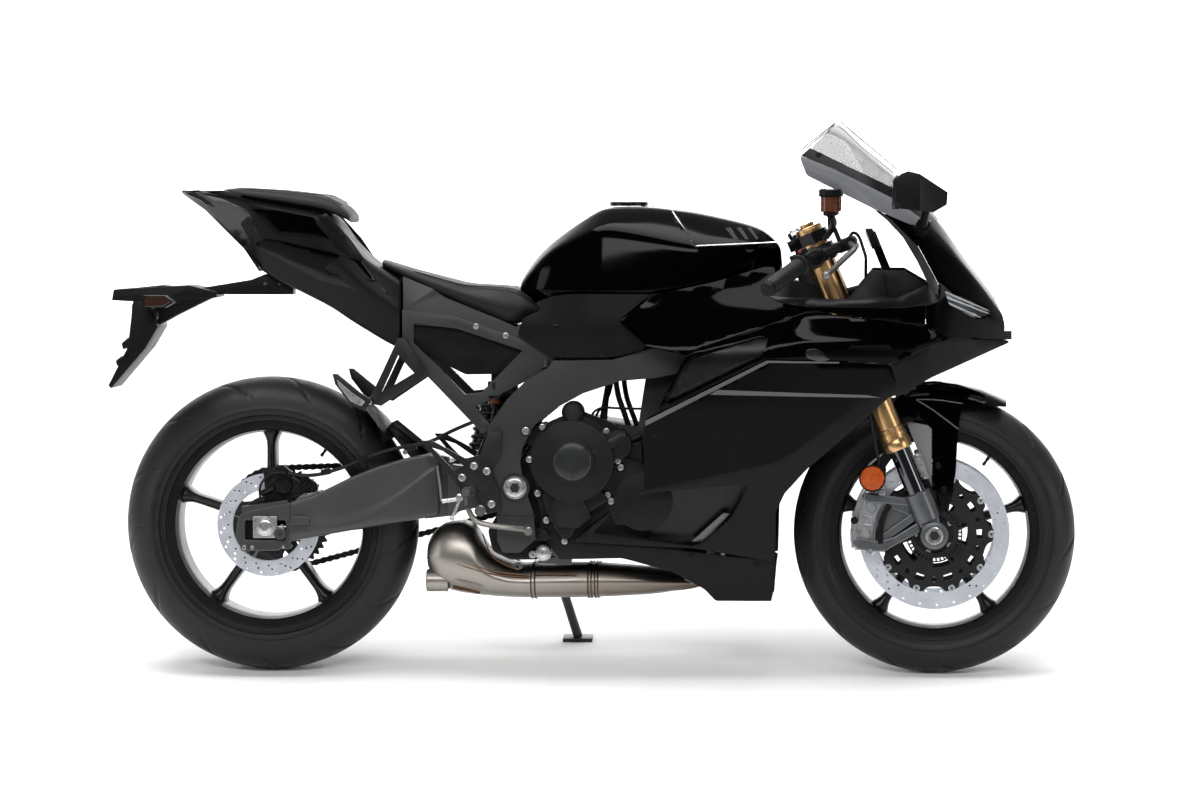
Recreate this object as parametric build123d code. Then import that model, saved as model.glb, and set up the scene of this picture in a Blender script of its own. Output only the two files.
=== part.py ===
"""Sport bike, 890 cc class, faired, parked on its side stand.

Every piece is modelled on the upright bike (x forward, y to its left, z up,
ground at z = 0), then park() leans the whole bike over onto its side stand.
"""
from build123d import *
import math
import os

# ------------------------------------------------------------ driving sizes
LEAN = 10.0                  # deg, to the left, where the side stand meets the floor
PARK_LIFT = 1.15             # the round tyres stand this much higher when leaned
PARK_SHIFT_Y = -159.5        # puts the leaning bike's footprint over the origin

REAR_AXLE_X, REAR_AXLE_Z = -687.0, 315.0
FRONT_AXLE_X, FRONT_AXLE_Z = 733.0, 300.0
RAKE = 22.6                  # deg
TRAIL = 94.0
STEER_LOCK = 22.0            # deg each way

FRONT_TYRE_HALF, FRONT_CROWN = 60.0, 61.0
REAR_TYRE_HALF, REAR_CROWN = 90.0, 94.0
FRONT_BEAD_HALF, REAR_BEAD_HALF = 43.0, 68.0
FLANGE_HEIGHT, FLANGE_WALL = 10.0, 5.0
BARREL_RADIUS, BARREL_WALL = 197.0, 16.0     # inside of the rim
SPOKE_COUNT = 5
SEAT_FIT = 0.3               # between pieces that seat on each other
BORE_FIT = 0.1               # between a shaft and its clamp
RUN_FIT = 0.3                # between a shaft and what turns on it

FRONT_AXLE_RADIUS, FRONT_AXLE_BORE = 12.5, 8.5
REAR_AXLE_RADIUS, REAR_AXLE_BORE = 14.0, 9.0
FRONT_DISC_RADIUS, FRONT_DISC_INNER, FRONT_DISC_Y = 160.0, 118.0, 66.0
REAR_DISC_RADIUS, REAR_DISC_INNER, REAR_DISC_Y = 110.0, 78.0, -85.0
DISC_WALL = 5.0
HUB_RADIUS_FRONT, HUB_RADIUS_REAR = 38.0, 48.0

FORK_SPREAD = 105.0          # fork leg from the centre plane
FORK_INNER_RADIUS = 21.5
FORK_OUTER_RADIUS = 27.0
FORK_FOOT_TOP, FORK_SEAL, FORK_TOP = 98.0, 196.0, 700.0     # distances up the leg
LOWER_CLAMP, UPPER_CLAMP = 452.0, 668.0
CLAMP_WALL = 24.0
STEM_RADIUS, STEM_BORE = 17.0, 11.0
HEAD_RADIUS = 33.0

SPROCKET_TEETH, CHAIN_PITCH = 44, 15.875
DRIVE_TEETH = 16
CHAIN_Y = 106.0
CHAIN_HALF_WIDTH, CHAIN_HALF_HEIGHT = 10.0, 7.5
SPROCKET_WALL = 7.0
SPROCKET_SIDE_GAP = 1.25
DRIVE_X, DRIVE_Z = -65.0, 410.0
PIVOT_X, PIVOT_Z = -153.0, 400.0
PIVOT_RADIUS = 12.0

SKIN = 5.0                   # thickness of the fairing's walls
SEAM = 1.0                   # seam between neighbouring body panels

STAND_PIVOT = (-95.0, 158.0, 232.0)
STAND_FOOT = (-45.0, 246.0)  # x and y of the foot; its height follows from the lean
STAND_LEG_RADIUS = 10.0

FUEL_CAP_X, FUEL_CAP_RADIUS, FUEL_CAP_WALL = 80.0, 42.0, 9.0
TANK_TOP = 996.0

BEAD_RADIUS = BARREL_RADIUS + BARREL_WALL
steer_offset = FRONT_AXLE_Z * math.sin(math.radians(RAKE)) - TRAIL * math.cos(math.radians(RAKE))
sprocket_radius = CHAIN_PITCH / 2 / math.sin(math.pi / SPROCKET_TEETH)
drive_radius = CHAIN_PITCH / 2 / math.sin(math.pi / DRIVE_TEETH)

os.makedirs("parts", exist_ok=True)


# ------------------------------------------------------------ ways of making shapes
def park(shape):
    """Lean the upright bike over onto its side stand."""
    return Pos(0, PARK_SHIFT_Y, PARK_LIFT) * Rot(-LEAN, 0, 0) * shape


def from_axle(rows):
    """Rows whose first number is measured forward from the front axle."""
    return [(FRONT_AXLE_X + row[0], *row[1:]) for row in rows]


def outline(points, y=0.0):
    """A face in the side view, from (x, z) points."""
    return Face(Wire.make_polygon([Vector(x, y, z) for x, z in points], close=True))


def slab(points, y_from, y_to):
    """A side-view outline made solid between two distances from the centre plane."""
    low, high = min(y_from, y_to), max(y_from, y_to)
    return extrude(outline(points, low), amount=high - low, dir=(0, 1, 0))


def section(x, points):
    """A closed cross-section at station x, from (y, z) points."""
    return Face(Wire.make_polygon([Vector(x, y, z) for y, z in points], close=True))


def body_of(stations):
    """A solid symmetric about the centre plane: (x, half outline from bottom to top)."""
    faces = []
    for x, half in stations:
        faces.append(section(x, [(-y, z) for y, z in half] + [(y, z) for y, z in reversed(half)]))
    return loft(faces, ruled=True)


def side_skin(stations, wall):
    """A body side on the right: (x, (half width, z) from bottom to top), wall inward."""
    faces = []
    for x, chain in stations:
        outer = [(-y, z) for y, z in chain]
        inner = [(-(y - wall), z) for y, z in reversed(chain)]
        faces.append(section(x, outer + inner))
    return loft(faces, ruled=True)


def plan_wall(stations, z_from, z_to):
    """An upright wall that follows a plan line: (x, y inner, y outer)."""
    faces = [section(x, [(a, z_from), (b, z_from), (b, z_to), (a, z_to)]) for x, a, b in stations]
    return loft(faces, ruled=True)


def rod(start, end, radius):
    """A round bar between two points."""
    axis = Vector(*end) - Vector(*start)
    return extrude(Plane(origin=start, z_dir=axis) * Circle(radius), amount=axis.length)


def pipe(points, radius, bend):
    """A round tube along straight runs joined by tangent arcs."""
    path = FilletPolyline(*points, radius=bend)
    start = Plane(origin=points[0], z_dir=Vector(*points[1]) - Vector(*points[0]))
    return sweep(start * Circle(radius), path=path)


def turned(profile):
    """A ring about the Y axis from (radius, y) points."""
    face = Face(Wire.make_polygon([Vector(r, y, 0) for r, y in profile], close=True))
    return revolve(face, axis=Axis.Y)


def disc_on_y(radius, y_from, y_to):
    return rod((0, min(y_from, y_to), 0), (0, max(y_from, y_to), 0), radius)


def upright_tube(x, y, low, high, radius):
    return Pos(x, y, low) * Cylinder(radius, high - low, align=(Align.CENTER, Align.CENTER, Align.MIN))


def along(start, end, share):
    """The point that lies this share of the way from start to end."""
    return tuple(a + (b - a) * share for a, b in zip(start, end))


def arc_block(turn, span, inner_radius, outer_radius, outer_shares):
    """A side outline bent round an axle: degrees from +x, half span, then the outer corners."""
    corners = []
    for radius, shares in ((inner_radius, (-1, 0, 1)), (outer_radius, outer_shares)):
        for share in shares:
            angle = math.radians(turn + share * span)
            corners.append((radius * math.cos(angle), radius * math.sin(angle)))
    return corners


def closed(rows):
    """Half outlines (x, rows) closed across the centre plane at their lowest and highest rows."""
    return [(x, [(0, half[0][1]), *half, (0, half[-1][1])]) for x, *half in rows]


def block(x, y, z):
    """A box from its (low, high) pairs."""
    sizes = [high - low for low, high in (x, y, z)]
    middle = [(low + high) / 2 for low, high in (x, y, z)]
    return Pos(*middle) * Box(*sizes)


def both_sides(shape):
    return shape + mirror(shape, about=Plane.XZ)


def in_fork(shape):
    """From the fork's own frame (z up the leg from the axle, x forward) to the bike's."""
    return Pos(FRONT_AXLE_X, 0, FRONT_AXLE_Z) * Rot(0, -RAKE, 0) * shape


def save(name, shape):
    solids = park(shape).solids()
    export_step(Compound(children=list(solids)) if len(solids) > 1 else solids[0], f"parts/{name}.step")


# ------------------------------------------------------------ wheels
def tyre(radius, half, crown, bead_half):
    """The crown is one arc, the sidewalls run straight down to the beads."""
    lean = math.asin((half - 1) / crown)
    shoulder = radius - crown + crown * math.cos(lean)
    arc = ThreePointArc((shoulder, -half + 1), (radius, 0), (shoulder, half - 1))
    bead = BEAD_RADIUS + SEAT_FIT
    flange_top = BEAD_RADIUS + FLANGE_HEIGHT + SEAT_FIT
    lip = bead_half + FLANGE_WALL + SEAT_FIT
    inside = bead_half - SEAT_FIT
    walls = Polyline((shoulder, half - 1), (flange_top, lip), (flange_top, inside), (bead, inside),
                     (bead, -inside), (flange_top, -inside), (flange_top, -lip), (shoulder, -half + 1))
    return revolve(make_face([arc, walls]), axis=Axis.Y)


def rim(bead_half, hub_radius, hub_y, bore, spoke_rows):
    """Barrel with two flanges, a hub and five slim spokes.

    spoke_rows: distance from the axle, half width around, half width across."""
    edge = bead_half + FLANGE_WALL
    top = BEAD_RADIUS + FLANGE_HEIGHT
    barrel = turned([(top, -edge), (top, -bead_half), (BEAD_RADIUS, -bead_half), (BEAD_RADIUS, bead_half),
                     (top, bead_half), (top, edge), (BARREL_RADIUS + 9, edge), (BARREL_RADIUS, edge - 14),
                     (BARREL_RADIUS, 14 - edge), (BARREL_RADIUS + 9, -edge)])
    wheel = barrel + disc_on_y(hub_radius, *hub_y)
    for number in range(SPOKE_COUNT):
        faces = []
        for r, around, across in spoke_rows:
            corner = around * 0.45
            faces.append(section(r, [(-across, -corner), (-across, corner), (-across + corner, around),
                                     (across - corner, around), (across, corner), (across, -corner),
                                     (across - corner, -around), (-across + corner, -around)]))
        wheel += Rot(0, -90 + number * 360 / SPOKE_COUNT, 0) * loft(faces, ruled=True)
    return wheel - disc_on_y(bore, hub_y[0] - 1, hub_y[1] + 1)


def brake_disc(radius, inner, bore, y, windows, window_radius):
    """A rotor on its carrier, with round windows between the carrier's arms."""
    plate = disc_on_y(radius, y - DISC_WALL / 2, y + DISC_WALL / 2)
    plate -= disc_on_y(bore, y - DISC_WALL, y + DISC_WALL)
    middle = (inner + bore) / 2 + 2
    for number in range(windows):
        hole = Pos(middle, 0, 0) * disc_on_y(window_radius, y - DISC_WALL, y + DISC_WALL)
        plate -= Rot(0, number * 360 / windows, 0) * hole
    return plate


def toothed_plate(teeth, radius, y_from, y_to):
    """A sprocket's outline: each tooth a short trapezium on the pitch circle."""
    corners = []
    for number in range(teeth):
        for share, height in ((-0.30, -4.0), (-0.10, 4.0), (0.10, 4.0), (0.30, -4.0)):
            turn = 2 * math.pi * (number + share) / teeth
            corners.append(((radius + height) * math.cos(turn), (radius + height) * math.sin(turn)))
    return slab(corners, y_from, y_to)


front_place = Pos(FRONT_AXLE_X, 0, FRONT_AXLE_Z)
rear_place = Pos(REAR_AXLE_X, 0, REAR_AXLE_Z)

front_hub_half = FRONT_DISC_Y - DISC_WALL / 2
save("front_tyre", front_place * tyre(FRONT_AXLE_Z, FRONT_TYRE_HALF, FRONT_CROWN, FRONT_BEAD_HALF))
save("front_rim", front_place * rim(
    FRONT_BEAD_HALF, HUB_RADIUS_FRONT, (-front_hub_half, front_hub_half), FRONT_AXLE_RADIUS + RUN_FIT,
    ((30, 15, 36), (110, 11, 24), (BARREL_RADIUS + 4, 13, 30))))
front_disc = brake_disc(FRONT_DISC_RADIUS, FRONT_DISC_INNER, FRONT_AXLE_RADIUS + 8, FRONT_DISC_Y, 10, 13)
save("front_discs", front_place * both_sides(front_disc))

rear_hub_right = REAR_DISC_Y + DISC_WALL / 2
rear_hub_left = CHAIN_Y - SPROCKET_WALL / 2
save("rear_tyre", rear_place * tyre(REAR_AXLE_Z, REAR_TYRE_HALF, REAR_CROWN, REAR_BEAD_HALF))
save("rear_rim", rear_place * rim(
    REAR_BEAD_HALF, HUB_RADIUS_REAR, (rear_hub_right, rear_hub_left), REAR_AXLE_RADIUS + RUN_FIT,
    ((40, 19, 52), (110, 12, 38), (BARREL_RADIUS + 4, 15, 52))))
save("rear_disc", rear_place * brake_disc(REAR_DISC_RADIUS, REAR_DISC_INNER, REAR_AXLE_RADIUS + 8,
                                          REAR_DISC_Y, 5, 15))
sprocket = toothed_plate(SPROCKET_TEETH, sprocket_radius, rear_hub_left, rear_hub_left + SPROCKET_WALL)
sprocket -= disc_on_y(REAR_AXLE_RADIUS + 8, 0, 200)
for number in range(5):
    sprocket -= Rot(0, number * 72, 0) * Pos(72, 0, 0) * disc_on_y(16, 0, 200)
save("rear_sprocket", rear_place * sprocket)

# ------------------------------------------------------------ fork, steering and controls
leg = Pos(0, -FORK_SPREAD, 0)
SEAL_RADIUS, SEAL_HEIGHT = FORK_OUTER_RADIUS + 3, 46
SLIDER_TOP = FORK_SEAL + 110
outer_leg = upright_tube(0, 0, FORK_SEAL, FORK_TOP, FORK_OUTER_RADIUS)
outer_leg += upright_tube(0, 0, FORK_SEAL, FORK_SEAL + SEAL_HEIGHT, SEAL_RADIUS)
outer_leg -= upright_tube(0, 0, 0, SLIDER_TOP, FORK_INNER_RADIUS + BORE_FIT)
save("fork_outers", in_fork(both_sides(leg * outer_leg)))

inner_leg = upright_tube(0, 0, FORK_FOOT_TOP, SLIDER_TOP - 2, FORK_INNER_RADIUS)
foot_half = 19.0
foot = upright_tube(0, 0, 30, FORK_FOOT_TOP, FORK_INNER_RADIUS + 7)
foot += disc_on_y(29, -foot_half, foot_half)
foot += block((-16, 16), (-foot_half, foot_half), (0, 60))
CALIPER_MOUNT_X, CALIPER_MOUNT_Z = -62.0, 92.0       # the lugs' far corner, in the fork's frame
lug = slab([(-22, 78), (CALIPER_MOUNT_X, CALIPER_MOUNT_Z), (CALIPER_MOUNT_X - 8, 74), (-22, 40)],
           -foot_half, foot_half - 6)
foot += lug + slab([(-18, 16), (-60, -14), (-52, -30), (-10, -12)], -foot_half, foot_half - 6)
foot -= disc_on_y(FRONT_AXLE_RADIUS + BORE_FIT, -40, 40)
save("fork_sliders", in_fork(both_sides(leg * (foot + inner_leg))))

front_axle_half = FORK_SPREAD + foot_half + 4
front_axle = disc_on_y(FRONT_AXLE_RADIUS, -front_axle_half, front_axle_half)
for side in (-1, 1):
    front_axle += disc_on_y(17, side * (front_hub_half + SEAT_FIT),
                            side * (FORK_SPREAD - foot_half - SEAT_FIT))
front_axle -= disc_on_y(FRONT_AXLE_BORE, -200, 200)
save("front_axle", in_fork(front_axle))

# Each clamp in plan: the stem's boss behind, a lug round each leg
clamp_plan = [(-steer_offset - 25, -26), (-steer_offset - 25, 26), (-24, FORK_SPREAD + 20),
              (4, FORK_SPREAD + 38), (34, FORK_SPREAD + 14), (20, 62), (6, 0), (20, -62),
              (34, -FORK_SPREAD - 14), (4, -FORK_SPREAD - 38), (-24, -FORK_SPREAD - 20)]
STEM_TOP = UPPER_CLAMP + CLAMP_WALL + 8
clamps = upright_tube(-steer_offset, 0, LOWER_CLAMP, STEM_TOP, STEM_RADIUS)
for height in (LOWER_CLAMP, UPPER_CLAMP):
    face = Face(Wire.make_polygon([Vector(x, y, height) for x, y in clamp_plan], close=True))
    clamps += extrude(face, amount=CLAMP_WALL, dir=(0, 0, 1))
clamps -= upright_tube(-steer_offset, 0, LOWER_CLAMP - 5, STEM_TOP + 5, STEM_BORE)
for side in (-1, 1):
    clamps -= upright_tube(0, side * FORK_SPREAD, LOWER_CLAMP - 5, STEM_TOP + 5, FORK_OUTER_RADIUS + BORE_FIT)
save("triple_clamps", in_fork(clamps))

# Clip-on bars, in the fork's frame (forward, y, up the leg)
BAR_RADIUS, GRIP_RADIUS = 11.0, 16.5
CLIP_HEIGHT, CLIP_WALL = UPPER_CLAMP - 44, 36
BAR_ROOT = (16, -FORK_SPREAD - 34, CLIP_HEIGHT + CLIP_WALL / 2)
GRIP_INNER = (-34, -232, CLIP_HEIGHT + 15)
GRIP_OUTER = (-112, -340, CLIP_HEIGHT - 4)


clip = upright_tube(0, -FORK_SPREAD, CLIP_HEIGHT, CLIP_HEIGHT + CLIP_WALL, FORK_OUTER_RADIUS + 9)
clip += rod(BAR_ROOT, GRIP_INNER, BAR_RADIUS) + rod(GRIP_INNER, GRIP_OUTER, BAR_RADIUS)
clip += Pos(*GRIP_INNER) * Sphere(BAR_RADIUS)
clip -= upright_tube(0, -FORK_SPREAD, CLIP_HEIGHT - 5, CLIP_HEIGHT + 50, FORK_OUTER_RADIUS + BORE_FIT)

grip_start = along(GRIP_INNER, GRIP_OUTER, 0.04)
grip_end = along(GRIP_INNER, GRIP_OUTER, 1.06)
grip = rod(grip_start, grip_end, GRIP_RADIUS)
grip += rod(along(GRIP_INNER, GRIP_OUTER, 1.06), along(GRIP_INNER, GRIP_OUTER, 1.12), GRIP_RADIUS - 2)
grip -= rod(GRIP_INNER, GRIP_OUTER, BAR_RADIUS + BORE_FIT)

# Switch housings on both bars, a master cylinder with its reservoir on the right
switch_low, switch_high = along(BAR_ROOT, GRIP_INNER, 0.45), along(BAR_ROOT, GRIP_INNER, 0.96)
switch = rod(switch_low, switch_high, 23)
controls = both_sides(switch)
perch = rod(along(BAR_ROOT, GRIP_INNER, 0.12), along(BAR_ROOT, GRIP_INNER, 0.42), 18)
PERCH_END = (66, -186, CLIP_HEIGHT + 16)
perch += rod(along(BAR_ROOT, GRIP_INNER, 0.27), PERCH_END, 11)
perch_f, perch_y, perch_s = PERCH_END
perch += rod((perch_f - 16, perch_y + 22, perch_s), (perch_f + 8, perch_y - 18, perch_s), 13)
controls += both_sides(perch)
controls -= both_sides(rod(BAR_ROOT, GRIP_INNER, BAR_RADIUS + BORE_FIT))
controls -= both_sides(Pos(*GRIP_INNER) * Sphere(BAR_RADIUS + BORE_FIT))

LEVER_BEND = (81, -232, CLIP_HEIGHT + 2)
LEVER_TIP = (4, -330, CLIP_HEIGHT - 26)
LEVER_RADIUS = 6.0
lever = pipe([(perch_f + 6, perch_y - 14, perch_s), LEVER_BEND, LEVER_TIP], LEVER_RADIUS, 24)
lever += Pos(*LEVER_TIP) * Sphere(9)
save("clip_on_bars", in_fork(both_sides(clip) + both_sides(lever - perch)))

RESERVOIR = (54, -158, CLIP_HEIGHT + 78)
reservoir_f, reservoir_y, reservoir_s = RESERVOIR
reservoir = upright_tube(reservoir_f, reservoir_y, reservoir_s, reservoir_s + 46, 21)
reservoir += rod((reservoir_f, reservoir_y, perch_s), RESERVOIR, 5)
save("bar_controls", in_fork(controls + both_sides(grip) + (reservoir - both_sides(clip))))

# Radial calipers, each a block bent round the disc's edge
CALIPER_TURN, CALIPER_SPAN = 145.0, 27.0
CALIPER_RADII = (106.0, 178.0)
CALIPER_SIDES = (-103.0, -42.0)
PAD_GAP = 5.0                # from the disc's faces to the calipers, as cast
caliper = slab(arc_block(CALIPER_TURN, CALIPER_SPAN, *CALIPER_RADII, (1, 0.4, -0.4, -1)), *CALIPER_SIDES)
disc_slot = DISC_WALL / 2 + PAD_GAP
caliper -= disc_on_y(FRONT_DISC_RADIUS + 6, -FRONT_DISC_Y - disc_slot, -FRONT_DISC_Y + disc_slot)
caliper -= leg * foot
save("front_calipers", in_fork(both_sides(caliper)))

# Fender: an arch over the tyre, cut to its side outline
FENDER_RADIUS, FENDER_HALF, FENDER_WALL = 323.0, 74.0, 4.0


def arch(radius, half):
    stations = []
    for reach in (-95, -50, 0, 50, 100, 155):
        crown = FRONT_AXLE_Z + math.sqrt(radius ** 2 - reach ** 2)
        shoulder = FRONT_AXLE_Z + math.sqrt((radius - 7) ** 2 - reach ** 2)
        side = FRONT_AXLE_Z + math.sqrt((radius - 26) ** 2 - reach ** 2)
        stations.append((FRONT_AXLE_X + reach, [(0, FRONT_AXLE_Z), (half, FRONT_AXLE_Z), (half, side),
                                                (half * 0.62, shoulder), (0, crown)]))
    return body_of(stations)


FENDER_SIDE = [(-83, 566), (-83, 640), (157, 640), (152, 570), (107, 573), (57, 568), (50, 524), (-1, 520),
               (-43, 556), (-65, 575)]
GUARD_SIDE = [(3, 540), (51, 540), (50, 523), (45, 430), (31, 352), (11, 350), (-5, 430), (-1, 520)]
FENDER_STAY_SIDE = [(-105, 560), (-69, 600), (-33, 560), (-43, 540), (-93, 530)]
fender = arch(FENDER_RADIUS, FENDER_HALF) - arch(FENDER_RADIUS - FENDER_WALL, FENDER_HALF - FENDER_WALL)
fender &= slab(from_axle(FENDER_SIDE), -100, 100)
guard = slab(from_axle(GUARD_SIDE), -FENDER_HALF, -FENDER_HALF + FENDER_WALL)
stay = slab(from_axle(FENDER_STAY_SIDE), -FENDER_HALF + 1, -86)
fender += both_sides(guard + stay)
leg_room = upright_tube(0, 0, 0, FORK_TOP, FORK_OUTER_RADIUS + BORE_FIT)
leg_room += upright_tube(0, 0, FORK_SEAL - 1, FORK_SEAL + SEAL_HEIGHT + 1, SEAL_RADIUS + BORE_FIT)
fender -= in_fork(both_sides(leg * leg_room))
save("front_fender", fender)

# Brake hoses: master cylinder to the junction on the lower clamp, then one to each caliper
HOSE_RADIUS = 3.5
junction = block((28, 44), (-70, -46), (LOWER_CLAMP + 4, LOWER_CLAMP + 20)) - clamps
MAIN_HOSE = [PERCH_END, (98, -140, perch_s + 34), (92, -134, 600), (62, -98, 530),
             (38, -58, LOWER_CLAMP + 18)]
RIGHT_HOSE = [(38, -62, LOWER_CLAMP + 8), (54, -100, 424), (46, -138, 372), (-26, -146, 300),
              (-48, -134, 190), (-78, -112, 148)]
LEFT_HOSE = [(38, -52, LOWER_CLAMP + 8), (60, 0, 424), (56, 96, 418), (46, 138, 372), (-26, 146, 300),
             (-48, 134, 190), (-78, 112, 148)]
hoses = junction + (pipe(MAIN_HOSE, HOSE_RADIUS, 22) - both_sides(perch))
hoses += pipe(RIGHT_HOSE, HOSE_RADIUS, 24) + pipe(LEFT_HOSE, HOSE_RADIUS, 24)
hoses -= both_sides(caliper)
hoses -= clamps
save("brake_hoses", in_fork(hoses))

# ------------------------------------------------------------ main frame
# Plan line of the right spar and pivot plate: x, distance out to the inner and the outer face
FRAME_PLAN = [(-240, 122, 146), (-60, 122, 146), (40, 134, 158), (160, 138, 162), (280, 118, 146),
              *from_axle([(-345, 68, 98), (-283, 32, 58), (-233, 20, 50)])]
FRAME_SIDE = [(-180, 262), (-192, 287), (-192, 360), (-212, 404), (-220, 486), (-208, 535), (-170, 588),
              (-130, 628), (-86, 653), (-73, 669), (53, 672), (150, 700), (290, 784),
              *from_axle([(-303, 838), (-236, 828), (-223, 720), (-278, 690)]),
              (300, 665), (144, 634), (69, 627), (-8, 601), (-69, 568), (-114, 531),
              (-138, 486), (-143, 454), (-135, 405), (-115, 348), (-110, 291), (-143, 262)]
HEAD_WEB_X = (FRONT_AXLE_X - 281, FRONT_AXLE_X - 233)
CLAMP_SWING = 72.0           # kept clear round the stem for the clamps' lugs at full lock
HEAD_LOW, HEAD_HIGH = LOWER_CLAMP + CLAMP_WALL + 6, UPPER_CLAMP - 6

spar = plan_wall([(x, -inner, -outer) for x, inner, outer in FRAME_PLAN], 200, 900) & slab(FRAME_SIDE, -300,
                                                                                           0)
head = in_fork(upright_tube(-steer_offset, 0, HEAD_LOW, HEAD_HIGH, HEAD_RADIUS))
head_web = block(HEAD_WEB_X, (-36, 36), (705, 832))
cross_top = block((-168, -136), (-124, 124), (560, 592))
cross_low = block((-176, -146), (-124, 124), (266, 290))
main_frame = both_sides(spar) + head + head_web + cross_top + cross_low
fork_sweep = in_fork(upright_tube(-steer_offset, 0, LOWER_CLAMP - 300, HEAD_LOW - 1, CLAMP_SWING)
                     + upright_tube(-steer_offset, 0, HEAD_HIGH + 1, UPPER_CLAMP + 200, CLAMP_SWING))
main_frame -= fork_sweep
main_frame -= in_fork(upright_tube(-steer_offset, 0, HEAD_LOW - 5, HEAD_HIGH + 5, STEM_RADIUS + RUN_FIT))
pivot_hole = rod((PIVOT_X, -160, PIVOT_Z), (PIVOT_X, 160, PIVOT_Z), PIVOT_RADIUS + BORE_FIT)
main_frame -= pivot_hole

# ------------------------------------------------------------ engine
CRANKCASE_HALF, CYLINDER_HALF = 118.0, 116.0
ENGINE_FRONT = 214.0
crankcase = slab([(-104, 300), (-98, 352), (-104, 420), (-106, 500), (-60, 540), (0, 545), (104, 528),
                  (196, 528), (ENGINE_FRONT, 440), (ENGINE_FRONT, 300), (190, 252), (-60, 246)],
                 -CRANKCASE_HALF, CRANKCASE_HALF)
cylinders = slab([(104, 520), (122, 636), (40, 640), (40, 690), (120, 706), (232, 640), (196, 520)],
                 -CYLINDER_HALF, CYLINDER_HALF)
SPROCKET_POCKET = ((-134, -4), (88, 130), (342, 472))
engine = crankcase + cylinders - block(*SPROCKET_POCKET)
LUG_FACE = 122.0
engine += both_sides(slab([(-112, 480), (-142, 502), (-130, 532), (-90, 520), (-96, 480)], -60, -LUG_FACE))
engine += both_sides(block((-132, -90), (-LUG_FACE, -60), (286, 312)))
engine += both_sides(rod((58, -100, 652), (58, -150, 652), 15))
engine -= both_sides(spar)
save("engine_block", engine)

# Round covers on the right: x, z, radius, distance out where it starts, and of its face
CLUTCH_X, CLUTCH_Z, CLUTCH_RADIUS = -29.0, 458.0, 86.0
ROUND_COVERS = ((CLUTCH_X, CLUTCH_Z, CLUTCH_RADIUS, 118, 186), (CLUTCH_X, CLUTCH_Z, 46, 186, 196),
                (-31, 557, 22, 118, 150), (118, 372, 62, 118, 150), (64, 492, 30, 118, 168))
right_covers = Part()
for x, z, radius, start, face in ROUND_COVERS:
    right_covers += rod((x, -start, z), (x, -face, z), radius)
right_covers += slab([(-62, 318), (-78, 352), (-60, 400), (-10, 380), (10, 340), (-20, 316)], -118, -168)
right_covers += slab([(30, 380), (10, 430), (60, 470), (150, 440), (176, 372), (120, 318), (60, 322)], -118,
                     -140)
left_covers = rod((72, 118, 410), (72, 164, 410), 70)
left_covers += slab([(-92, 340), (-96, 470), (-40, 500), (0, 470), (10, 350), (-40, 326)], CHAIN_Y + 16, 150)
drive_cover_top = slab([(-30, 340), (-24, 480), (20, 490), (40, 340)], 118, 150)
covers = right_covers + left_covers + drive_cover_top
covers -= both_sides(spar)
covers -= engine
save("engine_covers", covers)

# Drive sprocket on its shaft, and the chain as one fixed loop with a channel for the teeth
drive = toothed_plate(DRIVE_TEETH, drive_radius, CHAIN_Y - SPROCKET_WALL / 2, CHAIN_Y + SPROCKET_WALL / 2)
drive = Pos(DRIVE_X, 0, DRIVE_Z) * drive


def belt_outline(shift):
    """The loop of a chain round two sprockets, moved out by shift."""
    dx = DRIVE_X - REAR_AXLE_X
    dz = DRIVE_Z - REAR_AXLE_Z
    span = math.hypot(dx, dz)
    slope = math.atan2(dz, dx)
    dip = math.asin((sprocket_radius - drive_radius) / span)
    top = slope + math.pi / 2 - dip
    low = slope - math.pi / 2 + dip

    def at(x, z, radius, turn):
        return x + radius * math.cos(turn), 0, z + radius * math.sin(turn)

    rear = sprocket_radius + shift
    front = drive_radius + shift
    rear_arc = ThreePointArc(*[at(REAR_AXLE_X, REAR_AXLE_Z, rear, turn) for turn in (top, slope + math.pi,
                                                                                     low)])
    front_arc = ThreePointArc(*[at(DRIVE_X, DRIVE_Z, front, turn) for turn in (low, slope, top)])
    return make_face([rear_arc, Line(rear_arc @ 1, front_arc @ 0), front_arc,
                      Line(front_arc @ 1, rear_arc @ 0)])


def belt(shift, y_from, y_to):
    return Pos(0, y_from, 0) * extrude(belt_outline(shift), amount=y_to - y_from, dir=(0, 1, 0))


chain_in, chain_out = CHAIN_Y - CHAIN_HALF_WIDTH, CHAIN_Y + CHAIN_HALF_WIDTH
channel = SPROCKET_WALL / 2 + SPROCKET_SIDE_GAP
chain = belt(CHAIN_HALF_HEIGHT, chain_in, chain_out) - belt(-CHAIN_HALF_HEIGHT, chain_in - 1, chain_out + 1)
chain -= belt(CHAIN_HALF_HEIGHT + 5, CHAIN_Y - channel, CHAIN_Y + channel)
for share in (0.3, 0.5, 0.7):
    for side in (-1, 1):
        x = REAR_AXLE_X + share * (DRIVE_X - REAR_AXLE_X)
        z = REAR_AXLE_Z + share * (DRIVE_Z - REAR_AXLE_Z)
        half_gap = sprocket_radius + share * (drive_radius - sprocket_radius)
        chain += rod((x, chain_in + 2, z + side * half_gap), (x, chain_out - 2, z + side * half_gap), 4.5)
drive_hub = Pos(DRIVE_X, 0, DRIVE_Z) * disc_on_y(16, 80, CHAIN_Y - SPROCKET_WALL / 2)
save("drive_chain", chain + ((drive + drive_hub) - engine))

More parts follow.
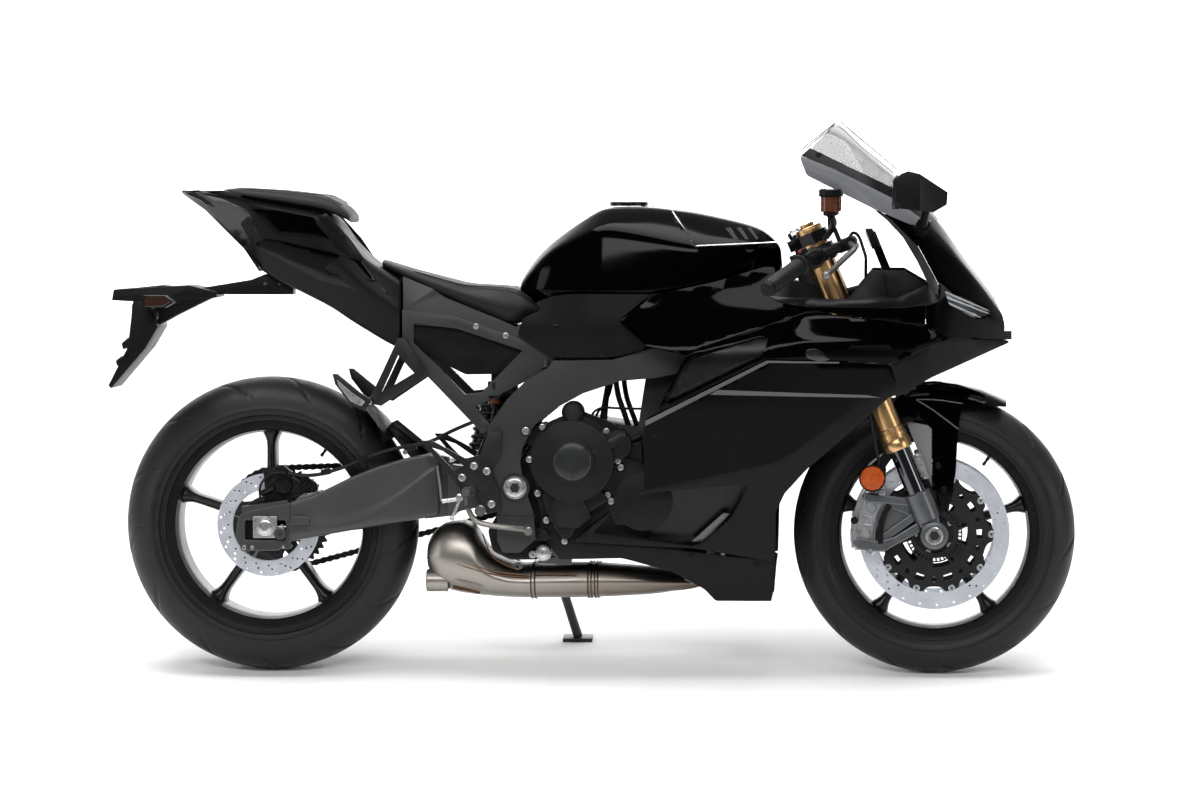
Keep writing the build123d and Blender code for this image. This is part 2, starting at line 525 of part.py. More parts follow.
# ------------------------------------------------------------ swingarm, rear axle and brake
RIGHT_ARM_PLAN = ((-765, -104, -136), (-600, -104, -136), (-487, -100, -130), (-360, -99, -128),
                  (-300, -60, -116))
RIGHT_ARM_SIDE = [(-745, 336), (-700, 352), (-639, 364), (-579, 383), (-505, 420), (-394, 459), (-340, 470),
                  (-300, 462), (-300, 336), (-394, 325), (-487, 309), (-579, 293), (-640, 282),
                  (-736, 262), (-752, 290)]
LEFT_ARM_PLAN = ((-765, 122, 150), (-600, 122, 150), (-430, 120, 146), (-345, 70, 112), (-300, 60, 88))
LEFT_ARM_SIDE = [(-745, 336), (-700, 352), (-600, 366), (-487, 396), (-430, 408), (-345, 416), (-300, 424),
                 (-300, 338), (-345, 326), (-430, 305), (-487, 295), (-640, 276), (-736, 262), (-752, 290)]
right_arm = plan_wall(RIGHT_ARM_PLAN, 200, 520) & slab(RIGHT_ARM_SIDE, -200, 0)
left_arm = plan_wall(LEFT_ARM_PLAN, 200, 520) & slab(LEFT_ARM_SIDE, 0, 200)
yoke = slab([(-357, 338), (-362, 380), (-346, 440), (-290, 452), (-288, 336)], -100, 84)
prongs = slab([(-300, 342), (-300, 448), (-150, 426), (-128, 400), (-150, 374)], -112, -64)
prongs += slab([(-300, 342), (-300, 440), (-150, 426), (-128, 400), (-150, 374)], 52, 84)
CHAIN_SLIDER = ((-400, -350), (100, 114), (404, 434))     # rubbing block under the chain's top run
swingarm = right_arm + left_arm + yoke + prongs + (block(*CHAIN_SLIDER) - chain)
swingarm -= rod((PIVOT_X, -160, PIVOT_Z), (PIVOT_X, 160, PIVOT_Z), PIVOT_RADIUS + 6)
SPOOL_RADIUS, SPOOL_BORE, SPOOL_DEPTH = 13.0, 4.0, 20.0
SPOOL_X, SPOOL_Z = -655.0, 300.0
ARM_FACES = ((-1, 136.0), (1, 150.0))    # which side, and how far out the arm's face is
SPOOL_STAND_OFF = 10.0
swingarm -= rear_place * disc_on_y(REAR_AXLE_RADIUS + BORE_FIT, -200, 200)
for side, face in ARM_FACES:
    spool_face = face + SPOOL_STAND_OFF
    swingarm += rod((SPOOL_X, side * (face - 4), SPOOL_Z), (SPOOL_X, side * spool_face, SPOOL_Z),
                    SPOOL_RADIUS)
    thread = rod((SPOOL_X, side * (spool_face - SPOOL_DEPTH), SPOOL_Z),
                 (SPOOL_X, side * (spool_face + 2), SPOOL_Z),
                 SPOOL_BORE)
    swingarm -= thread
save("swingarm", swingarm)

rear_axle_half = 150.0
rear_axle = disc_on_y(REAR_AXLE_RADIUS, -rear_axle_half + 4, rear_axle_half + 8)
for side, face in ARM_FACES:
    rear_axle += disc_on_y(20, side * (face + SEAT_FIT), side * (face + 8))
rear_axle += disc_on_y(19, -104 + SEAT_FIT, rear_hub_right - DISC_WALL - 1)
rear_axle += disc_on_y(19, rear_hub_left + SPROCKET_WALL + 1, 122 - SEAT_FIT)
rear_axle -= disc_on_y(REAR_AXLE_BORE, -200, 200)
rear_axle = rear_place * rear_axle

pivot_shaft = rod((PIVOT_X, -149, PIVOT_Z), (PIVOT_X, 149, PIVOT_Z), PIVOT_RADIUS)
pivot_shaft += rod((PIVOT_X, -121.7, PIVOT_Z), (PIVOT_X, -112.3, PIVOT_Z), PIVOT_RADIUS + 6)
pivot_shaft += rod((PIVOT_X, -112.3, PIVOT_Z), (PIVOT_X, 84, PIVOT_Z), PIVOT_RADIUS + 5.9)
pivot_shaft += rod((PIVOT_X, 84, PIVOT_Z), (PIVOT_X, 121.7, PIVOT_Z), PIVOT_RADIUS + 4)

save("chassis_shafts", rear_axle + pivot_shaft)

REAR_CALIPER_TURN, REAR_CALIPER_SPAN = 68.0, 26.0
rear_caliper_side = arc_block(REAR_CALIPER_TURN, REAR_CALIPER_SPAN, 76.0, 124.0, (1, 0, -1))
rear_caliper = slab(rear_caliper_side, -103, -62)
rear_caliper -= disc_on_y(REAR_DISC_RADIUS + 5, REAR_DISC_Y - disc_slot, REAR_DISC_Y + disc_slot)
rear_caliper += slab([(-24, -24), (-24, 20), (10, 100), (70, 92), (24, -10)], -103.4, -94)
rear_caliper -= disc_on_y(20, -200, 200)
save("rear_caliper", rear_place * rear_caliper)

# Shock absorber between the yoke and the frame's cross tube
SHOCK_LINE = ((-206, 0, 398), (-232, 0, 470), (-200, 0, 600), (-194, 0, 626))
shock = slab([(-286, 400), (-230, 420), (-196, 410), (-200, 380), (-286, 372)], -16, 16)
for start, end, radius in zip(SHOCK_LINE, SHOCK_LINE[1:], (17, 30, 20)):
    shock += rod(start, end, radius)
shock = shock - cross_top - yoke
save("shock_absorber", shock)
main_frame += block((-214, -160), (-26, 26), (592, 640)) - shock

# Rear inner fender over the front half of the tyre
HUGGER_RADIUS = REAR_AXLE_Z + 18
HUGGER_SIDE = [(-500, 590), (-480, 620), (-430, 600), (-400, 520), (-440, 490), (-452, 530)]
hugger_rows = []
for reach in (170, 205, 240, 275):
    hugger_rows.append((REAR_AXLE_X + reach, REAR_AXLE_Z + math.sqrt(HUGGER_RADIUS ** 2 - reach ** 2)))
hugger = body_of([(x, [(0, 480), (98, 480), (98, z - 22), (60, z - 4), (0, z)]) for x, z in hugger_rows])
hugger -= body_of([(x, [(0, 470), (94, 470), (94, z - 26), (58, z - 8), (0, z - 4)]) for x, z in hugger_rows])
hugger &= slab(HUGGER_SIDE, -120, 120)
hugger += slab([(-436, 522), (-424, 534), (-330, 458), (-356, 424)], -60, 60)
hugger -= yoke
save("rear_hugger", hugger)

# ------------------------------------------------------------ exhaust, radiator
MUFFLER = ((-350, 70, 226, 270), (-330, 92, 186, 308), (-300, 104, 172, 320), (-248, 106, 166, 318),
           (-227, 106, 164, 268), (-194, 104, 162, 238), (-122, 96, 159, 230), (10, 80, 160, 231),
           (131, 64, 166, 222), (196, 56, 176, 208), (233, 50, 184, 200))
muffler_rows = []
for x, half, low, high in MUFFLER:
    bevel = (high - low) * 0.3
    muffler_rows.append((x, [(half * 0.7, low), (half, low + bevel), (half, high - bevel),
                             (half * 0.7, high)]))
muffler = body_of(muffler_rows)
RADIATOR_X = (FRONT_AXLE_X - 403, FRONT_AXLE_X - 361)
HEADER_RADIUS = 19.0
header_x = (ENGINE_FRONT + RADIATOR_X[0]) / 2
for y in (-70, 0, 70):
    route = [(196, y, 470), (header_x, y, 470), (header_x, y, 250), (228, y * 0.5, 192), (180, y * 0.4, 192)]
    muffler += pipe(route, HEADER_RADIUS, 30)
muffler -= engine
OUTLET_LINE = ((-300, -60, 200), (-372, -64, 208))
outlet_bore = rod(along(*OUTLET_LINE, 0.28), along(*OUTLET_LINE, 1.1), 20)
muffler -= rod(along(*OUTLET_LINE, 0.28), along(*OUTLET_LINE, 1.1), 24)
muffler += rod(*OUTLET_LINE, 24) - outlet_bore
save("exhaust", muffler)

radiator = block(RADIATOR_X, (-150, 150), (330, 612))
radiator += both_sides(block((RADIATOR_X[0] + 8, RADIATOR_X[1] - 10), (-158, -150), (380, 590)))
radiator += both_sides(rod((200, -60, 560), (RADIATOR_X[0] + 1, -60, 580), 14)) - engine
save("radiator", radiator)

# ------------------------------------------------------------ tank and its covers
TANK = ((-152, (30, 806), (48, 816), (44, 828), (16, 833)), (-130, (60, 792), (86, 816), (76, 852),
                                                             (30, 872)),
        (-84, (70, 764), (112, 812), (100, 902), (42, 920)), (26, (92, 744), (158, 812), (132, 953),
                                                              (66, TANK_TOP)),
        (130, (98, 744), (170, 812), (152, 934), (66, TANK_TOP)), (227, (98, 760), (168, 822), (164, 913),
                                                                   (66, 984)),
        *from_axle([(-383, (84, 790), (118, 836), (128, 914), (60, 957)),
                    (-339, (50, 824), (64, 846), (70, 905), (44, 930)),
                    (-325, (36, 850), (48, 862), (52, 895), (34, 902))]))
tank_form = body_of([(x, rows) for x, *rows in TANK])
tank_form -= both_sides(spar)
COVER_NOSE = [(-343, 916), (-313, 880), (-303, 1020)]
cover_seam = [(174, 1020), (178, 985), (229, 914), *from_axle(COVER_NOSE)]
tank_seam = [(174 - SEAM, 1020), (178 - SEAM, 985), (229 - SEAM, 914 - SEAM),
             *[(x, z - SEAM) for x, z in from_axle(COVER_NOSE)]]
tank_front_cover = tank_form & slab(cover_seam, -200, 200)
tank = tank_form - slab(tank_seam, -200, 200)
POCKET_FLOOR = TANK_TOP - FUEL_CAP_WALL - 3
cap_pocket = upright_tube(FUEL_CAP_X, 0, POCKET_FLOOR, TANK_TOP + 30, FUEL_CAP_RADIUS + 8)
cap_pocket += block((FUEL_CAP_X + 20, FUEL_CAP_X + FUEL_CAP_RADIUS + 22), (-22, 22),
                    (POCKET_FLOOR, TANK_TOP + 30))
tank -= cap_pocket
HINGE_X, HINGE_Z = FUEL_CAP_X + FUEL_CAP_RADIUS + 10, TANK_TOP - 3
tank += both_sides(block((HINGE_X - 4, HINGE_X + 4), (-22, -12), (POCKET_FLOOR - 1, HINGE_Z + 3)))
tank -= rod((HINGE_X, -30, HINGE_Z), (HINGE_X, 30, HINGE_Z), 2 + BORE_FIT)
tank += both_sides(rod((HINGE_X, -22, HINGE_Z), (HINGE_X, -18, HINGE_Z), 2 + BORE_FIT + 0.2))
save("fuel_tank", tank)

cap = upright_tube(FUEL_CAP_X, 0, TANK_TOP - FUEL_CAP_WALL - 1, TANK_TOP, FUEL_CAP_RADIUS)
cap += block((FUEL_CAP_X + 30, HINGE_X), (-9, 9), (TANK_TOP - 6, TANK_TOP))
cap += rod((HINGE_X, -16, HINGE_Z), (HINGE_X, 16, HINGE_Z), 2)
cap += rod((HINGE_X, -9, HINGE_Z), (HINGE_X, 9, HINGE_Z), 3)
save("fuel_cap", cap)

# ------------------------------------------------------------ fairing sides
# Stations x, then the wall from bottom to top as (half width, z)
FAIRING = [(-60, (128, 150), (158, 262), (186, 420), (206, 560), (212, 690), (176, 780), (168, 830)),
           (130, (118, 150), (152, 262), (190, 420), (222, 560), (236, 690), (192, 770), (180, 830)),
           (290, (106, 150), (142, 262), (186, 420), (230, 560), (246, 690), (206, 780), (160, 840)),
           *from_axle([(-333, (103, 150), (139, 262), (185, 420), (227, 560), (246, 695), (208, 772),
                        (124, 880)),
                       (-273, (100, 150), (136, 262), (184, 420), (224, 560), (246, 700), (228, 790),
                        (214, 860)),
                       (-133, (96, 150), (130, 262), (180, 420), (206, 580), (226, 690), (222, 790),
                        (208, 860)),
                       (-7, (90, 150), (120, 262), (150, 480), (178, 610), (192, 690), (196, 790),
                        (190, 860)),
                       (59, (60, 150), (90, 262), (110, 480), (124, 610), (132, 690), (152, 790), (150, 860)),
                       (108, (40, 150), (50, 262), (60, 480), (68, 610), (76, 690), (92, 790), (90, 860)),
                       (159, (14, 150), (14, 262), (16, 480), (18, 610), (22, 690), (24, 790), (24, 860))])]
FAIRING_SIDE = [(128, 703), (69, 754), (145, 811), (270, 838),
                *from_axle([(-359, 870), (-337, 870), (-323, 803), (-191, 799), (-78, 802), (-15, 832),
                            (-21, 742),
                            (40, 719), (150, 712), (67, 676), (-7, 637), (-93, 598), (-196, 506), (-269, 443),
                            (-315, 392), (-334, 352), (-336, 246)]),
                (155, 275), (-31, 287), (36, 340), (114, 403), (126, 431), (122, 523), (129, 551), (156, 581),
                (211, 685)]
FAIRING_VENT = [(100, 397), (246, 400), *from_axle([(-386, 404), (-416, 368)]), (258, 288), (228, 287),
                (10, 306),
                (50, 350)]
BELLY_SIDE = [(155, 274), *from_axle([(-336, 245), (-339, 224), (-344, 158)]), (270, 157), (247, 183),
              (180, 221), (80, 249), (-31, 266), (-31, 286)]
fairing_skin = side_skin([(x, rows) for x, *rows in FAIRING], SKIN)
fairing = fairing_skin & slab(FAIRING_SIDE, -300, 0)
fairing -= slab(FAIRING_VENT, -300, 0)
save("fairing_right", fairing)
save("fairing_left", mirror(fairing, about=Plane.XZ))
belly = both_sides(fairing_skin & slab(BELLY_SIDE, -300, 0))
belly += block((272, FRONT_AXLE_X - 345), (-104, 104), (157.5, 161.5))
save("belly_pan", belly)

# Matt covers between tank, seat and frame
COVER_SIDE = [(-113, 792), (-34, 810), (134, 810), (66, 752), (126, 704), (120, 690), (53, 676), (-70, 674),
              (-100, 690), (-152, 722), (-140, 760), (-96, 775)]
COVER_ROWS = ((-170, (108, 640), (126, 740), (112, 830)), (-100, (130, 640), (140, 740), (118, 830)),
              (0, (160, 640), (168, 740), (160, 830)), (150, (170, 640), (178, 740), (170, 830)))
cover_skin = side_skin([(x, rows) for x, *rows in COVER_ROWS], 4)
side_cover = cover_skin & slab(COVER_SIDE, -300, 0)
side_cover -= tank_form
save("tank_covers", (both_sides(side_cover) - both_sides(fairing)) + tank_front_cover)

# ------------------------------------------------------------ nose, screen and cockpit
# One form for nose and screen. Station x, then (half width, z): lower edge, rim, band bottom,
# band top, shoulder, ridge
NOSE = from_axle([
    (-293, (140, 1000), (140, 1030), (140, 1058), (141, 1092), (84, 1168), (0, 1192)),
    (-201, (162, 900), (164, 980), (162, 1020), (158, 1064), (92, 1150), (0, 1179)),
    (-133, (176, 800), (186, 930), (176, 990), (166, 1032), (96, 1096), (0, 1118)),
    (-68, (196, 790), (194, 900), (170, 962), (150, 992), (86, 1044), (0, 1060)),
    (-27, (196, 760), (198, 850), (156, 940), (140, 962), (78, 1000), (0, 1010)),
    (12, (180, 722), (188, 835), (144, 912), (120, 936), (66, 960), (0, 968)),
    (59, (134, 712), (156, 800), (132, 872), (110, 880), (60, 890), (0, 895)),
    (108, (80, 706), (106, 765), (94, 812), (78, 820), (44, 830), (0, 835)),
    (147, (34, 705), (46, 735), (40, 755), (34, 760), (20, 768), (0, 773)),
    (164, (10, 704), (14, 726), (12, 738), (10, 742), (6, 746), (0, 749))])
COWL_SIDE = from_axle([(-131, 991), (-101, 966), (-68, 931), (-38, 881), (-14.6, 832), (-20.6, 742.2),
                       (40, 719.4), (150, 712.4), (167, 712), (167, 790), (13, 968), (-49, 956)])
SCREEN_SIDE = from_axle([(-271, 1061), (-286, 1100), (-266, 1118), (-200, 1190), (27, 1000), (13, 968.4),
                         (-49, 956.4), (-131, 991.4)])
SCREEN_WALL = 3.0


def nose_form(wall=0.0, drop=0.0):
    """The solid nose, drawn in by a wall and let down by a drop at its underside."""
    stations = []
    for x, *rows in NOSE:
        floor = rows[0][1] - drop
        chain = [(max(y - wall, 0.2), z - wall * 0.6) for y, z in rows[1:-1]]
        stations.append((x, [(0, floor), (max(rows[0][0] - wall, 0.2), floor), *chain,
                             (0, rows[-1][1] - wall)]))
    return body_of(stations)


def nose_shell(wall):
    """The nose form with an even wall, open below and behind."""
    return nose_form() - nose_form(wall, 60)


cowl_shell = nose_shell(SKIN)
upper_cowl = cowl_shell & slab(COWL_SIDE, -300, 300)
INTAKE_HALF = 40.0
upper_cowl -= block((FRONT_AXLE_X + 87, FRONT_AXLE_X + 187), (-INTAKE_HALF, INTAKE_HALF), (728, 796))
upper_cowl -= both_sides(fairing)
save("upper_cowl", upper_cowl)
screen = nose_shell(SCREEN_WALL) & slab(SCREEN_SIDE, -300, 300)
save("windscreen", screen)

LAMP_Z, LAMP_RADIUS = 762.0, 31.0
lamp_back, lamp_step, lamp_front = FRONT_AXLE_X - 7, FRONT_AXLE_X + 53, FRONT_AXLE_X + 109
lamp = rod((lamp_step, 0, LAMP_Z), (lamp_front, 0, LAMP_Z), LAMP_RADIUS)
lamp += block((lamp_back, lamp_step), (-44, 44), (LAMP_Z - 32, LAMP_Z + 38))
lamp += block((lamp_back, lamp_back + 14), (-150, 150), (LAMP_Z - 10, LAMP_Z + 10))
lamp = lamp - cowl_shell - both_sides(fairing)
save("headlamp", lamp)

# Cockpit: inner panels down both sides, and the instrument on a stay from the head tube
inner_panel = slab(from_axle([(-185, 800), (-133, 862), (-65, 862), (-17, 834), (-17, 800)]), -186, -182)
inner_panel += block((FRONT_AXLE_X - 306, FRONT_AXLE_X - 50), (-200, -157), (790, 800))
instrument = slab(from_axle([(-133, 905), (-161, 985), (-151, 990), (-117, 910)]), -84, 84)
stay_root, stay_knee, stay_top, stay_lamp = from_axle([(-228, 0, 800), (-93, 0, 836), (-135, 0, 940),
                                                       (-1, 0, LAMP_Z)])
dash_stay = rod(stay_root, stay_knee, 10) + rod(stay_knee, stay_top, 9) + rod(stay_knee, stay_lamp, 9)
cockpit = both_sides(inner_panel - cowl_shell) + instrument + (dash_stay - head)
save("cockpit", cockpit - lamp - both_sides(fairing))

MIRROR_SIDE = from_axle([(-85, 1046), (-73, 1064), (-57, 1070), (-33, 1064), (25, 1026), (23, 1000),
                         (-5, 984),
                         (-73, 992)])
MIRROR_PLAN = from_axle([(-93, -236, -352), (-33, -232, -350), (31, -262, -300)])
right_mirror = slab(MIRROR_SIDE, -352, -230) & plan_wall(MIRROR_PLAN, 900, 1100)
right_mirror += rod(*from_axle([(-27, -186, 948), (-17, -262, 1000)]), 9)
right_mirror += rod(*from_axle([(-33, -150, 944), (-25, -204, 958)]), 15)
save("mirrors", both_sides(right_mirror - nose_form()))

# ------------------------------------------------------------ seats and tail
SEAT = ((-447, (44, 862), (60, 872), (46, 882)), (-375, (80, 830), (92, 848), (66, 859)),
        (-266, (108, 786), (132, 808), (96, 830)), (-190, (112, 756), (136, 786), (100, 826)),
        (-155, (104, 740), (128, 772), (92, 822)), (-122, (88, 758), (108, 778), (84, 800)),
        (-99, (78, 762), (96, 768), (80, 776)))
seat = body_of(closed(SEAT))
seat_room = body_of(closed([(x, *[(y + SEAT_FIT, z - SEAT_FIT) for y, z in rows[:-1]],
                             (rows[-1][0] + SEAT_FIT, rows[-1][1] + SEAT_FIT)) for x, *rows in SEAT]))
seat -= tank_form + both_sides(side_cover)
save("rider_seat", seat)

PILLION = ((-786, (56, 1026), (70, 1029), (50, 1032)), (-752, (86, 1015), (98, 1024), (74, 1036)),
           (-660, (100, 1000), (112, 1012), (86, 1031)), (-566, (104, 984), (116, 998), (88, 1021)),
           (-526, (98, 972), (110, 984), (84, 1000)), (-507, (88, 958), (98, 966), (80, 976)))
pillion = body_of(closed(PILLION))
TAIL = ((-881, (8, 1022), (16, 1026), (8, 1030)), (-827, (36, 986), (50, 1006), (48, 1027)),
        (-742, (46, 903), (82, 956), (100, 1013)), (-710, (52, 856), (96, 920), (108, 1007)),
        (-622, (64, 813), (112, 900), (118, 992)), (-552, (76, 779), (116, 880), (118, 979)),
        (-519, (84, 756), (118, 860), (112, 928)), (-476, (90, 730), (120, 820), (108, 884)),
        (-425, (98, 700), (122, 790), (104, 852)), (-398, (100, 690), (120, 770), (100, 836)))
tail = body_of(closed(TAIL))
pillion_room = body_of([(x, [(0, rows[0][1] - SEAT_FIT), *[(y + SEAT_FIT, z - SEAT_FIT) for y, z in rows],
                             (0, rows[-1][1] + 30)]) for x, *rows in PILLION])
tail -= slab([(-830, 1040), (-786, 1030), (-507, 966), (-500, 1040)], -300, 300) & pillion_room
pillion -= tail
save("pillion_seat", pillion)

# Subframe: two triangles of bar, from the pivot plates up under the tail
SUBFRAME_SIDE = [(-74, 655), (-74, 692), (-281, 762), (-396, 776), (-396, 690), (-224, 512), (-209, 532),
                 (-240, 570)]
SUBFRAME_WINDOW = [(-140, 690), (-278, 736), (-372, 748), (-372, 706), (-262, 596), (-228, 600)]
SUBFRAME_Y = (98.0, 118.0)
rails = slab(SUBFRAME_SIDE, -SUBFRAME_Y[0], -SUBFRAME_Y[1]) - slab(SUBFRAME_WINDOW, -200, 0)
subframe = both_sides(rails)
for x, z in ((-281, 748), (-384, 740)):
    subframe += rod((x, -SUBFRAME_Y[0] - 2, z), (x, SUBFRAME_Y[0] + 2, z), 12)
TRAY_SIDE = [(-396, 846), (-396, 708), (-339, 673), (-268, 650), (-112, 650), (-96, 674), (-104, 764), (-122, 764),
             (-155, 748), (-190, 764), (-266, 794)]
subframe += slab(TRAY_SIDE, -SUBFRAME_Y[0], SUBFRAME_Y[0])
subframe -= seat_room + seat
subframe -= tank_form + both_sides(side_cover)
subframe += both_sides(rod((-220, -SUBFRAME_Y[1] + 1, 528), (-220, -122, 528), 12))
subframe += both_sides(rod((-90, -SUBFRAME_Y[1] + 1, 668), (-90, -126, 652), 8))
subframe -= both_sides(spar)
save("subframe", subframe)

tail -= subframe
tail -= seat_room
LAMP_SIDE = [(-900, 1012), (-812, 936), (-760, 876), (-722, 840), (-704, 862), (-730, 905), (-782, 968),
             (-866, 1032), (-886, 1036)]
tail_lamp = tail & slab(LAMP_SIDE, -200, 200)
tail -= slab(LAMP_SIDE, -200, 200)
save("tail_lamp", tail_lamp)
save("tail_cowl", tail)

# Plate holder and rear indicators on a stalk below the tail
stalk = slab([(-640, 806), (-640, 845), (-700, 850), (-729, 838), (-851, 818), (-922, 826), (-1022, 816),
              (-1026, 793),
              (-970, 790), (-960, 752), (-930, 740), (-890, 762), (-800, 806)], -28, 28)
hood = slab([(-1026, 794), (-1022, 817), (-860, 826), (-800, 812), (-800, 800), (-950, 790)], -62, 62)
holder = slab([(-978, 792), (-952, 792), (-925, 738), (-952, 692), (-1026, 606), (-1032, 612), (-990, 694)],
              -76, 76)
indicator = rod((-915, -60, 796), (-920, -100, 792), 9)
indicator += slab([(-950, 780), (-945, 806), (-900, 806), (-880, 792), (-900, 780)], -150, -98)
plate_bracket = stalk + hood + holder + both_sides(indicator)
plate_bracket -= tail
plate_bracket -= slab([(-640, 700), (-640, 900), (-600, 900), (-600, 700)], -30, 30)
save("plate_bracket", plate_bracket)

# ------------------------------------------------------------ footrests, stand
# Rider's bracket, peg and pedal on each side, carried outside the pivot plates
HANGER_FROM, HANGER_TO = 150.0, 160.0
HANGER_SIDE = [(-353, 500), (-329, 500), (-258, 462), (-228, 470), (-208, 520), (-182, 520), (-184, 470),
               (-206, 440), (-186, 392), (-184, 352), (-212, 344), (-236, 376), (-262, 388), (-290, 425)]
hanger = slab(HANGER_SIDE, -HANGER_FROM, -HANGER_TO)
hanger -= slab([(-330, 486), (-306, 478), (-262, 448), (-282, 436)], -200, -100)
PIVOT_PLATE_FACE = 146.1
for x, z in ((-196, 505), (-200, 372)):
    hanger += rod((x, -PIVOT_PLATE_FACE, z), (x, -HANGER_FROM - 1, z), 9)
peg = rod((-246, -HANGER_TO + 1, 392), (-250, -250, 396), 10)
peg += rod((-246, -HANGER_FROM - 2, 392), (-246, -170, 392), 15)
pedal = pipe([(-226, -166, 352), (-180, -170, 338), (-124, -182, 312), (-108, -200, 306)], 6, 20)
pedal += rod((-226, -158, 352), (-226, -172, 352), 11) + rod((-112, -184, 308), (-108, -216, 304), 9)
rearset = hanger + peg + pedal

# Pillion peg hangers, each with its peg folded up against it
PILLION_HANGER_SIDE = [(-404, 716), (-390, 716), (-340, 640), (-440, 572), (-470, 578), (-447, 624)]
PILLION_HANGER_WINDOW = [(-404, 680), (-428, 626), (-440, 600), (-370, 642)]
PILLION_PEG_SIDE = [(-540, 641), (-534, 619), (-500, 575), (-470, 562), (-458, 586), (-483, 603), (-530, 641)]
pillion_rest = slab(PILLION_HANGER_SIDE, -SUBFRAME_Y[1] - 0.1, -128) - slab(PILLION_HANGER_WINDOW, -200, 0)
pillion_rest += slab(PILLION_PEG_SIDE, -166, -152) + rod((-462, -120, 582), (-470, -156, 578), 9)
save("footrests", both_sides(rearset) + (both_sides(pillion_rest) - subframe - tail))

# Side stand: leg, foot plate and pivot barrel. Places along the pivot pin are measured from the leg's middle
stand_foot_z = STAND_FOOT[1] * math.tan(math.radians(LEAN)) - PARK_LIFT / math.cos(math.radians(LEAN))
stand_pivot = Vector(*STAND_PIVOT)
foot_place = Vector(*STAND_FOOT, stand_foot_z)
deployed = foot_place + Vector(0, 0, 8) - stand_pivot
folded = Vector(-0.985, 0.06, 0.10)
STAND_AXIS = deployed.normalized().cross(folded.normalized()).normalized()
STAND_FOLD = deployed.get_angle(folded)
TAB_FACE, TAB_WALL = 16.0, 8.0           # from the leg's middle to the tab, and the tab's thickness
PIN_RADIUS, BARREL_END = 6.0, 13.0


def on_pin(start, end, radius):
    """A bar round the stand's pivot pin."""
    return rod(tuple(stand_pivot + STAND_AXIS * start), tuple(stand_pivot + STAND_AXIS * end), radius)


stand = rod(STAND_PIVOT, tuple(stand_pivot + deployed), STAND_LEG_RADIUS)
stand += on_pin(-TAB_FACE + RUN_FIT, BARREL_END, 17)
stand += Pos(*foot_place) * Rot(LEAN, 0, 0) * Pos(0, 0, 4) * Box(64, 40, 8)
stand -= on_pin(-TAB_FACE - 5, BARREL_END + 5, PIN_RADIUS + RUN_FIT / 2)
save("side_stand", stand)

tab_middle = stand_pivot - STAND_AXIS * (TAB_FACE + TAB_WALL / 2 + 4)
main_frame += rod(tuple(tab_middle), (-150, 134, 275), 10)
main_frame -= on_pin(-TAB_FACE, BARREL_END + 8, 24)
main_frame += on_pin(-TAB_FACE - TAB_WALL, -TAB_FACE, 18)
main_frame += on_pin(-TAB_FACE - TAB_WALL, BARREL_END + 4, PIN_RADIUS)
main_frame -= covers + engine
save("main_frame", main_frame)
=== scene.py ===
import math

import bmesh
import bpy
from mathutils import Matrix, Vector, geometry
from mathutils.bvhtree import BVHTree


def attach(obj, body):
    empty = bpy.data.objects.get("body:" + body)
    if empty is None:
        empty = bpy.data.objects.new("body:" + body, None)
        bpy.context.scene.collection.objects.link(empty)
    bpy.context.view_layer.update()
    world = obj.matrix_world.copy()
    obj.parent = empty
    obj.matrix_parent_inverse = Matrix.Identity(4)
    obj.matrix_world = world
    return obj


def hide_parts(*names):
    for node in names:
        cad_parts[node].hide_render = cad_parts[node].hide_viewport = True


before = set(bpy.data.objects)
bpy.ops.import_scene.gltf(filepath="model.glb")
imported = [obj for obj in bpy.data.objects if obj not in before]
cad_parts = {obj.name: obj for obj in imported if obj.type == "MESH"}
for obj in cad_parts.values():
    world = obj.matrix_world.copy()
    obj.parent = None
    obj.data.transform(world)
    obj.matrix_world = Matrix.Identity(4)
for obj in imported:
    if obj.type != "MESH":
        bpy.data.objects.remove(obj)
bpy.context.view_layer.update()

# ---------------------------------------------------------------- studio
# The bike stands leaning 10 degrees on its side stand on a seamless pale sweep. Every piece is drawn
# upright in millimetres (x forward, y to the rider's left, z up, ground at 0); PARK leans it over.
LEAN = math.radians(10.0)
PARK = Matrix.Translation((0, -0.1595, 0.00115)) @ Matrix.Rotation(-LEAN, 4, "X")
MILLIMETRES = Matrix.Scale(0.001, 4)
CAMERA_FROM, CAMERA_TO = (663.9, -10917.2, 1047.2), (17.8, 0.0, 594.2)
CAMERA_LENS, CAMERA_REACH = 153.2, 100


def linear(colour):
    """An sRGB hex colour as linear RGBA."""
    channels = [int(colour[place:place + 2], 16) / 255 for place in (1, 3, 5)]
    return [c / 12.92 if c <= 0.04045 else ((c + 0.055) / 1.055) ** 2.4 for c in channels] + [1.0]


def node(tree, kind, values={}, links={}, **settings):
    """Adds one node with its settings, socket values and incoming links."""
    made = tree.nodes.new(kind)
    for name, value in settings.items():
        setattr(made, name, value)
    for name, value in values.items():
        made.inputs[name].default_value = value
    for name, source in links.items():
        tree.links.new(source, made.inputs[name])
    return made


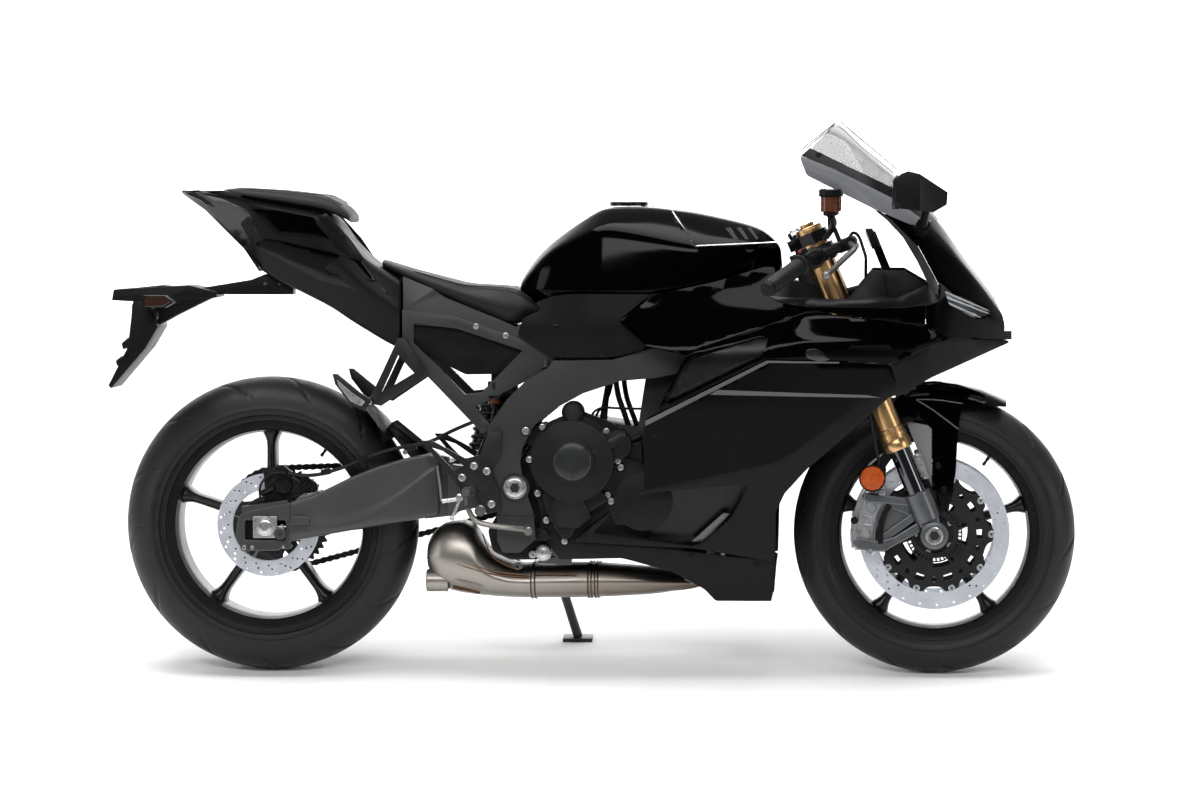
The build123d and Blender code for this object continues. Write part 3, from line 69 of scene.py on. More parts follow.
def finish(name, colour, roughness, grain_mm, depth_mm, metallic=0.0, coat=0.0, spread=0.12, ior=1.5,
           patch_mm=60):
    """A real finish: mottled in tone and gloss over patches, with a surface grain of a real size."""
    material = bpy.data.materials.new(name)
    material.use_nodes = True
    tree = material.node_tree
    shader = tree.nodes["Principled BSDF"]
    shader.inputs["Metallic"].default_value = metallic
    shader.inputs["Coat Weight"].default_value = coat
    shader.inputs["Coat Roughness"].default_value = 0.04
    if not metallic:
        shader.inputs["IOR"].default_value = ior
    place = node(tree, "ShaderNodeTexCoord")
    patches = node(tree, "ShaderNodeTexNoise", {"Scale": 1000 / patch_mm, "Detail": 5.0},
                   {"Vector": place.outputs["Object"]})
    rough = node(tree, "ShaderNodeMapRange",
                 {"From Min": 0.3, "From Max": 0.7, "To Min": roughness * (1 - spread),
                  "To Max": roughness * (1 + spread)}, {"Value": patches.outputs["Fac"]})
    tree.links.new(rough.outputs["Result"], shader.inputs["Roughness"])
    tone = node(tree, "ShaderNodeMixRGB",
                {"Color1": [c * (1 - spread) for c in linear(colour)[:3]] + [1],
                 "Color2": [min(1, c * (1 + spread)) for c in linear(colour)[:3]] + [1]},
                {"Fac": patches.outputs["Fac"]})
    tree.links.new(tone.outputs["Color"], shader.inputs["Base Color"])
    grain = node(tree, "ShaderNodeTexNoise", {"Scale": 1000 / grain_mm, "Detail": 3.0},
                 {"Vector": place.outputs["Object"]})
    bump = node(tree, "ShaderNodeBump", {"Strength": 1.0, "Distance": depth_mm / 1000},
                {"Height": grain.outputs["Fac"]})
    tree.links.new(bump.outputs["Normal"], shader.inputs["Normal"])
    return material


def fit(piece, body, slot, material, *nodes):
    """Leans a piece drawn upright into place, joins it to its body and gives it its finish."""
    turn = piece.matrix_basis.copy()
    turn.translation = turn.translation * 0.001
    piece.data.transform(MILLIMETRES)
    piece.matrix_world = PARK @ turn
    piece.data.materials.clear()
    piece.data.materials.append(material)
    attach(piece, body)
    if nodes:
        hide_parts(*nodes)
    return piece


def link(name, data):
    """A new object in the scene."""
    piece = bpy.data.objects.new(name, data)
    bpy.context.scene.collection.objects.link(piece)
    return piece


def facing(direction, axis="Z", up="Y"):
    """The turn that points an axis in a direction."""
    return Vector(direction).to_track_quat(axis, up).to_matrix().to_4x4()


def placed(at, degrees, axis):
    """A place and a turn about one axis."""
    return Matrix.Translation(at) @ Matrix.Rotation(math.radians(degrees), 4, axis)


camera = link("camera", bpy.data.cameras.new("camera"))
camera.data.lens, camera.data.clip_end = CAMERA_LENS, CAMERA_REACH
aim = facing(Vector(CAMERA_TO) - Vector(CAMERA_FROM), "-Z")
camera.matrix_world = PARK @ Matrix.Translation(Vector(CAMERA_FROM) * 0.001) @ aim
bpy.context.scene.camera = camera

# The sweep is matt white paper: a flat floor that curves up behind. Sizes in metres.
FLOOR_FRONT, FLOOR_BACK, FLOOR_HALF = -14.0, 12.0, 18.0
SWEEP_RADIUS, SWEEP_HEIGHT, SWEEP_STEPS = 3.0, 11.0, 12
profile = [(FLOOR_FRONT, 0.0), (FLOOR_BACK, 0.0)]
for step in range(1, SWEEP_STEPS + 1):
    turn = math.radians(step * 90 / SWEEP_STEPS)
    profile.append((FLOOR_BACK + SWEEP_RADIUS * math.sin(turn), SWEEP_RADIUS * (1 - math.cos(turn))))
profile.append((FLOOR_BACK + SWEEP_RADIUS, SWEEP_HEIGHT))
sweep = link("paper_sweep", bpy.data.meshes.new("paper_sweep"))
sweep.data.from_pydata([(x, y, z) for y, z in profile for x in (-FLOOR_HALF, FLOOR_HALF)], [],
                       [(2 * i, 2 * i + 1, 2 * i + 3, 2 * i + 2) for i in range(len(profile) - 1)])
sweep.data.shade_smooth()
sweep.data.materials.append(finish("matt_white_paper", "#FAFAFA", 0.9, 1.5, 0.02, spread=0.01, patch_mm=900))

# A wide softbox overhead, a long strip high at the camera's side, dim fills at both ends, and a
# bank that lights the paper behind, in metres and watts. The room behind the camera is dark.
LIGHTS = (("overhead", (0, 0.3, 5.2), (0, 0, 0.3), (6.0, 3.4), 400),
          ("front_strip", (-0.6, -5.2, 4.4), (0, 0, 0.6), (5.5, 1.1), 190),
          ("nose_fill", (5.0, -2.6, 1.8), (0.3, 0, 0.6), (1.4, 2.2), 50),
          ("tail_fill", (-5.0, -2.2, 1.6), (-0.3, 0, 0.6), (1.4, 2.2), 40),
          ("paper_bank", (0, 5.2, 5.6), (0, 14.0, 0.9), (15.0, 2.0), 2700))
for name, at, towards, size, watts in LIGHTS:
    lamp = link(name, bpy.data.lights.new(name, "AREA"))
    lamp.data.shape, lamp.data.size, lamp.data.size_y, lamp.data.energy = "RECTANGLE", size[0], size[1], watts
    lamp.matrix_world = Matrix.Translation(at) @ facing(Vector(towards) - Vector(at), "-Z")
world = bpy.data.worlds.new("studio")
world.use_nodes = True
room = world.node_tree
look = node(room, "ShaderNodeTexCoord")
parts = node(room, "ShaderNodeSeparateXYZ", links={0: look.outputs["Generated"]})
depth = node(room, "ShaderNodeMapRange", {"From Min": -0.25, "From Max": 0.7, "To Min": 0.1, "To Max": 0.75},
             {"Value": parts.outputs["Y"]})
room.links.new(depth.outputs["Result"], room.nodes["Background"].inputs["Strength"])
room.nodes["Background"].inputs["Color"].default_value = linear("#FFFFFF")
bpy.context.scene.world = world
bpy.context.scene.view_settings.view_transform = "Standard"

# ---------------------------------------------------------------- tyres
# Two radial road tyres of moulded black rubber: a round tread cut with long slanting grooves, a plain
# sidewall with a shoulder line and bead ribs, seated on the rims.
REAR_AXLE, FRONT_AXLE = Vector((-687, 0, 315)), Vector((733, 0, 300))
RUBBER = finish("moulded_tyre_rubber", "#151516", 0.46, 1.6, 0.05, spread=0.14, ior=1.33, patch_mm=35)


def shade(mesh, degrees=35):
    """Smooth shading, broken at edges sharper than an angle."""
    mesh.shade_smooth()
    mesh.set_sharp_from_angle(angle=math.radians(degrees))
    return mesh


def lathe(name, profile, steps, closed=True, lift=None):
    """Turns (radius, y) points about the y axis; lift(turn, row) raises single points of the skin."""
    mesh = bpy.data.meshes.new(name)
    points, faces, rows = [], [], len(profile)
    for step in range(steps):
        turn = 2 * math.pi * step / steps
        for row, (radius, y) in enumerate(profile):
            r = radius + (lift(turn, row) if lift else 0)
            points.append((r * math.cos(turn), y, r * math.sin(turn)))
    for step in range(steps):
        near, far = step * rows, (step + 1) % steps * rows
        for row in range(rows if closed else rows - 1):
            after = (row + 1) % rows
            faces.append((near + row, near + after, far + after, far + row))
    mesh.from_pydata(points, [], faces)
    return link(name, shade(mesh))


def tyre(name, radius, half, crown, bead_half, repeats):
    """Tread arc, shoulder, sidewall with its raised line, bead. The long grooves are 3 mm deep."""
    bead, flange, half_rows, around = 213.3, 223.3, 22, 560
    widest = math.asin((half - 3) / crown)
    outer = []
    for step in range(-half_rows, half_rows + 1):
        lean = widest * step / half_rows
        outer.append((radius - crown + crown * math.cos(lean) - 0.2, crown * math.sin(lean)))
    shoulder = outer[-1][0]
    side = [(shoulder - 4, half - 1.2), (shoulder - 9, half - 0.8), (shoulder - 10, half - 2.4),
            (shoulder - 12, half - 2.6), (shoulder - 20, half - 4.5), (flange + 11, bead_half + 10),
            (flange + 9, bead_half + 8.2), (flange + 6, bead_half + 8.4), (flange + 4, bead_half + 6.2),
            (flange + 0.4, bead_half + 5.6), (flange + 0.4, bead_half), (bead, bead_half - 0.4)]
    profile = [(r, -y) for r, y in reversed(side)] + outer + side
    first = len(side)

    def cut(turn, row):
        """Long grooves that sweep back from near the crown to the shoulder, mirrored left to right."""
        across = (row - first - half_rows) / half_rows
        reach = abs(across)
        if 0.12 < reach < 0.86:
            phase = (turn * repeats / (2 * math.pi) + reach ** 1.4 * 0.62 + (0.5 if across < 0 else 0)) % 1
            width = 0.035 if reach < 0.7 else 0.022
            return -3.0 if abs(phase - 0.5) < width else 0
        if 0.86 <= reach < 0.99:
            phase = (turn * repeats * 2 / (2 * math.pi) + 0.3) % 1
            return -1.2 if abs(phase - 0.5) < 0.02 else 0
        return 0
    return lathe(name, profile, around, True, cut)


# Radius, half width, crown radius, half width at the bead, and the number of grooves round the tread
for name, axle, size, body in (("front_tyre_carcass", FRONT_AXLE, (300, 60, 61, 43, 14), "front_wheel"),
                               ("rear_tyre_carcass", REAR_AXLE, (315, 90, 94, 68, 13), "rear_wheel")):
    carcass = tyre(name, *size)
    carcass.location = axle
    fit(carcass, body, "tyre_rubber", RUBBER, body.replace("wheel", "tyre"))

# ---------------------------------------------------------------- rims
# Cast aluminium wheels in satin black: a barrel with rolled flanges, a machined hub and five slim
# spokes that spread into the barrel. A short valve stands on each barrel.
WHEEL_PAINT = finish("satin_black_wheel_paint", "#0A0A0B", 0.3, 0.7, 0.012, coat=0.04, spread=0.12, ior=1.34)


def ring_faces(rings, count, closed=True):
    """The quads between rings of points, with a cap at both ends where the rings are closed."""
    span = count if closed else count - 1
    faces = [(r * count + i, r * count + (i + 1) % count, (r + 1) * count + (i + 1) % count,
              (r + 1) * count + i) for r in range(rings - 1) for i in range(span)]
    return faces + ([tuple(range(count)), tuple(range((rings - 1) * count, rings * count))] if closed else [])


def spoke(inner, outer, hub_half, rim_half, thick):
    """One spoke along +x: a rounded box that thins to its middle and flares at both ends."""
    rings, mesh = [], bpy.data.meshes.new("spoke")
    corners = [(1, 0.35), (0.75, 0.85), (0, 1), (-0.75, 0.85), (-1, 0.35), (-1, -0.35), (-0.75, -0.85),
               (0, -1), (0.75, -0.85), (1, -0.35)]
    steps, flare = 16, 0.22
    for step in range(steps + 1):
        share = step / steps
        flare_in, flare_out = max(0, 1 - share / flare) ** 2, max(0, (share - 0.78) / flare) ** 2
        around = thick * (1 + 0.15 * (1 - share)) + 12 * flare_in + 17 * flare_out
        across = hub_half + (rim_half - hub_half) * share - 6 * math.sin(share * math.pi) + 5 * flare_out
        x = inner + (outer - inner) * share
        rings.append([(x, across * a, around * b) for a, b in corners])
    mesh.from_pydata([point for ring in rings for point in ring], [], ring_faces(len(rings), len(corners)))
    return soften(link("spoke", mesh), 1)


def soften(piece, levels):
    """Applies a subdivision surface."""
    modifier = piece.modifiers.new("soften", "SUBSURF")
    modifier.levels = modifier.render_levels = levels
    return settle(piece)


def shown(piece):
    """The mesh that an object shows, modifiers and curve sweeps included."""
    bpy.context.view_layer.update()
    return bpy.data.meshes.new_from_object(piece.evaluated_get(bpy.context.evaluated_depsgraph_get()))


def settle(piece):
    """Applies every modifier and shades the result smooth between its real edges."""
    mesh = shown(piece)
    piece.modifiers.clear()
    piece.data = shade(mesh)
    return piece


def join(name, pieces):
    """Several loose pieces as one object."""
    shape = bmesh.new()
    for piece in pieces:
        piece.data.transform(piece.matrix_basis)
        shape.from_mesh(piece.data)
        bpy.data.objects.remove(piece)
    mesh = bpy.data.meshes.new(name)
    shape.to_mesh(mesh)
    shape.free()
    return link(name, shade(mesh))


def bolt(at, towards, head, height):
    """A cap screw: bevelled round head with a hex socket, its foot at a point, facing a direction."""
    mesh = bpy.data.meshes.new("bolt")
    rim = [(head * 1.25, 0), (head * 1.25, 1.0), (head, 1.2), (head, height - 0.8), (head * 0.86, height),
           (head * 0.5, height), (head * 0.46, height - head * 0.4)]
    points, faces, sides, socket_row = [], [], 24, 5
    for step in range(sides):
        turn = 2 * math.pi * step / sides
        for row, (radius, z) in enumerate(rim):
            if row >= socket_row:
                radius = radius / max(abs(math.cos((turn % (math.pi / 3)) - math.pi / 6)), 0.5) * 0.9
            points.append((radius * math.cos(turn), radius * math.sin(turn), z))
    rows = len(rim)
    for step in range(sides):
        near, far = step * rows, (step + 1) % sides * rows
        faces += [(near + row, far + row, far + row + 1, near + row + 1) for row in range(rows - 1)]
    faces.append(tuple(step * rows + rows - 1 for step in range(sides)))
    mesh.from_pydata(points, [], faces)
    piece = link("bolt", shade(mesh, 30))
    piece.matrix_basis = Matrix.Translation(at) @ facing(towards)
    return piece


def side_bolt(at, head, height):
    """A cap screw that faces outward on the side of the bike where it stands."""
    return bolt(at, (0, math.copysign(1, at[1]), 0), head, height)


def rim(name, bead_half, hub_profile, spoke_size):
    """A barrel, a hub and five spokes; the first one points straight down."""
    edge = bead_half + 5
    barrel = [(222.8, -edge + 0.3), (223, -edge + 1.5), (223, -bead_half - 0.5), (220, -bead_half),
              (213, -bead_half + 1), (212.8, -bead_half + 8), (208, -bead_half + 20), (208, bead_half - 20),
              (212.8, bead_half - 8), (213, bead_half - 1), (220, bead_half), (223, bead_half + 0.5),
              (223, edge - 1.5), (222.8, edge - 0.3), (219, edge), (206, edge - 1), (202.5, edge - 4),
              (201, edge - 13), (198.5, edge - 24), (197.4, edge - 34), (197.4, 34 - edge),
              (198.5, 24 - edge), (201, 13 - edge), (202.5, 4 - edge), (206, 1 - edge), (219, -edge)]
    parts = [lathe("barrel", barrel, 180), lathe("hub", hub_profile, 72)]
    for number in range(5):
        arm = spoke(*spoke_size)
        arm.matrix_basis = Matrix.Rotation(math.radians(-90 + 72 * number), 4, "Y")
        parts.append(arm)
    valve = lathe("valve", [(0.2, 0), (4, 0), (4, 8), (3, 9), (3, 15), (3.6, 16), (3.6, 22), (0.2, 23)], 16,
                  False)
    valve.matrix_basis = Matrix.Rotation(math.radians(-54), 4, "Y") @ placed((199, 0, 0), 90, "Z")
    return join(name, parts + [valve])


front_hub = [(12.9, -63.4), (26, -63.4), (28, -62), (33, -58), (37.5, -46), (38, -30), (36, -10), (36, 10),
             (38, 30), (37.5, 46), (33, 58), (28, 62), (26, 63.4), (12.9, 63.4)]
rear_hub = [(14.4, -82.4), (30, -82.4), (34, -80), (44, -66), (47.5, -50), (47.5, -20), (45, 0), (47.5, 30),
            (48, 60), (48, 98), (44, 102.3), (14.4, 102.3)]
# Half width at the bead, hub, and each spoke's inner and outer radius, half widths and thickness
for name, axle, size, body in (
        ("front_rim_cast", FRONT_AXLE, (43, front_hub, (32, 203, 34, 24, 10.5)), "front_wheel"),
        ("rear_rim_cast", REAR_AXLE, (68, rear_hub, (42, 203, 50, 44, 11.5)), "rear_wheel")):
    cast = rim(name, *size)
    cast.location = axle
    fit(cast, body, "wheel_paint", WHEEL_PAINT, body.replace("wheel", "rim"))

# ---------------------------------------------------------------- brake discs
# Rotors ground from stainless plate, drilled in rows of small holes. The front pair float on black
# carriers by ten bobbins each; the rear one is a ground ring on a black web bolted to the hub.
FRONT_DISC_Y, REAR_DISC_Y, DISC_THICK, DRILLING = 66, -85, 4.6, 2.4


def ground_steel(name, colour, roughness, ring_mm):
    """Turned steel: fine rings about the local y axis stretch the highlights round the disc."""
    material = finish(name, colour, roughness, 0.5, 0.002, metallic=1.0, spread=0.06, patch_mm=20)
    tree = material.node_tree
    place = node(tree, "ShaderNodeTexCoord")
    split = node(tree, "ShaderNodeSeparateXYZ", links={0: place.outputs["Object"]})
    flat = node(tree, "ShaderNodeCombineXYZ", {}, {"X": split.outputs["X"], "Y": split.outputs["Z"]})
    far = node(tree, "ShaderNodeVectorMath", links={0: flat.outputs["Vector"]}, operation="LENGTH")
    rings = node(tree, "ShaderNodeTexNoise", {"Scale": 1000 / ring_mm, "Detail": 2.0},
                 {"W": far.outputs["Value"]}, noise_dimensions="1D")
    bump = node(tree, "ShaderNodeBump", {"Strength": 0.5, "Distance": 0.00003},
                {"Height": rings.outputs["Fac"]})
    tree.links.new(bump.outputs["Normal"], tree.nodes["Principled BSDF"].inputs["Normal"])
    return material


def plate(name, outline, holes, thick, bevel=0.4, lie=0.0):
    """A flat plate cut from sheet: outline and holes are closed (x, z) loops; its middle lies at y = lie."""
    drawing = bpy.data.curves.new(name, "CURVE")
    drawing.dimensions, drawing.fill_mode = "2D", "BOTH"
    drawing.extrude, drawing.bevel_depth, drawing.bevel_resolution = thick / 2 - bevel, bevel, 1
    drawing.offset = -bevel
    for loop in [outline, *holes]:
        line = drawing.splines.new("POLY")
        line.points.add(len(loop) - 1)
        for point, (x, z) in zip(line.points, loop):
            point.co = (x, z, 0, 1)
        line.use_cyclic_u = True
    drawn = link(name, drawing)
    mesh = shown(drawn)
    bpy.data.objects.remove(drawn)
    mesh.transform(Matrix.Rotation(math.radians(90), 4, "X"))
    piece = link(name, shade(mesh, 25))
    piece.location.y = lie
    return piece


def ring(radius, steps=24, at=(0, 0)):
    """A round (x, z) loop."""
    return [(at[0] + radius * math.cos(2 * math.pi * i / steps),
             at[1] + radius * math.sin(2 * math.pi * i / steps)) for i in range(steps)]


def polar(radius, degrees):
    """A point at a radius and an angle."""
    return radius * math.cos(math.radians(degrees)), radius * math.sin(math.radians(degrees))


def about_axle(radius, degrees, y):
    """A place at a radius and an angle from an axle."""
    x, z = polar(radius, degrees)
    return (x, y, z)


def drillings(radii, rows):
    """Small holes in slanting rows round a rotor."""
    return [ring(DRILLING, 10, polar(radius, number * 360 / rows + step * 4.6))
            for number in range(rows) for step, radius in enumerate(radii)]


def arc_slot(inner, outer, start, end, steps=8):
    """The outline of a slot bent round an axle, between two radii and two angles."""
    turns = [start + (end - start) * i / steps for i in range(steps + 1)]
    return [polar(outer, t) for t in turns] + [polar(inner, t) for t in reversed(turns)]


ROTOR = ground_steel("ground_stainless_rotor", "#E2E6EE", 0.36, 0.8)
CARRIER = finish("black_anodised_carrier", "#202022", 0.42, 0.5, 0.01, metallic=0.6, spread=0.15)
BOBBIN = finish("plated_bobbin", "#C9CBCE", 0.3, 0.4, 0.004, metallic=1.0, spread=0.1)

front_rotors, carriers, bobbins = [], [], []
for side in (-1, 1):
    disc_y = FRONT_DISC_Y * side
    rotor_holes = [ring(126, 96)] + drillings((133, 142, 151), 26)
    front_rotors.append(plate("rotor", ring(160, 120), rotor_holes, DISC_THICK, 0.4, disc_y))
    web, lightening = [], []
    for number in range(10):
        web += [polar(radius, number * 36 + turn) for turn, radius in ((-18, 112), (-13, 113), (-10, 116),
                                                                       (-7, 124), (-4, 125.5), (4, 125.5),
                                                                       (7, 124), (10, 116), (13, 113))]
        lightening.append(arc_slot(90, 103, number * 36 - 6, number * 36 + 6, 4))
        lightening.append(ring(5.5, 14, polar(97, number * 36 + 18)))
    for number in range(5):
        lightening.append(arc_slot(52, 72, number * 72 - 20, number * 72 + 20))
    lightening.append(ring(21, 40))
    carriers.append(plate("carrier", web, lightening, 4.2, 0.5, disc_y))
    for number in range(10):
        pin = lathe("pin", [(2.2, -3.6), (6.4, -3.6), (7.2, -3), (7.2, 3), (6.4, 3.6), (2.2, 3.6)], 24)
        pin.location = about_axle(121, number * 36, disc_y)
        bobbins.append(pin)
        if number % 2:
            bobbins.append(side_bolt(about_axle(42, number * 36, disc_y + 2.2 * side), 5.5, 4))
for name, parts, slot, *look in (("front_rotors", front_rotors, "disc_steel", ROTOR, "front_discs"),
                                 ("front_disc_carriers", carriers, "wheel_paint", CARRIER),
                                 ("front_disc_bobbins", bobbins, "axle_steel", BOBBIN)):
    whole = join(name, parts)
    whole.location = FRONT_AXLE
    fit(whole, "front_wheel", slot, *look)

spider = []
for number in range(5):
    for turn, radius in ((-36, 60), (-20, 62), (-9, 70), (-5, 79), (5, 79), (9, 70), (20, 62)):
        spider.append(polar(radius, number * 72 + turn))
rear_holes = [ring(76, 60)] + drillings((87, 95, 103), 20)
rear_rotor = plate("rear_rotor", ring(110, 100), rear_holes, DISC_THICK, 0.4, REAR_DISC_Y)
rear_rotor.location += REAR_AXLE
fit(rear_rotor, "rear_wheel", "disc_steel", ROTOR, "rear_disc")
web_holes = [ring(23, 40)] + [ring(6, 14, polar(46, 72 * n + 36)) for n in range(5)]
rear_web = plate("rear_disc_web", spider, web_holes, 4.4, 0.5, REAR_DISC_Y)
web_screws = [side_bolt(about_axle(62, 72 * n, REAR_DISC_Y - 2), 6, 3.5) for n in range(5)]
rear_web = join("rear_disc_web", [rear_web] + web_screws)
rear_web.location = REAR_AXLE
fit(rear_web, "rear_wheel", "wheel_paint", CARRIER)

# ---------------------------------------------------------------- rear sprocket
# A 44-tooth sprocket laser-cut from steel plate and plated dark, for a chain of 15.875 mm pitch. Five
# wide slots lighten it, and five nuts hold it to the hub.
TEETH, TOOTH_PITCH, CHAIN_Y = 44, 15.875, 106.0
SPROCKET = finish("plated_sprocket_steel", "#4A4A4C", 0.42, 0.4, 0.006, metallic=1.0, spread=0.15)


def sprocket(teeth, thick, holes):
    """A toothed plate for a chain of the wheel's pitch."""
    radius = TOOTH_PITCH / 2 / math.sin(math.pi / teeth)
    edge = []
    for number in range(teeth):
        for share, height in ((-0.5, -4.4), (-0.36, -3.2), (-0.22, 0.6), (-0.1, 3.6), (0.1, 3.6), (0.22, 0.6),
                              (0.36, -3.2)):
            edge.append(polar(radius + height, 360 * (number + share) / teeth))
    return plate("sprocket", edge, holes, thick, 0.8)


cutouts = [arc_slot(62, 96, 72 * n - 22, 72 * n + 22) for n in range(5)] + [ring(22.5, 40)]
wheel_sprocket = sprocket(TEETH, 6.6, cutouts)
nuts = [side_bolt(about_axle(46, 72 * n + 36, CHAIN_Y + 3.2), 7, 5) for n in range(5)]
wheel_sprocket.location.y = CHAIN_Y
wheel_sprocket = join("rear_sprocket_plate", [wheel_sprocket] + nuts)
wheel_sprocket.location = REAR_AXLE
fit(wheel_sprocket, "rear_wheel", "sprocket_steel", SPROCKET, "rear_sprocket")

# ---------------------------------------------------------------- fuel tank
# A pressed steel tank in deep gloss black, its flanks folded along one long crease, with a moulded
# cover over its nose, slotted for the air box.
GLOSS = finish("gloss_black_lacquer", "#010102", 0.07, 0.45, 0.0016, spread=0.25, ior=1.165, patch_mm=90)
MATT = finish("matt_black_moulding", "#080809", 0.42, 0.55, 0.02, spread=0.14, ior=1.24, patch_mm=40)
SLOT_GREY = finish("grey_slot_plastic", "#3B3B3D", 0.42, 0.5, 0.012, spread=0.14, patch_mm=30)
SCREW = finish("black_zinc_screw", "#19191B", 0.36, 0.3, 0.004, metallic=0.8, spread=0.2, patch_mm=9)
FRONT_AXLE_X = FRONT_AXLE.x


def from_axle(rows):
    """Rows whose first number is measured forward from the front axle."""
    return [(FRONT_AXLE_X + row[0], *row[1:]) for row in rows]


def between(one, other, share):
    """A number or a point part of the way from one to another."""
    if isinstance(one, (int, float)):
        return one + (other - one) * share
    return tuple(between(a, b, share) for a, b in zip(one, other))


def apart(one, other):
    """The distance between two points."""
    return math.sqrt(sum((a - b) ** 2 for a, b in zip(one, other)))


def tighten(items, gap, size, looped=False):
    """Trades every corner of a chain for two points close to it, so that a smooth skin keeps it crisp."""
    result, last = [], len(items) - 1
    for number, item in enumerate(items):
        if not looped and number in (0, last):
            result.append(item)
            if last:
                near = items[1] if number == 0 else items[-2]
                extra = between(item, near, min(0.3, gap * 0.5 / size(item, near)))
                result.insert(len(result) - (1 if number else 0), extra)
            continue
        for near in (items[number - 1], items[(number + 1) % len(items)]):
            result.append(between(item, near, min(0.36, gap / max(size(item, near), 0.01))))
    return result


def solid(name, points, faces, weld_mm=0.0):
    """A mesh from points and faces, welded where asked, its faces turned outward."""
    mesh, shape = bpy.data.meshes.new(name), bmesh.new()
    mesh.from_pydata(points, [], faces)
    shape.from_mesh(mesh)
    if weld_mm:
        bmesh.ops.remove_doubles(shape, verts=shape.verts, dist=weld_mm)
    bmesh.ops.recalc_face_normals(shape, faces=shape.faces)
    shape.to_mesh(mesh)
    shape.free()
    return link(name, mesh)


def hull(name, stations, gap=16, corner=10, levels=2, shell=0):
    """A form through stations (x, (half width, z) from bottom to top), mirrored; a shell is open below."""
    dense = tighten([(x, *rows) for x, *rows in stations], gap, lambda a, b: abs(a[0] - b[0]))
    rings = []
    for x, *rows in dense:
        right = [(-y, z) for y, z in rows]
        left = [(y, z) for y, z in reversed(rows) if y > 0.01]
        ring = tighten(right + left, corner, apart, not shell)
        rings.append([(x, y, z) for y, z in ring])
    points = [point for ring in rings for point in ring]
    piece = solid(name, points, ring_faces(len(rings), len(rings[0]), not shell), 0.01)
    soften(piece, levels)
    if shell:
        up = max(piece.data.polygons, key=lambda face: face.center.z)
        if up.normal.z < 0:
            piece.data.flip_normals()
        modifier = piece.modifiers.new("wall", "SOLIDIFY")
        modifier.thickness, modifier.offset = shell, -1
        settle(piece)
    return piece


def prism(outline, low, high):
    """A straight block with an (x, z) outline between two y places."""
    count = len(outline)
    points = [(x, y, z) for y in (low, high) for x, z in outline]
    sides = [(i, (i + 1) % count, (i + 1) % count + count, i + count) for i in range(count)]
    return solid("prism", points, sides + [tuple(reversed(range(count))), tuple(range(count, 2 * count))])


def carve(piece, tool, operation="DIFFERENCE"):
    """Cuts a piece with another, which goes."""
    modifier = piece.modifiers.new("cut", "BOOLEAN")
    modifier.operation, modifier.solver, modifier.object = operation, "EXACT", tool
    settle(piece)
    bpy.data.objects.remove(tool)
    return piece


def cutter(outline):
    """A block with an (x, z) outline that reaches through the whole bike."""
    return prism(outline, -260, 260)


def again(piece):
    """A second copy of a piece."""
    copy = link(piece.name, piece.data.copy())
    copy.matrix_basis = piece.matrix_basis.copy()
    return copy


def ease(piece, width, angle=50, segments=2):
    """Rounds the real edges of a piece by a small radius."""
    modifier = piece.modifiers.new("ease", "BEVEL")
    modifier.width, modifier.segments, modifier.limit_method = width, segments, "ANGLE"
    modifier.angle_limit, modifier.harden_normals = math.radians(angle), False
    modifier.use_clamp_overlap = True
    return settle(piece)


TANK = ((-152, (30, 806), (48, 816), (44, 828), (16, 833)),
        (-130, (60, 792), (86, 816), (76, 852), (30, 872)),
        (-84, (70, 764), (112, 812), (100, 902), (42, 920)),
        (26, (92, 744), (158, 812), (132, 953), (66, 996)),
        (130, (98, 744), (170, 812), (152, 934), (66, 996)),
        (227, (98, 760), (168, 822), (164, 913), (66, 984)),
        *from_axle([(-383, (84, 790), (118, 836), (128, 914), (60, 957)),
                    (-339, (50, 824), (64, 846), (70, 905), (44, 930)),
                    (-325, (36, 850), (48, 862), (52, 895), (34, 902))]))
tank_form = hull("tank_form", TANK, 14, 7, 2)
COVER_SEAM = [(173.5, 1020), (177.5, 985), (228.5, 914), (400, 921), (430, 886), (440, 1020)]
nose_cover = carve(again(tank_form), prism(COVER_SEAM, -200, 200), "INTERSECT")
GRILLE_Y, GRILLE_SUNK, GRILLE_LEAN = 133, 4, 0.1
grilles = []
for x_low, x_high in ((292, 305), (316, 327), (339, 348)):
    for side in (-1, 1):
        slot = prism([(x_low, 953), (x_high, 953), (x_high + 17, 925), (x_low + 20, 925)], -6, 6)
        insert = prism([(x_low + 1, 951), (x_high - 1, 951), (x_high + 15, 927), (x_low + 20, 927)], -1.5,
                       1.5)
        lean = Matrix.Rotation(side * GRILLE_LEAN, 4, "Z")
        slot.matrix_basis = Matrix.Translation((0, side * GRILLE_Y, 0)) @ lean
        insert.matrix_basis = Matrix.Translation((0, side * (GRILLE_Y - GRILLE_SUNK), 0)) @ lean
        carve(nose_cover, slot)
        grilles.append(insert)
fit(ease(nose_cover, 1.6), "chassis", "gloss_black", GLOSS)
fit(join("tank_cover_grilles", grilles), "chassis", "matt_plastic", SLOT_GREY)
tank = carve(tank_form,
             prism([(172, 1022), (176, 984), (227, 912), (400, 919), (460, 880), (460, 1022)], -220, 220))
FUEL_CAP_X, FUEL_CAP_RADIUS, TANK_TOP = 80, 42, 996
pocket = lathe("pocket", [(0.1, -12), (FUEL_CAP_RADIUS + 6, -12), (FUEL_CAP_RADIUS + 6, 40), (0.1, 40)], 64)
pocket.matrix_basis = placed((FUEL_CAP_X, 0, TANK_TOP), 90, "X")
fit(ease(carve(tank, pocket), 1.6), "chassis", "gloss_black", GLOSS, "fuel_tank")

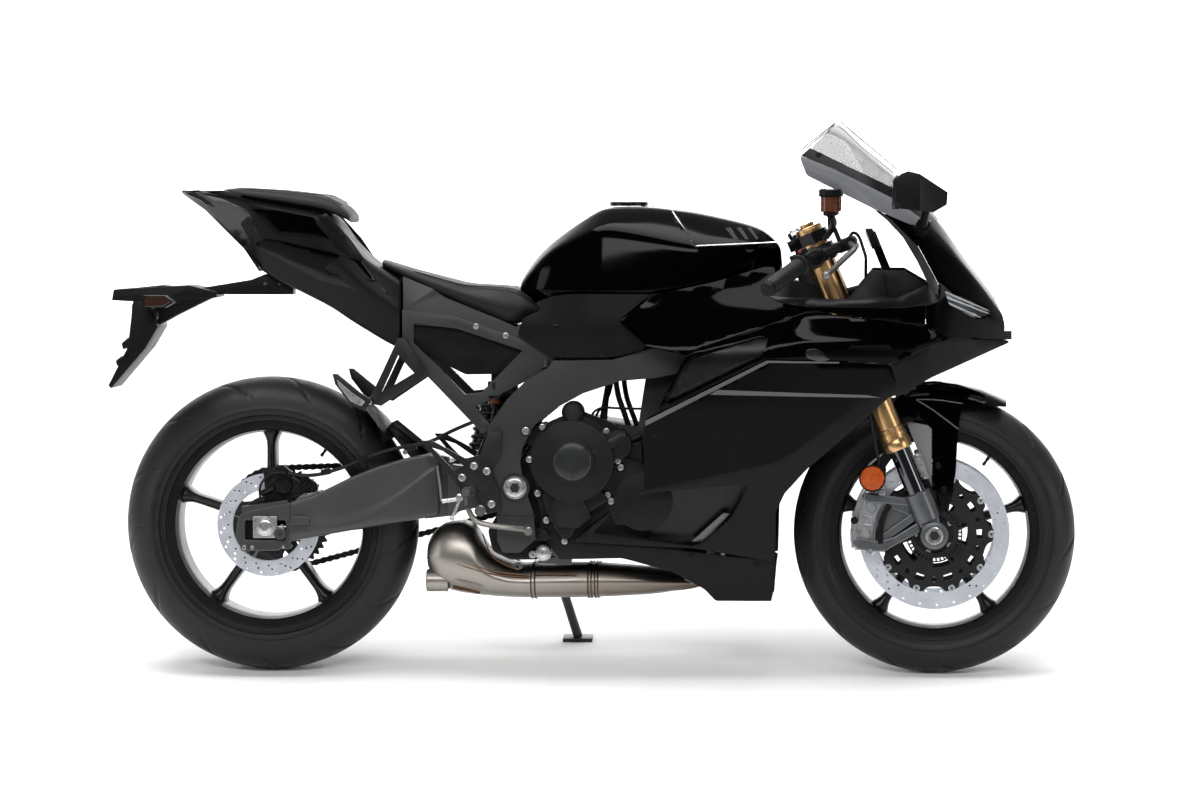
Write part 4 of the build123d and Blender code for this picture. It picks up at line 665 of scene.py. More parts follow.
# ---------------------------------------------------------------- fuel cap
# An aircraft-style cap turned from aluminium and anodised black: six screws round its ring, and a
# hinged lid with a flap over the lock.
CAP_METAL = ground_steel("black_anodised_cap", "#2A2A2C", 0.3, 0.7)
lid = lathe("lid",
            [(0.1, -9), (40, -9), (41.5, -7.5), (41.5, -1.2), (40.3, 0), (30, 0), (29.4, -0.8), (28, -0.8),
             (27.4, 0), (0.1, 0.2)], 96)
lid.matrix_basis = placed((FUEL_CAP_X, 0, TANK_TOP), 90, "X") @ Matrix.Scale(-1, 4, (0, 1, 0))
lid.data.flip_normals()
screw_places = [polar(35, number * 60 + 30) for number in range(6)]
cap_screws = [bolt((FUEL_CAP_X + x, y, TANK_TOP - 0.4), (0, 0, 1), 3, 1.6) for x, y in screw_places]
flap = prism([(-11, -0.4), (-11, 1.4), (-9.6, 2.2), (9.6, 2.2), (11, 1.4), (11, -0.4)], -7, 7)
flap.location = (FUEL_CAP_X - 6, 0, TANK_TOP)
hinge_bar = lathe("hinge_bar", [(0.1, -16), (2, -16), (2, -9), (3, -9), (3, 9), (2, 9), (2, 16), (0.1, 16)],
                  20)
hinge_bar.location = (FUEL_CAP_X + FUEL_CAP_RADIUS + 10, 0, TANK_TOP - 3)
tongue = prism([(30, -6), (52, -6), (52, -0.6), (30, -0.6)], -9, 9)
tongue.location = (FUEL_CAP_X, 0, TANK_TOP)
whole_cap = join("fuel_cap_turned", [lid, *cap_screws, flap, hinge_bar, tongue])
fit(whole_cap, "fuel_cap", "cap_alloy", CAP_METAL, "fuel_cap")

# ---------------------------------------------------------------- fairing sides
# Injection-moulded panels about 3 mm thick: gloss lacquer above, matt moulding below and along the
# leading edge, each a separate part with a shut line, held by black pan screws.
FAIRING = ((-60, (128, 150), (158, 262), (186, 420), (206, 560), (212, 690), (176, 780), (168, 830)),
           (130, (118, 150), (152, 262), (190, 420), (222, 560), (236, 690), (192, 770), (180, 830)),
           (290, (106, 150), (142, 262), (186, 420), (230, 560), (246, 690), (206, 780), (160, 840)),
           *from_axle([(-333, (103, 150), (139, 262), (185, 420), (227, 560), (246, 695), (208, 772),
                        (124, 880)),
                       (-273, (100, 150), (136, 262), (184, 420), (224, 560), (246, 700), (228, 790),
                        (214, 860)),
                       (-133, (96, 150), (130, 262), (180, 420), (206, 580), (226, 690), (222, 790),
                        (208, 860)),
                       (-7, (90, 150), (120, 262), (150, 480), (178, 610), (192, 690), (196, 790),
                        (190, 860)),
                       (59, (60, 150), (90, 262), (110, 480), (124, 610), (132, 690), (152, 790), (150, 860)),
                       (108, (40, 150), (50, 262), (60, 480), (68, 610), (76, 690), (92, 790), (90, 860)),
                       (159, (14, 150), (14, 262), (16, 480), (18, 610), (22, 690), (24, 790), (24, 860))]))


def half_width(stations, x, z):
    """Half width of a skin through stations at one place."""
    def on(rows):
        """Half width of one station at the height z."""
        if z <= rows[0][1]:
            return rows[0][0]
        for (near, low), (far, high) in zip(rows, rows[1:]):
            if z <= high:
                return near + (far - near) * (z - low) / (high - low)
        return rows[-1][0]
    if x <= stations[0][0]:
        return on(stations[0][1:])
    for one, other in zip(stations, stations[1:]):
        if x <= other[0]:
            return between(on(one[1:]), on(other[1:]), (x - one[0]) / (other[0] - one[0]))
    return on(stations[-1][1:])


def soft_width(stations, x, z):
    """The same, with its folds rounded over about 40 mm."""
    near = ((-18, 1), (0, 2), (18, 1))
    total = sum(a * b * half_width(stations, x + dx, z + dz) for dx, a in near for dz, b in near)
    return total / 16


def inside(point, loop):
    """Whether a point lies inside a closed loop."""
    hit, (px, pz) = False, point
    for (x1, z1), (x2, z2) in zip(loop, loop[1:] + loop[:1]):
        if (z1 > pz) != (z2 > pz) and px < (x2 - x1) * (pz - z1) / (z2 - z1) + x1:
            hit = not hit
    return hit


def rounded(loop, radius, steps=3):
    """Trades the corners of a loop for short arcs."""
    result = []
    for number, corner in enumerate(loop):
        before, after = loop[number - 1], loop[(number + 1) % len(loop)]
        to_before, to_after = apart(corner, before), apart(corner, after)
        start = between(corner, before, min(0.42, radius / max(to_before, 0.1)))
        end = between(corner, after, min(0.42, radius / max(to_after, 0.1)))
        for step in range(steps + 1):
            share = step / steps
            result.append(between(between(start, corner, share), between(corner, end, share), share))
    return result


def split_long(loop, longest, looped=True):
    """Adds points along a line, so that none are farther apart than a length."""
    result = []
    pairs = zip(loop, loop[1:] + loop[:1]) if looped else zip(loop, loop[1:])
    for one, other in pairs:
        pieces = max(1, math.ceil(apart(one, other) / longest))
        result += [between(one, other, step / pieces) for step in range(pieces)]
    return result if looped else result + [loop[-1]]


def distance_to(point, one, other):
    """How far a point lies from a stretch of line."""
    along, up, length = other[0] - one[0], other[1] - one[1], apart(one, other)
    share = ((point[0] - one[0]) * along + (point[1] - one[1]) * up) / length ** 2
    return apart(point, between(one, other, min(1, max(0, share))))


def panel(name, outline, width, side, wall=3.0, holes=(), lift=0.0, ribs=(), mesh_mm=13, corner=5, edge=0.9):
    """A moulded skin over an (x, z) outline. Ribs are (line, height, reach) folds raised from it."""
    rim = split_long(rounded(outline, corner), mesh_mm)
    gaps = [split_long(rounded(list(hole), corner), mesh_mm) for hole in holes]
    points, edges = [], []
    for loop in [rim, *gaps]:
        first = len(points)
        points += loop
        edges += [(first + i, first + (i + 1) % len(loop)) for i in range(len(loop))]
    for line, height, reach in ribs:
        crest = [p for p in split_long(list(line), mesh_mm, False) if inside(p, rim)]
        first = len(points)
        points += crest
        edges += [(first + i, first + i + 1) for i in range(len(crest) - 1)]
    xs, zs = [p[0] for p in rim], [p[1] for p in rim]
    fixed = list(points)
    x = min(xs) + mesh_mm / 2
    while x < max(xs):
        z = min(zs) + mesh_mm / 2
        while z < max(zs):
            if inside((x, z), rim) and not any(inside((x, z), gap) for gap in gaps):
                if all(apart((x, z), p) > mesh_mm * 0.55 for p in fixed if abs(p[0] - x) < mesh_mm):
                    points.append((x, z))
            z += mesh_mm
        x += mesh_mm
    flat, _, faces, *_ = geometry.delaunay_2d_cdt([Vector(p) for p in points], edges, [], 0, 0.01)

    def height_at(x, z):
        """How far the ribs and the lift raise the skin at one place."""
        total = lift
        for line, height, reach in ribs:
            away = min(distance_to((x, z), a, b) for a, b in zip(line, line[1:]))
            total += height * max(0, 1 - away / reach)
        return total
    skin = []
    for vertex in flat:
        skin.append((vertex.x, side * (width(vertex.x, vertex.y) + height_at(vertex.x, vertex.y)), vertex.y))
    keep = []
    for face in faces:
        middle = (sum(flat[i].x for i in face) / len(face), sum(flat[i].y for i in face) / len(face))
        if inside(middle, rim) and not any(inside(middle, gap) for gap in gaps):
            keep.append(face if side > 0 else tuple(reversed(face)))
    mesh = bpy.data.meshes.new(name)
    mesh.from_pydata(skin, [], keep)
    shape = bmesh.new()
    shape.from_mesh(mesh)
    loose = [vertex for vertex in shape.verts if not vertex.link_faces]
    bmesh.ops.delete(shape, geom=loose, context="VERTS")
    bmesh.ops.recalc_face_normals(shape, faces=shape.faces)
    shape.faces.ensure_lookup_table()
    if sum(face.normal.y * face.calc_area() for face in shape.faces) * side < 0:
        bmesh.ops.reverse_faces(shape, faces=shape.faces)
    shape.to_mesh(mesh)
    shape.free()
    piece = link(name, mesh)
    modifier = piece.modifiers.new("wall", "SOLIDIFY")
    modifier.thickness, modifier.offset, modifier.use_even_offset = wall, -1, False
    settle(piece)
    return ease(piece, edge, 55, 2) if edge else piece


def fairing_width(x, z):
    """Half width of the fairing at one place."""
    return soft_width(FAIRING, x, z)


BAND_LINE = [(770, 724), (639, 667), (653, 627), (629, 617), (570, 585), (436, 479), (393, 457), (254, 427),
             (123, 398)]
TOP_PANEL = [(129, 703), (70, 754), (145, 810), (270, 837), (372, 868), (394, 868), (409, 803), (542, 799),
             (655, 802), (716, 830), (712, 744), (487, 778), (461, 775), (247, 703), (213, 685)]
MID_PANEL = [(212, 682), (247, 700), (461, 772), (487, 775), (712, 741), (768, 722), (637, 667), (533, 674),
             (381, 677), (156, 566), (158, 581)]
BLADE = [(223, 682), (366, 724), (386, 722), (372, 684), (196, 595), (172, 584)]
SIDE_PANEL = [(126, 550), (381, 674), (533, 671), (636, 665)] + BAND_LINE[2:] + [(122, 520)]
LOWER_PANEL = [(773, 722), (820, 714), (888, 710), (892, 706), (800, 668), (726, 637), (661, 600), (640, 598),
               (537, 506), (464, 443), (418, 392), (399, 352), (397, 247), (376, 247), (220, 274), (155, 276),
               (-30, 287), (36, 340), (114, 397)] + BAND_LINE[:0:-1]
VENT = [(104, 390), (329, 411), (341, 404), (304, 339), (247, 286), (222, 278), (14, 307), (52, 349)]
BELLY = [(155, 273), (397, 244), (394, 224), (389, 159), (270, 159), (247, 184), (180, 222), (80, 250),
         (-30, 267), (-30, 285)]
STRIPE = [(126, 546), (381, 674), (533, 671), (533, 668), (386, 669), (126, 535)]
UNDERLINE = [(279, 612), (262, 602), (620, 595), (591, 601)]
# Grey film for the printed stripes; the same grey also paints highlights along the fender's edges.
GREY_FILM_AND_EDGE_HIGHLIGHT = finish("grey_stripe_film_and_painted_highlight", "#47474A", 0.35, 0.5, 0.002, coat=0.2, spread=0.1, patch_mm=50)
SATIN = finish("satin_black_moulding", "#0B0B0C", 0.28, 0.5, 0.008, spread=0.15, ior=1.3, patch_mm=50)


def blade_width(x, z):
    """The air outlet's floor falls inward towards the rear."""
    depth = 5 + 9 * max(0, min(1, (372 - x) / 200))
    return fairing_width(x, z) - depth


HANDS = ((-1, "right"), (1, "left"))
for side, hand in HANDS:
    upper = panel("fairing_top_" + hand, TOP_PANEL, fairing_width, side, mesh_mm=16)
    fit(upper, "chassis", "gloss_black", GLOSS, "fairing_" + hand)
    fold = [(405, 709), (671, 710), (746, 711)]
    middle = panel("fairing_middle_" + hand, MID_PANEL, fairing_width, side, holes=[BLADE], lift=0.8,
                   ribs=[(fold, 2.2, 9)], mesh_mm=11)
    fit(middle, "chassis", "gloss_black", GLOSS)
    blade = panel("fairing_blade_" + hand, [between(p, (270, 660), -0.04) for p in BLADE], blade_width, side,
                  2.0, mesh_mm=14)
    fit(blade, "chassis", "matt_plastic", SATIN)
    flank = panel("fairing_side_" + hand, SIDE_PANEL, fairing_width, side, lift=0.4)
    fit(flank, "chassis", "gloss_black", GLOSS)
    lower = panel("fairing_lower_" + hand, LOWER_PANEL, fairing_width, side, holes=[VENT])
    fit(lower, "chassis", "matt_plastic", MATT)
    belly = panel("belly_side_" + hand, BELLY, fairing_width, side)
    fit(belly, "chassis", "matt_plastic", MATT, *(["belly_pan"] if side < 0 else []))
    films = [panel("film", loop, fairing_width, side, 0.4, lift=0.9, corner=0.5, edge=0)
             for loop in (STRIPE, UNDERLINE)]
    fit(join("fairing_films_" + hand, films), "chassis", "satin_black", GREY_FILM_AND_EDGE_HIGHLIGHT)
    screws = []
    for x, z in ((146, 520), (191, 691), (220, 259), (358, 240), (270, 822)):
        screws.append(side_bolt((x, side * (fairing_width(x, z) + 0.2), z), 5.2, 1.8))
    fit(join("fairing_screws_" + hand, screws), "chassis", "black_steel", SCREW)

# The belly pan's floor joins the two sides below the exhaust.
floor = prism([(272, 158), (388, 158), (388, 161.5), (272, 161.5)], -103, 103)
ease(floor, 1.0)
fit(floor, "chassis", "matt_plastic", MATT)

# ---------------------------------------------------------------- covers between tank, seat and frame
# Matt moulded covers clipped under the tank's edge, each held by one black screw. They follow the
# frame's upper edge from the fairing back to the seat.
COVER_SIDE = [(-113, 792), (-74, 806), (-34, 811), (134, 811), (66, 754), (124, 704), (118, 692), (53, 678),
              (-70, 676), (-100, 692), (-150, 722), (-138, 760), (-98, 776)]
COVER_ROWS = ((-170, (108, 640), (126, 740), (112, 830)), (-100, (130, 640), (140, 740), (118, 830)),
              (0, (160, 640), (168, 740), (160, 830)), (150, (170, 640), (178, 740), (170, 830)))
for side, hand in HANDS:
    cover = panel("tank_side_cover_" + hand, COVER_SIDE, lambda x, z: soft_width(COVER_ROWS, x, z), side,
                  corner=9)
    fit(cover, "chassis", "matt_plastic", MATT, *(["tank_covers"] if side < 0 else []))
    screw = bolt((-66, side * soft_width(COVER_ROWS, -66, 740), 740), (-0.1 * side, side, 0), 6, 2.4)
    fit(screw, "chassis", "black_steel", SCREW)

# ---------------------------------------------------------------- nose cowl
# The lacquered nose, moulded in one shell 4 mm thick with a ram-air mouth, a satin strip along its
# rear edge and a recess each side for the running lights.
def node_solid(name):
    """The CAD node's mesh as a new upright mesh in mm."""
    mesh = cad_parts[name].data.copy()
    mesh.transform(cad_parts[name].matrix_world)
    mesh.transform((PARK @ MILLIMETRES).inverted())
    return mesh


def from_solid(name, bevel_mm, angle=32, segments=2, keep=None):
    """A node's solid with the edges that turn by more than an angle broken by bevel_mm, as the real
    piece's are; keep(centre) picks some of its bodies."""
    mesh = node_solid(name)
    piece = link(name + "_piece", mesh)
    shape = bmesh.new()
    shape.from_mesh(mesh)
    bmesh.ops.remove_doubles(shape, verts=shape.verts, dist=0.01)
    bmesh.ops.dissolve_limit(shape, angle_limit=math.radians(1.0), verts=shape.verts, edges=shape.edges)
    if keep:
        left, doomed = set(shape.verts), []
        while left:
            island, queue = set(), [left.pop()]
            while queue:
                vertex = queue.pop()
                island.add(vertex)
                for edge in vertex.link_edges:
                    other = edge.other_vert(vertex)
                    if other in left:
                        left.discard(other)
                        queue.append(other)
            low = [min(v.co[i] for v in island) for i in range(3)]
            high = [max(v.co[i] for v in island) for i in range(3)]
            if not keep(Vector([(a + b) / 2 for a, b in zip(low, high)])):
                doomed += list(island)
        bmesh.ops.delete(shape, geom=doomed, context="VERTS")
    if bevel_mm:
        edges = [e for e in shape.edges if e.is_manifold and e.calc_face_angle(0) > math.radians(angle)]
        bmesh.ops.bevel(shape, geom=edges, offset=bevel_mm, segments=segments, affect="EDGES", profile=0.6,
                        clamp_overlap=True)
    bmesh.ops.triangulate(shape, faces=[f for f in shape.faces if len(f.verts) > 4])
    shape.to_mesh(mesh)
    shape.free()
    shade(mesh, 30)
    return piece


NOSE = from_axle([
    (-293, (140, 1000), (140, 1030), (140, 1058), (141, 1092), (84, 1168), (0, 1192)),
    (-201, (162, 900), (164, 980), (162, 1020), (158, 1064), (92, 1150), (0, 1179)),
    (-133, (176, 800), (186, 930), (176, 990), (166, 1032), (96, 1096), (0, 1118)),
    (-68, (196, 790), (194, 900), (170, 962), (150, 992), (86, 1044), (0, 1060)),
    (-27, (196, 760), (198, 850), (156, 940), (140, 962), (78, 1000), (0, 1010)),
    (12, (180, 722), (188, 835), (144, 912), (120, 936), (66, 960), (0, 968)),
    (59, (134, 712), (156, 800), (132, 872), (110, 880), (60, 890), (0, 895)),
    (108, (80, 706), (106, 765), (94, 812), (78, 820), (44, 830), (0, 835)),
    (147, (34, 705), (46, 735), (40, 755), (34, 760), (20, 768), (0, 773)),
    (164, (10, 704), (14, 726), (12, 738), (10, 742), (6, 746), (0, 749))])
COWL_SIDE = from_axle([(-131, 991), (-101, 966), (-68, 931), (-38, 881), (-14.6, 832), (-20.6, 742.2),
                       (40, 719.4), (150, 712.4), (167, 712), (167, 790), (13, 968), (-49, 956)])
nose_skin = hull("nose_skin", NOSE, 14, 7, 2, shell=3.6)
STRIP_EDGE = [(590, 1000), (612, 986), (640, 968), (668, 940), (696, 912), (741, 828), (738, 812), (700, 812),
              (640, 900)]
RUN_LIGHT = [(752, 822), (811, 800), (853, 776), (850, 765), (822, 757), (762, 790)]
cowl = carve(again(nose_skin), cutter(COWL_SIDE), "INTERSECT")
strip = carve(again(cowl), cutter(STRIP_EDGE), "INTERSECT")
carve(cowl, cutter([(x + 1.2, z + 1) for x, z in STRIP_EDGE]))
mouth = prism([(822, 730), (832, 798), (905, 792), (905, 730)], -40, 40)
carve(cowl, mouth)
for low, high in ((-240, -60), (60, 240)):
    carve(cowl, prism(rounded(RUN_LIGHT, 5), low, high))
fit(ease(cowl, 0.9, 60), "chassis", "gloss_black", GLOSS, "upper_cowl")
STRIP_GREY = finish("satin_grey_edge_moulding", "#29292B", 0.3, 0.5, 0.006, spread=0.12, ior=1.36,
                    patch_mm=40)
fit(ease(strip, 0.9, 60), "chassis", "satin_black", STRIP_GREY)

# ---------------------------------------------------------------- headlamp and running lights
# One small projector deep in the air mouth, its glass lens in a dark bezel. On each side a shallow
# recess carries a running light of three frosted bars.
LENS = finish("lamp_lens_glass", "#C9D6E2", 0.04, 0.4, 0.001, coat=0.8, spread=0.1)
LIGHT_BAR = finish("frosted_light_bar", "#8E9296", 0.3, 0.4, 0.004, coat=0.3, spread=0.08)
LAMP_PLASTIC = finish("black_lamp_plastic", "#0A0A0B", 0.24, 0.5, 0.004, coat=0.2, spread=0.15)
lamp_body = from_solid("headlamp", 2)
fit(lamp_body, "chassis", "lamp_glass", LAMP_PLASTIC, "headlamp")
lens = lathe("lens", [(25.5, -4), (27, -2), (24, 5), (18, 9.5), (10, 12.2), (0.1, 13)], 48, False)
bezel = lathe("bezel", [(25, -8), (31, -8), (31, 6), (29, 7.5), (26, 7), (25, 4)], 60)
for piece in (lens, bezel):
    piece.matrix_basis = placed((842, 0, 762), -90, "Z")
fit(lens, "chassis", "lamp_glass", LENS)
fit(bezel, "chassis", "lamp_glass", LAMP_PLASTIC)


def nose_width(x, z):
    """Half width of the nose at one place."""
    return half_width([(row[0], *[(half, height) for half, height in row[1:]]) for row in NOSE], x, z)


bars, recesses = [], []
for side in (-1, 1):
    recesses.append(panel("recess", [between(p, (805, 785), -0.06) for p in RUN_LIGHT],
                          lambda x, z: nose_width(x, z) - 12, side, 2.0, mesh_mm=9, edge=0))
    for (x1, z1), (x2, z2) in (((754, 819), (849, 775)), ((757, 808), (847, 770)), ((760, 796), (829, 762))):
        loop = [(x1, z1), (x2, z2 + 0.5), (x2, z2 - 1.5), (x1, z1 - 5)]
        bars.append(panel("bar", loop, lambda x, z: nose_width(x, z) - 4, side, 7.0, mesh_mm=12, corner=1,
                          edge=0.6))
fit(join("running_light_recess", recesses), "chassis", "lamp_glass", LAMP_PLASTIC)
fit(join("running_light_bars", bars), "chassis", "lamp_glass", LIGHT_BAR)

# ---------------------------------------------------------------- windscreen
# Vacuum-formed clear polycarbonate about 3 mm thick, printed black along its foot; the grey band under the
# print is painted reflection on the border's far inner face. Four black screws hold it to the cowl.
SCREEN_SIDE = from_axle([(-271, 1061), (-286, 1100), (-266, 1118), (-200, 1190), (27, 1000), (13, 968.4),
                         (-49, 956.4), (-131, 991.4)])
screen = carve(hull("screen_skin", NOSE, 14, 9, 2, shell=2.8), cutter(rounded(SCREEN_SIDE, 6)), "INTERSECT")
CLEAR_EDGE = [(466, 1121), (643, 1034), (700, 1006), (780, 978), (800, 1010), (560, 1230), (430, 1150)]
BLACK_EDGE = [(466, 1120.6), (643, 1033.6), (700, 1005.6), (780, 977.6), (770, 950), (698, 974.4),
              (643, 1013.4), (525, 1072.4), (459, 1099.4), (430, 1105), (425, 1150)]
GREY_EDGE = [(430, 1104.6), (459, 1099), (525, 1072), (643, 1013), (698, 974), (770, 949.6), (740, 930),
             (600, 960), (440, 1040)]
CLEAR = bpy.data.materials.new("clear_polycarbonate")
CLEAR.use_nodes = True
skin = CLEAR.node_tree.nodes["Principled BSDF"]
for socket, value in (("Base Color", linear("#AAAAAA")), ("Roughness", 0.02), ("IOR", 1.2),
                      ("Transmission Weight", 1.0)):
    skin.inputs[socket].default_value = value
scuffs = node(CLEAR.node_tree, "ShaderNodeTexNoise", {"Scale": 90.0, "Detail": 6.0})
gloss_map = node(CLEAR.node_tree, "ShaderNodeMapRange", {"To Min": 0.01, "To Max": 0.05},
                 {"Value": scuffs.outputs["Fac"]})
CLEAR.node_tree.links.new(gloss_map.outputs["Result"], skin.inputs["Roughness"])
PAINTED = finish("black_screen_print", "#030304", 0.3, 0.4, 0.002, spread=0.15, ior=1.2)
SCREEN_REFLECTION_GREY = finish("screen_band_painted_reflection", "#5E5F62", 0.3, 0.4, 0.002, spread=0.08, ior=1.2, patch_mm=80)
for name, edge, material in (("screen_clear", CLEAR_EDGE, CLEAR), ("screen_black_band", BLACK_EDGE, PAINTED),
                             ("screen_reflection_band", GREY_EDGE, SCREEN_REFLECTION_GREY)):
    part = carve(again(screen), cutter(edge), "INTERSECT")
    part.name = name
    fit(part, "chassis", "clear_screen", material, *(["windscreen"] if name == "screen_clear" else []))
screen_edges = []
for route in ([(448, 1112), (466, 1128), (492, 1149), (520, 1172)],
              [(530, 1177), (570, 1143), (612, 1108), (652, 1074)]):
    for side in (-1, 1):
        screen_edges.append([(x, side * (nose_width(x, z) + 0.6), z + 0.1) for x, z in route])
bpy.data.objects.remove(screen)
bpy.data.objects.remove(nose_skin)
screen_screws = []
for side in (-1, 1):
    for x, z in ((487, 1104), (637, 1030)):
        screen_screws.append(bolt((x, side * (nose_width(x, z) + 0.5), z), (0.1, side, 0.35), 5, 2.2))
fit(join("screen_screws", screen_screws), "chassis", "black_steel", SCREW)

# ---------------------------------------------------------------- cockpit
# Satin lips along the fairing's upper edge, and a moulded housing behind the screen that carries the
# instrument.
LIP = [(384, 808), (401, 796), (463, 786), (655, 783), (724, 790), (742, 797), (717, 833), (655, 805),
       (542, 802), (409, 806)]
lips = [panel("lip", LIP, fairing_width, side, 3.4, lift=1.6, mesh_mm=16, corner=4) for side in (-1, 1)]
fit(join("cockpit_lips", lips), "chassis", "matt_plastic", SATIN)
dash = carve(from_solid("cockpit", 0), prism([(540, 948), (640, 948), (640, 1020), (540, 1020)], -100, 100))
fit(ease(dash, 1.5, 34), "chassis", "matt_plastic", MATT, "cockpit")

# ---------------------------------------------------------------- mirrors
# Moulded pods on short stalks from the cowl. The glass faces back inside a raised surround, turned a
# little outward.
MIRROR_GLASS = finish("mirror_glass", "#AEB4BA", 0.03, 0.4, 0.0008, metallic=1.0, spread=0.05)
MIRROR_PLASTIC = finish("black_mirror_plastic", "#09090A", 0.36, 0.55, 0.014, spread=0.15, ior=1.26)
fit(from_solid("mirrors", 6, 28, 3), "chassis", "matt_plastic", MIRROR_PLASTIC, "mirrors")
POD_LOOP, POD_MIDDLE = rounded([(-50, -26), (50, -32), (54, 30), (-46, 40)], 14, 5), (0, 2)
rims, glasses = [], []
for side in (-1, 1):
    surround = plate("mirror_rim", POD_LOOP, [[between(p, POD_MIDDLE, 0.1) for p in POD_LOOP]], 16, 2)
    glass = plate("mirror_glass", [between(p, POD_MIDDLE, 0.08) for p in POD_LOOP], [], 3, 0.5)
    for part, away in ((surround, 0), (glass, 3)):
        place = placed((654 + away, side * 294, 1022), 90 - side * 3, "Z")
        part.matrix_basis = place @ Matrix.Rotation(math.radians(4), 4, "X")
    rims.append(surround)
    glasses.append(glass)
fit(join("mirror_rims", rims), "chassis", "matt_plastic", MIRROR_PLASTIC)
fit(join("mirror_glasses", glasses), "chassis", "matt_plastic", MIRROR_GLASS)

# ---------------------------------------------------------------- tail cowl
# The tail is a matt moulding with lacquered blades let into its flanks, an open duct below the seat
# and a red light strip along its rear edge.
TAIL = ((-881, (8, 1022), (16, 1026), (8, 1030)), (-827, (36, 986), (50, 1006), (48, 1027)),
        (-742, (46, 903), (82, 956), (100, 1013)), (-710, (52, 856), (96, 920), (108, 1007)),
        (-622, (64, 813), (112, 900), (118, 992)), (-552, (76, 779), (116, 880), (118, 979)),
        (-519, (84, 756), (118, 860), (112, 928)), (-476, (90, 730), (120, 820), (108, 884)),
        (-425, (98, 700), (122, 790), (104, 852)), (-398, (100, 690), (120, 770), (100, 836)))
PILLION = ((-786, (56, 1026), (70, 1029), (50, 1032)), (-752, (86, 1015), (98, 1024), (74, 1036)),
           (-660, (100, 1000), (112, 1012), (86, 1031)), (-566, (104, 984), (116, 998), (88, 1021)),
           (-526, (98, 972), (110, 984), (84, 1000)), (-507, (88, 958), (98, 966), (80, 976)))
SEAT = ((-447, (44, 862), (60, 872), (46, 882)), (-375, (80, 830), (92, 848), (66, 859)),
        (-266, (108, 786), (132, 808), (96, 830)), (-190, (112, 756), (136, 786), (100, 826)),
        (-155, (104, 740), (128, 772), (92, 822)), (-122, (88, 758), (108, 778), (84, 800)),
        (-99, (78, 762), (96, 768), (80, 776)))


def closed(rows):
    """Stations closed over the middle at the bottom and the top."""
    return [(x, (0.001, chain[0][1]), *chain, (0.001, chain[-1][1])) for x, *chain in rows]


tail_body = hull("tail_body", closed(TAIL), 10, 5, 2)
seat_room = hull("seat_cut",
                 [(x, (0.001, rows[0][1] - 1), *[(y + 1.5, z) for y, z in rows],
                   (rows[-1][0], rows[-1][1] + 40), (0.001, rows[-1][1] + 40)) for x, *rows in PILLION], 10,
                 5, 1)
carve(tail_body, seat_room)
fit(ease(tail_body, 0.8, 55), "chassis", "gloss_black", MATT, "tail_cowl")


def tail_width(x, z):
    """Half width of the tail at one place."""
    return soft_width(TAIL, x, z)


BLADES = ((GLOSS, 1.6,
           [(-868, 1028), (-830, 1027), (-777, 1015), (-581, 982), (-560, 984), (-566, 992), (-640, 1002),
            (-740, 1020), (-786, 1029)]),
          (GLOSS, 1.4,
           [(-722, 990), (-667, 987), (-584, 972), (-579, 958), (-549, 926), (-600, 930), (-663, 934)]),
          (GLOSS, 2.4,
           [(-693, 926), (-663, 922), (-541, 896), (-480, 877), (-449, 836), (-510, 846), (-550, 848),
            (-715, 915)]),
          (SATIN, 1.0, [(-576, 976), (-556, 980), (-506, 925), (-478, 884), (-492, 876), (-538, 905)]),
          (SATIN, 1.2,
           [(-715, 913), (-550, 845), (-454, 832), (-419, 808), (-462, 811), (-571, 836), (-680, 893)]))
DUCT = [(-566, 862), (-528, 891), (-498, 880), (-462, 840), (-511, 842), (-548, 852)]
LAMP_PANEL = [(-874, 1027), (-843, 1024), (-785, 1011), (-728, 988), (-704, 929), (-724, 917), (-741, 908),
              (-794, 966)]
RED_LENS = finish("red_tail_lens", "#7A0A0A", 0.12, 0.4, 0.003, coat=0.6, spread=0.15)
for side, hand in HANDS:
    lacquered, satin = [], []
    for number, (material, lift, loop) in enumerate(BLADES):
        holes = [DUCT] if number == 2 else []
        blade_piece = panel("blade", loop, tail_width, side, 4.0, holes=holes, lift=lift, mesh_mm=12,
                            corner=3, edge=0.8)
        (lacquered if material is GLOSS else satin).append(blade_piece)
    fit(join("tail_blades_" + hand, lacquered), "chassis", "gloss_black", GLOSS)
    fit(join("tail_trim_" + hand, satin), "chassis", "satin_black", SATIN)
    lamp_panel = panel("lamp_panel", LAMP_PANEL, tail_width, side, 3.0, lift=1.2, mesh_mm=12, corner=3)
    fit(lamp_panel, "chassis", "lamp_red", LAMP_PLASTIC)
red_edge = prism([(-880, 1022), (-796, 960), (-742, 902), (-738, 905), (-790, 966), (-872, 1026)], -5, 5)
ease(red_edge, 1.2)
fit(red_edge, "chassis", "lamp_red", RED_LENS)
fit(from_solid("tail_lamp", 1), "chassis", "lamp_red", LAMP_PLASTIC, "tail_lamp")

# ---------------------------------------------------------------- seats
# Moulded foam under black vinyl, heat-pressed with fine grain. A sewn seam runs along both edges of
# the top panel, on the rider's seat and on the pillion's.
VINYL = finish("grained_seat_vinyl", "#131314", 0.52, 1.1, 0.09, spread=0.12, ior=1.28, patch_mm=60)
THREAD = finish("black_seam_thread", "#0B0B0C", 0.7, 0.5, 0.05, spread=0.2)


def seam(name, route, radius=1.1):
    """A sewn cord of small radius through points."""
    drawing = bpy.data.curves.new(name, "CURVE")
    drawing.dimensions, drawing.bevel_depth, drawing.bevel_resolution = "3D", radius, 2
    line = drawing.splines.new("NURBS")
    line.points.add(len(route) - 1)
    for point, place in zip(line.points, route):
        point.co = (*place, 1)
    line.use_endpoint_u, line.order_u = True, 3
    drawn = link(name, drawing)
    mesh = shown(drawn)
    bpy.data.objects.remove(drawn)
    mesh.shade_smooth()
    return link(name, mesh)


